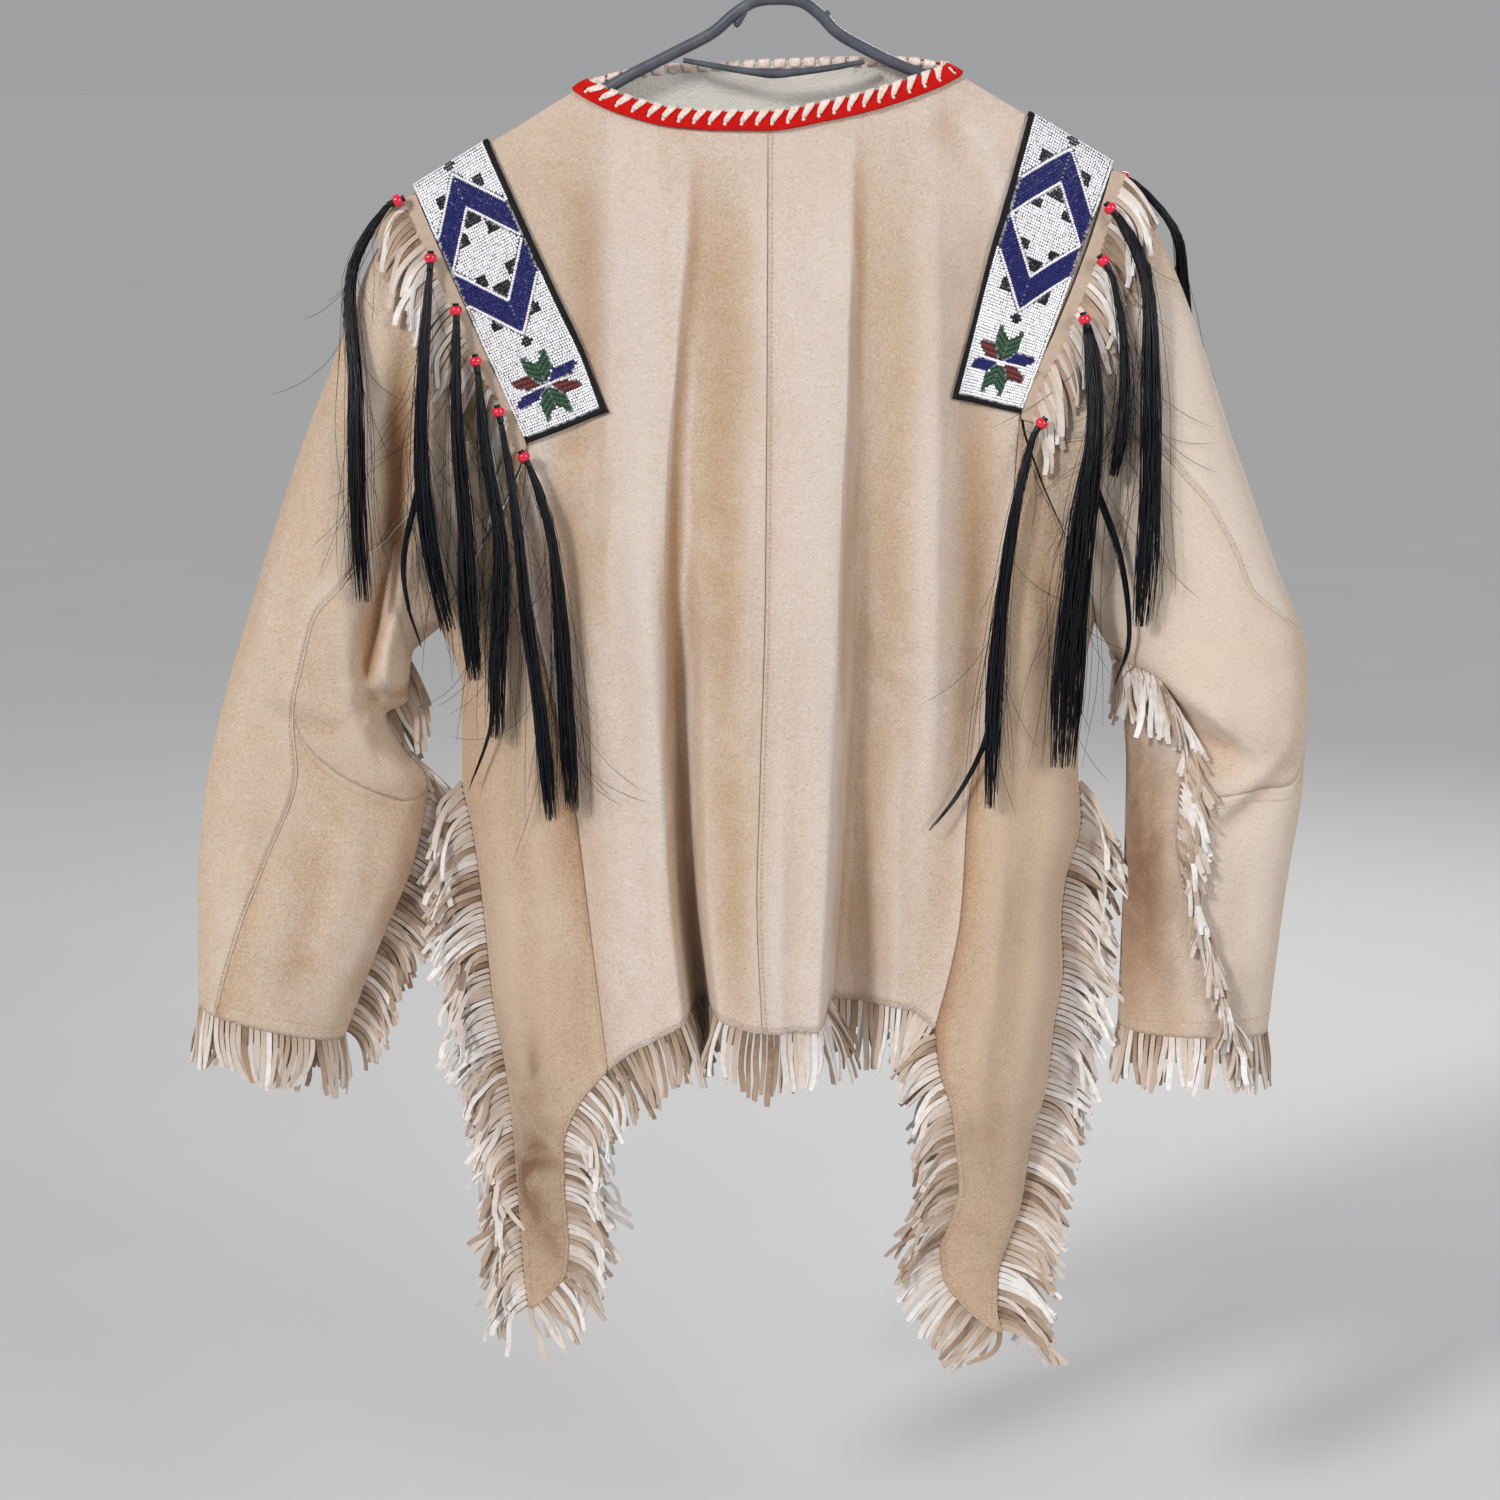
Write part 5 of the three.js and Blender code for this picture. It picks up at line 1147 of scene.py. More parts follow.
# ---------------------------------------------------------------- fringe
def ribbons(pile, root, d0, w0, length, d1, bend=1.0, face=0, K=8, width=STRIP_W, thick=1.3, wild=1.0, lift=1.6, shade=0.6, clear=True, cut=0.0):
    """Cut strips that leave root along d0 and turn to d1, each a thin flat strip of its own."""
    n = len(root)
    root, d0, w0 = (np.array(a, float) for a in (root, d0, w0))
    d1 = np.broadcast_to(np.asarray(d1, float), (n, 3)).copy()
    length = np.broadcast_to(length, (n,)) * rng.uniform(0.88, 1.06, n)
    bunch = np.cumsum(rng.random(n) < 0.27)
    most = int(bunch[-1]) + 1
    count = np.maximum(np.bincount(bunch, minlength=most), 1)[:, None]
    heart = np.stack([np.bincount(bunch, weights=root[:, i], minlength=most) for i in range(3)], 1) / count
    d1 += np.clip((heart[bunch] - root) / length[:, None], -0.35, 0.35) * rng.uniform(0.3, 1.25, most)[bunch][:, None]
    d1 += rng.normal(0, 0.12 * wild, (most, 3))[bunch] * (1, 0.6, 0.4)
    d1 += rng.normal(0, 0.12 * wild, (n, 3)) * (1, 0.6, 0.5)
    wig = rng.normal(0, 0.16 * wild, (n, 3)) * (1, 0.8, 0.4)
    ph, fr = rng.uniform(0, 6.28, n), rng.uniform(2.0, 5.5, n)
    tw = rng.normal(0, 0.75 * wild, n) * (rng.random(n) < 0.6)
    turn = rng.uniform(0.5, 1.3, n) * bend
    C = np.zeros((n, K + 1, 3))
    W = np.zeros((n, K + 1, 3))
    p, w = root.copy(), unit(w0)
    ds = (length / K)[:, None]
    for k in range(K + 1):
        s = k / K
        g = (1 - (1 - s) ** 2) ** (1 / np.maximum(turn, 0.3))
        d = unit(d0 * (1 - g[:, None]) + unit(d1) * g[:, None] + wig * (np.sin(fr * s * 2 + ph) * s ** 0.6)[:, None])
        w = unit(w - (w * d).sum(-1, keepdims=True) * d)
        a = (tw * s ** 1.3)[:, None]
        C[:, k] = p
        W[:, k] = w * np.cos(a) + np.cross(d, w) * np.sin(a)
        p = p + d * ds
    if clear and face:
        y = C[..., 1] * face
        lim = skin(C[..., 0], C[..., 2], face, 1) + lift + rng.uniform(0, 2.2, n)[:, None] * np.linspace(0, 1, K + 1)
        lim[:, 0] = np.minimum(lim[:, 0], y[:, 0] + 0.5)
        y = np.maximum(y, lim)
        for _ in range(2):
            y[:, 1:-1] = np.maximum(y[:, 1:-1], (y[:, :-2] + y[:, 2:]) / 2)
        C[..., 1] = y * face
    D = unit(np.gradient(C, axis=1))
    W = unit(W - (W * D).sum(-1, keepdims=True) * D)
    N = np.cross(D, W)
    prof = np.ones(K + 1)
    prof[-1] = 0.86
    hw = (width / 2 * rng.uniform(0.70, 1.06, n))[:, None] * prof
    cup = rng.normal(0, 0.25, n)[:, None, None] * np.linspace(0, 1, K + 1)[None, :, None]
    ht = thick / 2
    a = C + W * hw[..., None] + N * (ht + cup)
    b = C - W * hw[..., None] + N * (ht + cup)
    c = C - W * hw[..., None] + N * (cup - ht)
    e = C + W * hw[..., None] + N * (cup - ht)
    V = np.stack([a, b, c, e], 2).reshape(-1, 3)
    s, k, m = np.meshgrid(np.arange(n), np.arange(K), np.arange(4), indexing="ij")
    base = (s * (K + 1) + k) * 4
    i0, i1 = base + m, base + (m + 1) % 4
    Q = np.stack([i0, i1, i1 + 4, i0 + 4], -1).reshape(-1, 4)
    f = np.arange(n) * (K + 1) * 4
    l = f + K * 4
    Q = np.concatenate([Q, np.stack([f + 3, f + 2, f + 1, f], 1), np.stack([l, l + 1, l + 2, l + 3], 1)])
    # shade values: each strip and bunch varies at random in tone; painted shade darkens the roots, and callers give
    # lower values to strips lying behind or under others
    val = np.clip(shade - 0.06 + rng.normal(0, 0.17, n) + rng.normal(0, 0.2, most)[bunch], 0, 1)
    along = 0.1 - 0.30 * (1 - np.linspace(0, 1, K + 1)) ** 1.8
    sh = np.clip(val[:, None] + along[None], 0, 1)
    pile.add(V, Q, None, np.repeat(sh.ravel(), 4))


def outline(P, pitch, inward=None):
    """Places of strips along an edge in the x-z plane, with the tangent and the outward way."""
    C, T, u = resample(P, pitch)
    O = unit(np.stack([T[:, 2], 0 * T[:, 0], -T[:, 0]], 1))
    return C, T, O, u


DOWN = np.array([0, 0, -1.0])


def fringe(name, pile, nodes):
    ob = pile.make(name + "_strips", FRINGE, nodes, "fringe", flat=True)
    return ob


# hem
for face, word, hem in ((-1, "back", hem_back), (1, "front", hem_front)):
    pile = Pile()
    xs = np.linspace(-127, 117, 300)
    P = body(xs, hem(xs), face)
    P[:, 1] -= face * 1.2
    P[:, 2] += 1.0
    C, T, O, u = outline(P, STRIP_PITCH)
    d0 = unit(O * 0.8 + DOWN * 0.4)
    slant = np.clip((u - 0.5) * 2, -1, 1)
    d1 = unit(DOWN + O * 0.35)
    ribbons(pile, C, d0, T, 50 + 4 * np.sin(u * 37), d1, 0.8, face, wild=0.55, clear=False, shade=0.55 + 0.12 * np.sin(u * 21))
    # a few strips that lie behind the first row, in the pleats
    pick = rng.random(len(C)) < 0.3
    ribbons(pile, C[pick] - np.array([0, face * 2.0, 0]), d0[pick], T[pick], 46, d1[pick], 0.8, face, wild=1.2, clear=False, shade=0.25)
    fringe(f"hem_fringe_{word}", pile, [f"hem_fringe_{word}"])

# side seams and tails
for side, S in SIDES.items():
    s = S["s"]
    pile = Pile()
    z = np.linspace(-632, -842, 120)
    P = np.stack([S["seam"](z) + s * 0.5, 0 * z, z], 1)
    for layer, (dy, ln, sh) in enumerate(((-1.6, 56, 0.75), (1.6, 50, 0.6), (0.0, 44, 0.45))):
        C, T, u = resample(P, STRIP_PITCH, layer * 1.6)
        C[:, 1] = dy
        grow = smooth(0, 0.35, u)
        d0 = unit(np.stack([s * (0.5 + 0.5 * grow), 0 * u + dy * 0.05, -0.3 - 0.2 * (1 - grow)], 1))
        d1 = unit(np.stack([s * (0.15 + 0.25 * grow), 0 * u + dy * 0.12, -1 + 0 * u], 1))
        ribbons(pile, C, d0, T, ln, d1, 1.0, 0, wild=1.65, clear=False, shade=sh)
    fringe(f"side_fringe_{side}", pile, [f"side_fringe_{side}"])
    for face, word in ((-1, "back"), (1, "front")):
        pile = Pile()
        zo = np.linspace(-842, S["tip"] + 2, 120)
        P = body(S["seam"](zo), zo, face)
        P[:, 0] += s * 0.3
        P[:, 1] -= face * 1.0
        for layer in range(2 if face < 0 else 1):
            C, T, u = resample(P, STRIP_PITCH, layer * 2.2)
            C[:, 1] -= face * layer * 1.5
            if side == "right" and face < 0:
                d0 = unit(np.stack([1 + 0 * u, 0 * u, -0.32 + 0 * u], 1))
                d1 = unit(np.stack([0.75 - 0.25 * u, 0 * u, -0.9 + 0 * u], 1))
                ln = 44 + 14 * smooth(0.4, 0.9, u)
                wild = 0.6 + 0.5 * layer
            else:
                d0 = unit(np.stack([s * (1 - 0.2 * u), 0.1 * face + 0 * u, -0.45 + 0 * u], 1))
                d1 = unit(np.stack([s * (0.25 - 0.15 * u), 0.1 * face + 0 * u, -1 + 0 * u], 1))
                ln = 54 if face > 0 else 48
                wild = 1.6
            ribbons(pile, C, d0, T, ln, d1, 0.9, 0, wild=wild, clear=False, shade=0.72 - 0.25 * layer)
        # round the tip and up the inner edge
        zi = np.linspace(S["tip"] + 1, S["hem_corner"][1] - 2, 140)
        P = body(S["tail_in"](zi), zi, face)
        tipx = np.linspace(S["seam"](S["tip"]), S["tail_in"](S["tip"] + 1), 6)
        Pt = body(tipx, np.full(6, S["tip"] + 1.0), face)
        P = np.concatenate([Pt[:-1], P])
        P[:, 1] -= face * 1.0
        C, T, u = resample(P, STRIP_PITCH)
        O = unit(np.stack([-T[:, 2] * -s, 0 * u, T[:, 0] * -s], 1))
        O[:, 0] = np.where(O[:, 0] * s > 0, -O[:, 0], O[:, 0])
        O[:, 2] = np.where(O[:, 2] > 0, -O[:, 2], O[:, 2])
        d0 = unit(O + DOWN * 0.25)
        lean = -s * (0.35 if side == "left" else 0.75)
        d1 = unit(np.stack([lean * (1 - 0.3 * u), 0 * u, -1 + 0 * u], 1))
        ribbons(pile, C, d0, T, 46 - 6 * u, d1, 0.9, 0, wild=1.1, clear=False, shade=0.58)
        if side == "left":
            pick = (u > 0.35) & (rng.random(len(u)) < 0.6)
            ribbons(pile, C[pick] + np.array([0, face * 1.6, 0]), d0[pick], T[pick], 52, unit(np.array([0.1, 0, -1.0])), 0.7, 0, wild=1.6, clear=False, shade=0.85)
        fringe(f"tail_fringe_{word}_{side}", pile, [f"tail_fringe_{word}_{side}"])

    # cuff
    T_ = SLEEVES[side]
    v = np.linspace(0, 2, 260)
    P = sleeve_point(side, np.full(260, 1.0), v)
    cx, cz = lerp(T_(1.0, 1), T_(1.0, 3), 0.5), lerp(T_(1.0, 2), T_(1.0, 4), 0.5)
    C, T, u = resample(P, STRIP_PITCH)
    O = unit(np.stack([C[:, 0] - cx, C[:, 1] * 1.5, 0 * u], 1))
    C = C - O * 1.1 + np.array([0, 0, 1.0])
    pile = Pile()
    ribbons(pile, C, unit(DOWN + O * 0.18), T, 44, unit(DOWN + O * 0.10), 1.0, 0, wild=0.5, clear=False, shade=0.5)
    pick = rng.random(len(C)) < 0.35
    ribbons(pile, C[pick] - O[pick] * 1.6, unit(DOWN + O[pick] * 0.1), T[pick], 42, DOWN, 1.0, 0, wild=1.1, clear=False, shade=0.3)
    fringe(f"cuff_fringe_{side}", pile, [f"cuff_fringe_{side}"])

    # underarm seam
    pile = Pile()
    t = np.linspace(0.27, 0.997, 240)
    P = sleeve_point(side, t, SEAM_UNDER[side](t))
    if side == "left":
        P[:, 0] -= 0.9
        P[:, 1] = 1.0 * smooth(0.45, 0.6, t)
        for layer in range(2):
            C, T, u = resample(P, STRIP_PITCH, layer * 2.4)
            C[:, 1] += layer * 2.0
            grow = smooth(0.1, 0.4, u)
            d0 = unit(np.stack([0.3 + 0.7 * grow, 0 * u, -0.6 + 0 * u], 1))
            d1 = unit(np.stack([0.15 + 0.35 * grow - 0.25 * smooth(0.6, 0.9, u), 0 * u, -1 + 0 * u], 1))
            ribbons(pile, C, d0, T, 41 + 2 * layer, d1, 0.9, 0, wild=1.0, clear=False, shade=0.5 - 0.2 * layer)
    else:
        P[:, 1] -= 0.6
        for layer in range(2):
            C, T, u = resample(P, STRIP_PITCH, layer * 2.4)
            near = smooth(0.1, 0.3, u)
            d0 = unit(np.stack([0.15 + 0.35 * near, -0.25 + 0 * u, -0.8 + 0 * u], 1))
            d1 = unit(np.stack([0.25 * near - 0.05, 0 * u, -1 + 0 * u], 1))
            ribbons(pile, C, d0, T, 44 + 4 * layer, d1, 1.0, -1, wild=1.2, lift=1.4 + 1.6 * layer, shade=0.75 - 0.15 * layer)
    fringe(f"underarm_fringe_{side}", pile, [f"underarm_fringe_{side}"])

    # armhole seam, beside the beaded band: an uncut welt, then the strips
    for face, word in ((-1, "back"), (1, "front")):
        pile = Pile()
        z = np.linspace(S["ridge_end"][1] - 3, S["strip_end"] - 4, 90)
        xa = S["armhole"](z)
        rows_ = []
        for k, dx in enumerate((0.3, 3.5, 7.0, 10.5)):
            x = xa + s * dx
            zz = z - dx * 0.25
            y = np.maximum(skin(x, zz, face, 1), skin(xa + s * 2, z, face, 1) - 1.5) + (1.3 if k == 0 else 2.0)
            rows_.append(np.stack([x, face * y, zz], -1))
        Wt = np.stack(rows_, 1)
        nrm = grid_normals(Wt)
        if nrm[45, 1, 1] * face < 0:
            nrm = -nrm
        nu, nv = Wt.shape[:2]
        pts = np.concatenate([(Wt + nrm * 0.65).reshape(-1, 3), (Wt - nrm * 0.65).reshape(-1, 3)])
        ii, jj = np.meshgrid(np.arange(nu - 1), np.arange(nv - 1), indexing="ij")
        a = (ii * nv + jj).ravel()
        top = np.stack([a, a + nv, a + nv + 1, a + 1], 1)
        bot = top[:, ::-1] + nu * nv
        e = np.arange(nu - 1) * nv
        r1 = np.stack([e + nv, e, e + nu * nv, e + nv + nu * nv], 1)
        r2 = np.stack([e + nv - 1, e + 2 * nv - 1, e + 2 * nv - 1 + nu * nv, e + nv - 1 + nu * nv], 1)
        e = np.arange(nv - 1)
        r3 = np.stack([e, e + 1, e + 1 + nu * nv, e + nu * nv], 1)
        r4 = np.stack([e + 1 + (nu - 1) * nv, e + (nu - 1) * nv, e + (nu - 1) * nv + nu * nv, e + 1 + (nu - 1) * nv + nu * nv], 1)
        qd, _ = turn_out(pts, np.concatenate([top, bot, r1, r2, r3, r4]))
        pile.add(pts, qd, None, 0.32)
        C, T, u = resample(Wt[:, 3], STRIP_PITCH * 0.96)
        C[:, 0] -= s * 1.0
        steep = smooth(0.35, 0.8, u)
        d0 = unit(np.stack([s * (0.95 - 0.5 * steep), face * 0.25 + 0 * u, -0.75 - 0.3 * steep], 1))
        d1 = unit(np.stack([s * (0.45 - 0.35 * steep), 0 * u, -1 + 0 * u], 1))
        ribbons(pile, C, d0, T, 40 + 6 * steep, d1, 0.9, face, wild=0.75, lift=2.2, shade=0.5, K=9)
        pick = rng.random(len(C)) < 0.3
        ribbons(pile, C[pick], d0[pick], T[pick], 52, unit(np.array([s * 0.05, 0, -1.0])), 0.9, face, wild=1.3, lift=4.2, shade=0.85, K=9)
        fringe(f"shoulder_fringe_{word}_{side}", pile, [f"shoulder_fringe_{word}_{side}"])


# ---------------------------------------------------------------- beaded bands
def strip_point(side, a, b):
    """a: -1 end on the front .. 0 ridge .. 1 end on the back; b: 0 armhole edge .. 1 neck edge."""
    S = SIDES[side]
    a, b = np.broadcast_arrays(np.asarray(a, float), np.asarray(b, float))
    d = a * a
    face = np.where(a <= 0, 1, -1)
    k = 0.01 + 0.98 * b
    ex, ez = lerp(S["out_end"][0], S["in_end"][0], k), lerp(S["out_end"][1], S["in_end"][1], k)
    x = lerp(lerp(S["out_top"][0], S["in_top"][0], k), ex, d)
    z = ridge_z(x) - d * (ridge_z(ex) - ez)
    y = np.where(face < 0, -body_depth(x, z, -1), body_depth(x, z, 1))
    return np.stack([x, y, z], -1)


WHITE, BLUE, INK = (0.98, 0.98, 1.0), (0.004, 0.006, 0.115), (0.003, 0.003, 0.004)
# the lighter green and red go on every other line of the leaves as painted glints between the rows
GREEN, RED, GREEN_GLINT_LINE, RED_GLINT_LINE = (0.008, 0.038, 0.016), (0.085, 0.008, 0.008), (0.040, 0.120, 0.060), (0.180, 0.040, 0.035)
PITCH_ROW, PITCH_BEAD = 2.15, 1.80
BORDER = 3.9            # black edging on the neck side and the lower end


def bead_domes(P, N, Tn, rt=1.0, rb=1.2, high=0.85, size=None):
    """Low domes standing on P: five sides, a shoulder ring and a top."""
    n = len(P)
    B = np.cross(N, Tn)
    w = 2 * np.pi * np.arange(5) / 5
    c, q = np.cos(w)[None, :, None], np.sin(w)[None, :, None]
    if size is not None:
        c, q = c * size[:, None, None], q * size[:, None, None]
    ring1 = P[:, None] + rt * c * Tn[:, None] + rb * q * B[:, None]
    ring2 = P[:, None] + N[:, None] * high * 0.68 + 0.74 * (rt * c * Tn[:, None] + rb * q * B[:, None])
    top = P[:, None] + N[:, None] * high
    V = np.concatenate([ring1, ring2, top], 1).reshape(-1, 3)
    base = np.arange(n)[:, None] * 11
    e = np.arange(5)[None]
    e2 = (e + 1) % 5
    T = np.concatenate([
        np.stack([base + e, base + e2, base + 5 + e2], -1).reshape(-1, 3),
        np.stack([base + e, base + 5 + e2, base + 5 + e], -1).reshape(-1, 3),
        np.stack([base + 5 + e, base + 5 + e2, base + 10 + 0 * e], -1).reshape(-1, 3)])
    return V, T


def chart(L, half, view):
    """Bead places (across, along), the way their row runs, and colour, for a half band of length L.
    A stepped diamond band worked in lines of its own, small black triangles on its edges, and a star of
    eight leaves near the lower end; view turns the star's left and right."""
    mid, ro, ri, slope = 0.345 * L, 0.292 * L, 0.182 * L, 1.28
    perp = 1 / math.hypot(1, slope)
    lines = 7
    step = (ro - ri) / lines
    u, v, d, c = [], [], [], []

    def put(uu, vv, dd, cc):
        u.append(uu), v.append(vv), d.append(np.broadcast_to(dd, (len(uu), 2))), c.append(np.full(len(uu), cc) if np.ndim(cc) == 0 else cc)
    # diamond
    for i in range(-1, lines + 1):
        q = ri + step * (i + 0.5)
        for su in (-1, 1):
            for sv in (-1, 1):
                reach = min(half - 0.6, q / slope)
                t = np.arange(PITCH_BEAD * 0.5, reach / perp, PITCH_BEAD)
                uu = su * t * perp
                put(uu, mid + sv * (q - slope * np.abs(uu)), (su * perp, -sv * slope * perp), 1 if 0 <= i < lines else 0)
    # star: leaf lines from a stem up and down, and slanting lines to both sides
    vc = 0.835 * L
    for sv in (-1, 1):
        for su in (-1, 1):
            for k in range(11):
                long = 6
                j = np.arange(long) * PITCH_BEAD + 1.0
                uu, vv = su * (j * 0.80 + 0.35), sv * (3.0 + 2.05 * k + j * 0.62)
                keep = (np.abs(vv) < 15.5 + 1.02 * np.abs(uu)) & (np.abs(vv) < 24.5) & (np.abs(uu) < 1.4 + 0.62 * np.abs(vv))
                # every other line lighter: painted glint
                put(uu[keep], vc + vv[keep], (su * 0.79, sv * 0.61), 6 if k % 2 else 5)
            red = (su * view) * sv > 0
            for k in range(5 if red else 4):
                j = np.arange((6, 7, 8, 8, 7)[k] if red else (9, 10, 10, 9)[k]) * PITCH_BEAD
                start = 4.9 + 1.15 * k if red else 4.7 + 1.5 * k
                uu, vv = su * (start + j), sv * (1.9 + 1.85 * k + 0.06 * j)
                keep = (np.abs(uu) < 26) & (np.abs(uu) < half - 2.5)
                # red leaves: every other line lighter, a painted glint
                colour = (7 if k in (1, 3) else 4) if red else 3
                put(uu[keep], vc + vv[keep], (1.0, 0.0), colour)
    uu = np.arange(-9, 9.1, PITCH_BEAD)
    put(uu, np.full(len(uu), vc), (1.0, 0.0), 0)
    fixed = np.stack([np.concatenate(u), np.concatenate(v)], 1)
    # edge lines
    for side_ in (-1, 1):
        vv = np.arange(1.0, L - BORDER - 0.8, PITCH_BEAD)
        uu = np.full(len(vv), side_ * (half + 0.4))
        q = np.abs(vv - mid) + slope * np.abs(uu)
        k = (q < ri - step) | (q > ro + step)
        put(uu[k], vv[k], (0.0, 1.0), 0)
    # ground, in rows across
    rows = np.arange(0.9, L - BORDER - 0.6, PITCH_ROW)
    n = int((2 * half - 1.2) / PITCH_BEAD)
    cols = (np.arange(n) - (n - 1) / 2) * PITCH_BEAD
    vv, uu = [a.ravel() for a in np.meshgrid(rows, cols, indexing="ij")]
    uu = uu + np.where((np.round(vv / PITCH_ROW).astype(int) % 2) == 0, 0.0, 0.35)
    q = np.abs(vv - mid) + slope * np.abs(uu)
    keep = (q < ri - step - 1.2) | (q > ro + step + 1.2)
    uu, vv, q = uu[keep], vv[keep], q[keep]
    near = np.min(np.hypot(uu[:, None] - fixed[None, :, 0], vv[:, None] - fixed[None, :, 1]), axis=1) > 1.62
    uu, vv, q = uu[near], vv[near], q[near]
    cc = np.zeros(len(uu), int)
    s_u, s_v = np.sign(uu), np.sign(vv - mid)
    for q0, sign, at_u in ((ri - step, 1, half * 0.47), (ro + step, -1, half * 0.47)):
        v0 = q0 - slope * at_u
        n_ = (q0 - q) * perp * sign
        t_ = (np.abs(uu) - at_u) * perp - (np.abs(vv - mid) - v0) * slope * perp
        cc[(n_ > 0) & (n_ < 7.4) & (np.abs(t_) < 5.9 * (1 - n_ / 8.6))] = 2
    dv = np.abs(vv - mid)
    cc[(dv > ri - step - 11.5) & (dv < ri - step - 2.0) & (np.abs(uu) < np.minimum(5.8, (ri - dv) / slope))] = 2
    dd = dv - (ro + step + 4.6)
    cc[(np.abs(uu) + np.abs(dd) < 4.3) & (dd > -4)] = 2
    put(uu, vv, (1.0, 0.0), cc)
    return np.concatenate(u), np.concatenate(v), np.concatenate(d), np.concatenate(c)


COLOURS = np.array([WHITE, BLUE, INK, BLUE, RED, GREEN, GREEN_GLINT_LINE, RED_GLINT_LINE])

for side, S in SIDES.items():
    s = S["s"]
    # backing: pale under the beads, black at the edging
    a, b = np.meshgrid(np.concatenate([[-1, -0.9955, -0.9915, -0.9885], np.linspace(-0.984, 0.984, 159), [0.9885, 0.9915, 0.9955, 1]]), np.concatenate([np.linspace(0, 0.90, 24), np.linspace(0.925, 1, 8)]), indexing="ij")
    X = strip_point(side, a, b)
    N = grid_normals(X)
    if np.dot(N[90, 17], (0, 0, 1)) < 0:
        N = -N
    mid = strip_point(side, np.linspace(0, 1, 300), 0.5)
    L = np.linalg.norm(np.diff(mid, axis=0), axis=1).sum()
    end = (1 - np.abs(a)) * 2 * L < BORDER * 1.1
    dark = np.maximum(smooth(0.93, 0.945, b), end)
    rim = 0.75 * np.maximum(np.exp(-((b - 0.97) / 0.02) ** 2), 0)
    shell(f"strip_{side}", X + N * (1.9 + rim[..., None]), lambda p: (0, 0, 1), BLACK, lo=0, hi=1.5, sheet=False, attrs=dict(dark=dark))
    for face in (-1, 1):
        aa = np.linspace(0.0, 1, 800) * (1 if face < 0 else -1)
        mid = strip_point(side, aa, 0.5)
        sl = np.concatenate([[0], np.cumsum(np.linalg.norm(np.diff(mid, axis=0), axis=1))])
        W = float(np.mean(np.linalg.norm(strip_point(side, aa, 1.0) - strip_point(side, aa, 0.0), axis=1)))
        half = (W - BORDER - 1.2) / 2 - 0.6
        u_, v_, d_, c_ = chart(sl[-1], half, s * (1 if face < 0 else -1) * -1)
        A = np.interp(v_, sl, aa)
        A = np.where(np.abs(A) < 1e-4, 1e-4 * (1 if face < 0 else -1), A)
        Bc = (0.6 + 0.6 + half + u_) / W
        P = strip_point(side, A, Bc)
        e = 2e-3
        sg = 1 if face < 0 else -1
        du = (strip_point(side, np.clip(A + e, -1, 1), Bc) - strip_point(side, np.clip(A - e, -1, 1), Bc)) * sg
        dv = strip_point(side, A, np.clip(Bc + e, 0, 1)) - strip_point(side, A, np.clip(Bc - e, 0, 1))
        du, dv = unit(du), unit(dv)
        Nn = unit(np.cross(du, dv))
        Nn = np.where(((Nn * np.array([0.0, face, 0.5])).sum(-1) < 0)[..., None], -Nn, Nn)
        way = unit(dv * d_[:, :1] + du * d_[:, 1:])
        way = unit(way - (way * Nn).sum(-1, keepdims=True) * Nn)
        P = P + Nn * 3.3 + dv * rng.normal(0, 0.09, len(P))[:, None] + du * rng.normal(0, 0.07, len(P))[:, None]
        col = COLOURS[c_] * rng.uniform(0.86, 1.06, len(P))[:, None]
        V, Tt = bead_domes(P, Nn, way, size=np.where(c_ == 0, 1.0, 1.17))
        ob = mesh(f"beads_{side}_{'back' if face < 0 else 'front'}", V, None, Tt, mat=BEADS, colour=np.repeat(col, 11, axis=0))
        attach(ob, "root")
        print("BEADS", side, face, len(P), "half length", round(float(sl[-1]), 1), "width", round(W, 1))

# ---------------------------------------------------------------- red felt round the neck, and its lace
TRIM = 13.0


def neck_point(k, w):
    """k 0..1 left to right over the back, 1..2 right to left over the front; w 0 edge .. 1 down the cloth."""
    k, w = np.broadcast_arrays(np.asarray(k, float), np.asarray(w, float))
    k = np.mod(k, 2)
    face = np.where(k <= 1, -1, 1)
    lin = np.where(k <= 1, k, 2 - k)
    L, R = SIDES["left"]["neck_end"], SIDES["right"]["neck_end"]
    e = (1 - np.cos(np.pi * lin)) / 2
    x = lerp(float(L[0]), float(R[0]), e)
    z = np.where(face < 0, neck_back(x), neck_front(x)) - 0.5
    sd = 2 * e - 1
    corner = np.abs(sd) ** 6
    slope = np.where(sd < 0, SLOPE_L, SLOPE_R)
    d = unit(np.stack([np.sign(sd) * (0.25 * np.abs(sd) + 0.75 * corner), 0 * sd, -(1 - corner) - slope * corner], -1))
    X = x + d[..., 0] * w * TRIM
    Z = np.minimum(z + d[..., 2] * w * TRIM, ridge_z(X) - 0.02)
    y = np.where(face < 0, -body_depth(X, Z, -1), body_depth(X, Z, 1))
    return np.stack([X, y, Z], -1)


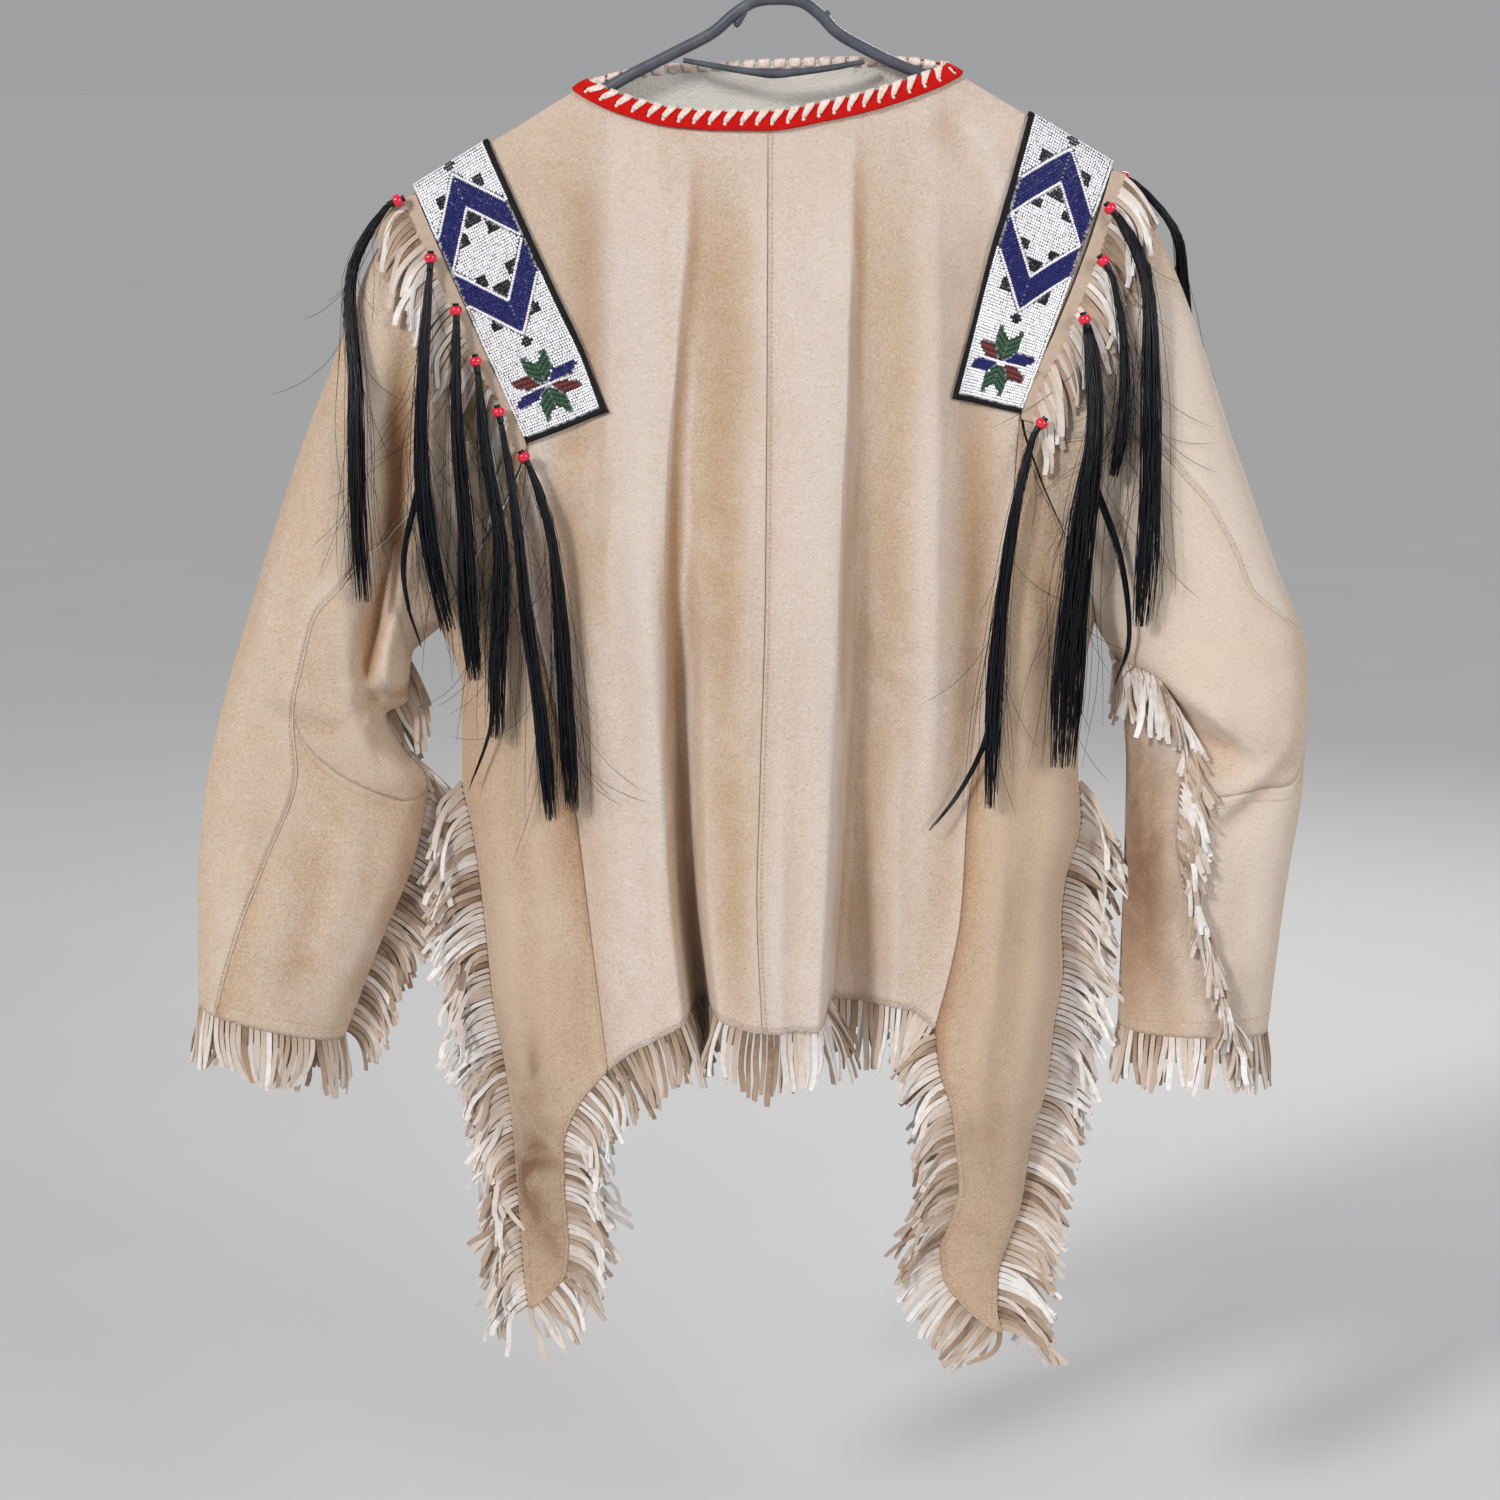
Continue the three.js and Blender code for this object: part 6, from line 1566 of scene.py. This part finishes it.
w, k = np.meshgrid(np.linspace(0, 1, 12), np.arange(300) / 300 * 2, indexing="ij")
X = neck_point(k, w)
N = grid_normals(X, True)
N = np.where((N[..., 1] * np.where(k <= 1, -1, 1) < 0)[..., None], -N, N)
puff = 2.1 + 0.9 * np.sin(np.pi * np.clip(w, 0.02, 0.98)) ** 0.5 + 0.25 * np.sin(k * 150) * np.sin(w * 5)
Xo, Xi = X + N * (puff + 1.3)[..., None], X + N * 0.6
nu, nv = 12, 300
pts = np.concatenate([Xo.reshape(-1, 3), Xi.reshape(-1, 3)])
ii, jj = np.meshgrid(np.arange(nu - 1), np.arange(nv), indexing="ij")
ii, jj = ii.ravel(), jj.ravel()
j2 = (jj + 1) % nv
top = np.stack([ii * nv + jj, (ii + 1) * nv + jj, (ii + 1) * nv + j2, ii * nv + j2], 1)
e = np.arange(nv)
e2 = (e + 1) % nv
rim = [np.stack([e, e2, e2 + nu * nv, e + nu * nv], 1), np.stack([e2, e, e + nu * nv, e2 + nu * nv], 1)]
rim[1] = np.stack([(nu - 1) * nv + e2, (nu - 1) * nv + e, (nu - 1) * nv + e + nu * nv, (nu - 1) * nv + e2 + nu * nv], 1)
qd, _ = turn_out(pts, np.concatenate([top, top[:, ::-1] + nu * nv] + rim))
felt = mesh("neck_felt", pts, qd, mat=FELT)
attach(felt, "root")
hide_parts("neck_trim")

# lace: a broad slanting turn over the edge every 11 mm, with its hole below it, a dark disc of painted shade
lace, hole_shades, dots = Pile(), Pile(), Pile()
kk = np.linspace(0, 2, 1600)
edge = neck_point(kk, 0.0)
sl = np.concatenate([[0], np.cumsum(np.linalg.norm(np.diff(edge, axis=0), axis=1))])


def on_neck(q, w, off):
    """A point q mm along the neck edge, w mm down the felt and off mm out of the cloth."""
    k_ = float(np.interp(np.clip(q, 0.5, sl[-1] - 0.5), sl, kk))
    face_ = -1 if k_ < 1 else 1
    p_ = neck_point(k_, max(w, 0.0) / TRIM)
    n_ = np.array([0, face_ * 1.0, 0.15])
    return p_ + n_ * off + np.array([0, 0, max(0.0, -w)])


def strap(path, wide, thick, n=10):
    """A flat strip along path, its width lying along the neck edge."""
    c = catmull(path, 17)
    w_ = np.interp(np.linspace(0, 1, 17), np.linspace(0, 1, len(wide)), wide)
    t = unit(np.gradient(c, axis=0))
    way = unit(np.broadcast_to(edge_way, c.shape))
    a = unit(way - (way * t).sum(-1, keepdims=True) * t)
    b = np.cross(t, a)
    f = 2 * np.pi * np.arange(n) / n
    ca, sa = np.cos(f), np.sin(f)
    ca, sa = np.sign(ca) * np.abs(ca) ** 0.7, np.sign(sa) * np.abs(sa) ** 0.7
    V = c[:, None] + 0.5 * w_[:, None, None] * ca[None, :, None] * a[:, None] + 0.5 * thick * sa[None, :, None] * b[:, None]
    k, e = np.meshgrid(np.arange(16), np.arange(n), indexing="ij")
    i0, i1 = (k * n + e).ravel(), (k * n + (e + 1) % n).ravel()
    Q = np.stack([i0, i1, i1 + n, i0 + n], 1)
    T = [(0, m + 1, m) for m in range(1, n - 1)] + [(16 * n, 16 * n + m, 16 * n + m + 1) for m in range(1, n - 1)]
    return V.reshape(-1, 3), Q, np.array(T)


for q in np.arange(6.0, sl[-1] - 3, 11.0):
    side_way = 1 if q < sl[-1] / 2 else -1
    jq = q + rng.uniform(-0.6, 0.6)
    path = [on_neck(jq, 7.4, 3.2), on_neck(jq + 0.6, 6.2, 4.7), on_neck(jq + 2.2, 3.6, 5.0), on_neck(jq + 4.2, 1.0, 4.6),
            on_neck(jq + 5.2, -0.9, 3.0), on_neck(jq + 5.6, -1.5, 0.4), on_neck(jq + 5.8, -0.6, -2.2), on_neck(jq + 6.0, 4.0, -2.8)]
    edge_way = on_neck(jq + 9, 0, 0) - on_neck(jq - 1, 0, 0)
    V, Q, Tt = strap(path, (3.4, 4.0, 4.6, 5.6, 7.0, 8.2, 8.6, 7.0), 1.6 + rng.uniform(-0.15, 0.2))
    q2, t2 = turn_out(V, Q, Tt)
    lace.add(V, q2, t2)
    k_ = float(np.interp(jq, sl, kk))
    o = np.array([0, -1.0 if k_ < 1 else 1.0, 0])
    c = on_neck(jq - 0.1, 7.6, 3.6)
    V, Q, Tt = tubes(np.array([[c - o * 1.5, c + o * 0.35, c + o * 0.6]]), np.array([[2.3, 2.3, 1.5]]), 10)
    hole_shades.add(V, Q, Tt)
    c = on_neck(jq - 0.2, 8.6, 4.2)
    V, Q, Tt = tubes(np.array([[c - o * 1.0, c + o * 0.25, c + o * 0.6]]), np.array([[1.35, 1.35, 0.7]]), 8)
    dots.add(V, Q, Tt)
lace.make("neck_lace", LACE, slot="felt")
hole_shades.make("neck_lace_holes", HOLE_SHADE, slot="felt")
dots.make("neck_lace_ends", LACE, slot="felt")

# ---------------------------------------------------------------- hair locks
LOCKS = {
    "lock_left_1": (-1, (-273, -203), [(-298, -214), (-307, -250), (-303, -330), (-303, -400), (-299, -488)], 6),
    "lock_left_2": (-1, (-249, -243), [(-250, -262), (-254, -310), (-257, -390), (-250, -460), (-240, -512)], 6),
    "lock_left_3": (-1, (-231, -280), [(-230, -300), (-231, -350), (-226, -430), (-224, -500), (-221, -548)], 7),
    "lock_left_4": (-1, (-217, -316), [(-214, -336), (-209, -390), (-200, -450), (-203, -520), (-206, -590)], 7),
    "lock_left_5": (-1, (-201, -352), [(-197, -370), (-190, -420), (-182, -500), (-172, -580), (-166, -650)], 5),
    "lock_left_6": (-1, (-183, -384), [(-174, -400), (-164, -440), (-158, -500), (-154, -570), (-150, -645)], 6),
    "lock_right_2": (-1, (238, -208), [(250, -222), (262, -250), (267, -330), (268, -420), (264, -506)], 8),
    "lock_right_3": (-1, (233, -245), [(241, -256), (247, -290), (249, -330), (247, -370), (242, -398)], 4),
    "lock_right_4": (-1, (220, -286), [(226, -306), (228, -360), (220, -430), (214, -510), (209, -612)], 11),
    "lock_right_5": (-1, (190, -360), [(180, -374), (172, -420), (163, -490), (158, -560), (156, -640)], 6),
    "lock_right_1": (1, (252, -188), [(272, -196), (290, -226), (298, -262), (304, -310), (314, -352)], 5),
    "lock_front_left_1": (1, (-249, -243), [(-252, -262), (-256, -320), (-254, -400), (-248, -480)], 6),
    "lock_front_left_2": (1, (-224, -298), [(-222, -318), (-220, -380), (-214, -470), (-210, -560)], 7),
    "lock_front_left_3": (1, (-190, -372), [(-184, -392), (-176, -450), (-168, -540), (-162, -620)], 6),
    "lock_front_right_1": (1, (226, -232), [(232, -252), (238, -320), (238, -400), (234, -470)], 6),
    "lock_front_right_2": (1, (204, -290), [(206, -310), (206, -380), (200, -460), (196, -560)], 8),
    "lock_front_right_3": (1, (180, -350), [(176, -370), (170, -430), (164, -520), (160, -610)], 6),
}


TUFTS = {  # thin side locks: view path, thickness mm, hairs
    "lock_right_5": [([(1006, 590), (1000, 660), (984, 738), (955, 795), (928, 826)], 3.0, 30)],
    "lock_left_4": [([(492, 560), (500, 650), (490, 730), (468, 792)], 2.6, 22)],
    "lock_right_4": [([(1082, 470), (1120, 560), (1128, 640), (1118, 690)], 3.2, 34)],
    "lock_left_2": [([(428, 470), (404, 560), (408, 600), (420, 650)], 2.6, 24)],
}


def strands(C, radius, n, r, spread, K=16, stray=0.0, shade=(0.2, 0.9), tips=0.06):
    """n hairs along the curve C (M, 3), within a round section of the given radii (M,)."""
    M = len(C)
    T = unit(np.gradient(C, axis=0))
    A = unit(np.array([1.0, 0, 0]) - T * T[:, :1])
    B = np.cross(T, A)
    ang, rad = rng.uniform(0, 2 * np.pi, n), np.sqrt(rng.random(n))
    end = 1 - rng.random(n) ** 2 * tips * (1 + 3 * stray)
    q = np.linspace(0, 1, K)[None] * end[:, None]
    ph, fq = rng.uniform(0, 6.28, (n, 1)), rng.uniform(1.0, 4.0, (n, 1))
    swirl = ang[:, None] + rng.normal(0, 0.5, (n, 1)) * q + 0.25 * np.sin(fq * q * 6 + ph)
    fx = q * (M - 1)
    i = np.clip(fx.astype(int), 0, M - 2)
    u = (fx - i)[..., None]
    c = C[i] * (1 - u) + C[i + 1] * u
    a = A[i] * (1 - u) + A[i + 1] * u
    b = B[i] * (1 - u) + B[i + 1] * u
    R = (radius[i] * (1 - u[..., 0]) + radius[i + 1] * u[..., 0]) * rad[:, None] * (1 + spread * q ** 2)
    out = c + R[..., None] * (np.cos(swirl)[..., None] * a + 0.72 * np.sin(swirl)[..., None] * b)
    if stray:
        away = rng.normal(0, 1, (n, 1, 3)) * (1, 0.45, 0.25)
        out = out + away * stray * (q ** 1.5)[..., None] * 22 + stray * 9 * (np.sin(fq * q * 4 + ph) * q ** 0.7)[..., None] * rng.normal(0, 1, (n, 1, 3)) * (1, 0.3, 0.1)
    return out, np.full((n, K), r) * np.concatenate([np.ones(K - 2), [0.8, 0.45]]), rng.uniform(*shade, n)


def wisps(C, face, n, K=20):
    """Loose hairs leaving the lock C at any height, each on a curve of its own close over the cloth."""
    i = rng.integers(4, 34, n)
    P = np.zeros((n, K, 3))
    P[:, 0] = C[i] + rng.normal(0, 1.2, (n, 3)) * (1, 0.3, 1)
    turn = rng.normal(0, 0.26, n) - np.pi / 2
    bend = rng.normal(0, 0.016, n) - 0.010 * (turn + np.pi / 2)
    step = rng.uniform(2.5, 5.2, n)
    for k in range(1, K):
        turn = turn + bend * step * 0.6 + rng.normal(0, 0.02, n)
        P[:, k, 0] = P[:, k - 1, 0] + np.cos(turn) * step
        P[:, k, 2] = P[:, k - 1, 2] + np.sin(turn) * step
        P[:, k, 1] = P[:, 0, 1]
    low = rng.uniform(1.4, 4.5, (n, 1)) + 5 * np.exp(-np.arange(K)[None] / 3.0)
    y = skin(P[..., 0], P[..., 2], face, 1) + low
    for k in range(1, K):
        y[:, k] = np.maximum(y[:, k], y[:, k - 1] - 0.22 * step)
    for k in range(K - 2, -1, -1):
        y[:, k] = np.maximum(y[:, k], y[:, k + 1] - 0.22 * step)
    P[..., 1] = face * y
    R = np.full((n, K), 0.19) * np.concatenate([np.ones(K - 2), [0.7, 0.4]])
    return P, R


for name, (face, bead, hair, half) in LOCKS.items():
    def stand(x, z, r):
        return face * (float(skin(x, z, face, 2)) + r + 6.5)
    (bx, bz), (hx, hz) = bead, hair[0]
    d = unit(np.array([hx - bx, 0, hz - bz], float))
    y0, y1 = face * max(abs(stand(bx, bz, BEAD_R)), 12), stand(hx, hz, 4)

    def along(k):
        return np.array([bx + d[0] * k, lerp(y0, y1, min(1, max(0, k / 14))), bz + d[2] * k])
    big = half > 9
    body_pts = [along(4.5), along(8)] + [np.array([x, stand(x, z, half), z]) for x, z in hair[1:]]
    C = catmull(body_pts, 40)
    u = np.linspace(0, 1, 40)
    rad = half * (0.24 + 0.30 * smooth(0.0, 0.2, u) + 0.42 * smooth(0.15, 0.7, u)) * (1 - 0.15 * smooth(0.8, 1, u)) * (1 + 0.07 * np.sin(u * 17 + bx))
    pile = Pile()
    core = catmull(body_pts, 22)
    V, Q, T = tubes(core[None], (np.interp(np.linspace(0, 1, 22), u, rad) * np.linspace(0.80, 0.10, 22) ** 1.25)[None], 10, flat=0.6)
    pile.add(V, Q, T, 0.1)
    n = 92 if face < 0 else 40
    if big:
        n = 150
    P, R, sh = strands(C, rad, n, 0.44, 0.14, K=13, tips=0.22)
    V, Q, T = tubes(P, R, 3)
    pile.add(V, Q, T, np.repeat(sh, P.shape[1] * 3))
    if face < 0:
        P, R = wisps(C, face, 24 if big else 14)
        V, Q, T = tubes(P, R, 3)
        pile.add(V, Q, T, 0.3)
    n = 24 if face < 0 else 10
    P, R, sh = strands(C, rad * 1.15, n, 0.20, 0.5, K=15, stray=0.42 if face < 0 else 0.3)
    lim = skin(P[..., 0], P[..., 2], face, 1) + 1.2
    P[..., 1] = face * np.maximum(face * P[..., 1], lim)
    V, Q, T = tubes(P, R, 3)
    pile.add(V, Q, T, np.repeat(sh * 0.5, P.shape[1] * 3))
    for path, thick, count in TUFTS.get(name, []):
        tp = [np.array([float(at(px, py)[0]), 0.0, float(at(px, py)[1])]) for px, py in path]
        for q in tp:
            q[1] = stand(q[0], q[2], 2)
        Ct = catmull([C[int(np.argmin(np.abs(C[:, 2] - tp[0][2])))]] + tp[1:], 40)
        P, R, sh = strands(Ct, thick * (1 - 0.75 * np.linspace(0, 1, 40)), count, 0.40, 0.1, K=13, tips=0.5)
        V, Q, T = tubes(P, R, 3)
        pile.add(V, Q, T, np.repeat(sh, P.shape[1] * 3))
    # wrap each side of the bead
    for a0, a1, r0 in ((-5.2, -2.6, 2.2), (2.6, 8.0, 2.6)):
        ks = np.linspace(a0, a1, 14)
        Cw = np.stack([along(k_) for k_ in ks])
        Rw = r0 * (1 + 0.13 * (np.arange(14) % 2)) * (1 - 0.18 * np.linspace(0, 1, 14) if a0 > 0 else 1)
        V, Q, T = tubes(Cw[None], Rw[None], 12)
        pile.add(V, Q, T, 0.35)
    pile.make(name + "_hair", HAIR, [name], "hair")
    # crow bead: a barrel
    prof = np.array([(-2.9, 1.6), (-3.2, 2.5), (-2.7, 3.8), (-1.2, 4.6), (1.2, 4.6), (2.7, 3.8), (3.2, 2.5), (2.9, 1.6)])
    Cb = np.stack([along(0) + d * a_ for a_, _ in prof])
    V, Q, T = tubes(Cb[None], prof[None, :, 1], 20)
    ob = mesh(f"crow_bead_{name[5:]}", V, Q, T, mat=CROW)
    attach(ob, "root")

# ---------------------------------------------------------------- hanger
DROP = 13
arm = [(-228, ridge_z(-228) - DROP), (-180, ridge_z(-180) - DROP), (-145, ridge_z(-145) - DROP), (-112, -118), (-76, -100), (-46, -84.5), (-31, -72), (-17, -63.5), (-1, -61.5),
       (17, -63.5), (30, -72.5), (42, -84.5), (67, -98.5), (90, -109), (118, ridge_z(118) - DROP), (160, ridge_z(160) - DROP), (212, ridge_z(212) - DROP)]
C = catmull([(x, 0, float(z)) for x, z in arm], 220)
R = HANGER_R * (1 - 0.25 * (1 - smooth(0, 0.012, np.linspace(0, 1, 220))) - 0.25 * smooth(0.988, 1, np.linspace(0, 1, 220)))
pile = Pile()
V, Q, T = tubes(C[None], R[None], 20)
pile.add(V, Q, T)
# strap tabs on the arms
for c0, c1, r in (((-24, -70), (-30.5, -81), 2.6), ((33, -74), (36.5, -70), 2.0)):
    pt = np.linspace(0, 1, 8)
    Ct = np.stack([lerp(c0[0], c1[0], pt), 0 * pt, lerp(c0[1], c1[1], pt)], 1)
    V, Q, T = tubes(Ct[None], (r * np.array([1, 1, 1, 1, 1, 1, 0.9, 0.55]))[None], 12, flat=0.7)
    pile.add(V, Q, T)
pile.make("hanger_tube", PLASTIC, ["hanger"], "hanger_plastic")
C = catmull([(-68, 0, -104.2), (-44, 0, -108.5), (-22, 0, -112), (-3, 0, -113.5), (20, 0, -112), (42, 0, -109), (62, 0, -105.2)], 90)
u = np.linspace(0, 1, 90)
R = 1.8 + 0.8 * np.sin(np.pi * u) + 1.0 * np.exp(-((u - 0.5) / 0.1) ** 2)
V, Q, T = tubes(C[None], R[None], 16)
ob = mesh("hanger_lower_bar", V, Q, T, mat=PLASTIC)
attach(ob, "root"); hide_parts("hanger_bar")
C = catmull([(x, 0, z) for x, z in ((0, -56.6), (0, -50), (1, -44), (9, -40.5), (17, -34), (21.6, -20), (15.4, -4.6), (0, 1.75), (-15.4, -4.6), (-21.6, -20), (-20, -30))], 120)
R = np.full(120, HOOK_R)
R[-1], R[-2] = HOOK_R * 0.5, HOOK_R * 0.85
V, Q, T = tubes(C[None], R[None], 16)
ob = mesh("hanger_wire_hook", V, Q, T, mat=STEEL)
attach(ob, "root"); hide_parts("hanger_hook")

# ---------------------------------------------------------------- sheets
for ob, w, l, area in SHEETS:
    w, l = round(w + 0.005, 3), round(l + 0.005, 3)
    name = ob.name[:-6]
    print("SHEET", ob.name, w, l, round(area, 4))

# ---------------------------------------------------------------- floor, light
me = bpy.data.meshes.new("floor")
me.from_pydata([(-60, -12, -1.32), (60, -12, -1.32), (60, 160, -1.32), (-60, 160, -1.32)], [], [(0, 1, 2, 3)])
floor = bpy.data.objects.new("floor", me)
bpy.context.scene.collection.objects.link(floor)
fm = Mat("floor", Roughness=0.9, Specular_IOR_Level=0.15)
fm.colour(fm.mix(fm.remap(fm.noise(3, 3), 0.3, 0.7), (0.582, 0.582, 0.587, 1), (0.594, 0.594, 0.594, 1)))
me.materials.append(fm.m)


def area_light(name, loc, aim, size, power, colour=(1, 1, 1)):
    d = bpy.data.lights.new(name, "AREA")
    d.shape = "RECTANGLE"
    d.size, d.size_y = size
    d.energy = power
    d.color = colour
    ob = bpy.data.objects.new(name, d)
    ob.location = loc
    v = np.array(aim, float) - np.array(loc, float)
    ob.rotation_euler = (math.atan2(math.hypot(v[0], v[1]), -v[2]), 0, math.atan2(v[1], v[0]) - math.pi / 2)
    bpy.context.scene.collection.objects.link(ob)
    return ob


area_light("key", (-2.6, -1.9, 1.0), (-0.02, 0, -0.5), (0.9, 0.9), 20, (1.0, 0.99, 0.97))
area_light("fill", (2.3, -2.2, 0.7), (0.05, 0, -0.5), (1.2, 1.2), 46, (0.98, 0.99, 1.0))
area_light("back_light", (0.9, 2.4, 0.8), (0, 0, -0.5), (1.2, 1.2), 30)
sun = bpy.data.lights.new("sun", "SUN")
sun.energy = 1.74
sun.angle = math.radians(9)
sun.color = (1.0, 0.985, 0.965)
sun_ob = bpy.data.objects.new("sun", sun)
to = np.array([0.60, 0.66, -0.48])
sun_ob.rotation_euler = (math.atan2(math.hypot(to[0], to[1]), -to[2]), 0, math.atan2(to[1], to[0]) - math.pi / 2)
bpy.context.scene.collection.objects.link(sun_ob)

world = bpy.data.worlds.new("world")
bpy.context.scene.world = world
world.use_nodes = True
world.node_tree.nodes["Background"].inputs["Color"].default_value = (0.97, 0.98, 1.0, 1)
world.node_tree.nodes["Background"].inputs["Strength"].default_value = 0.36
bpy.context.scene.view_settings.view_transform = "Standard"

total = 0
for ob in bpy.context.scene.objects:
    if ob.type == "MESH" and not ob.hide_render:
        ob.data.calc_loop_triangles()
        n = len(ob.data.loop_triangles)
        total += n
        if n > 30000:
            print("TRIS", ob.name, n)
print("TRIS total", total)
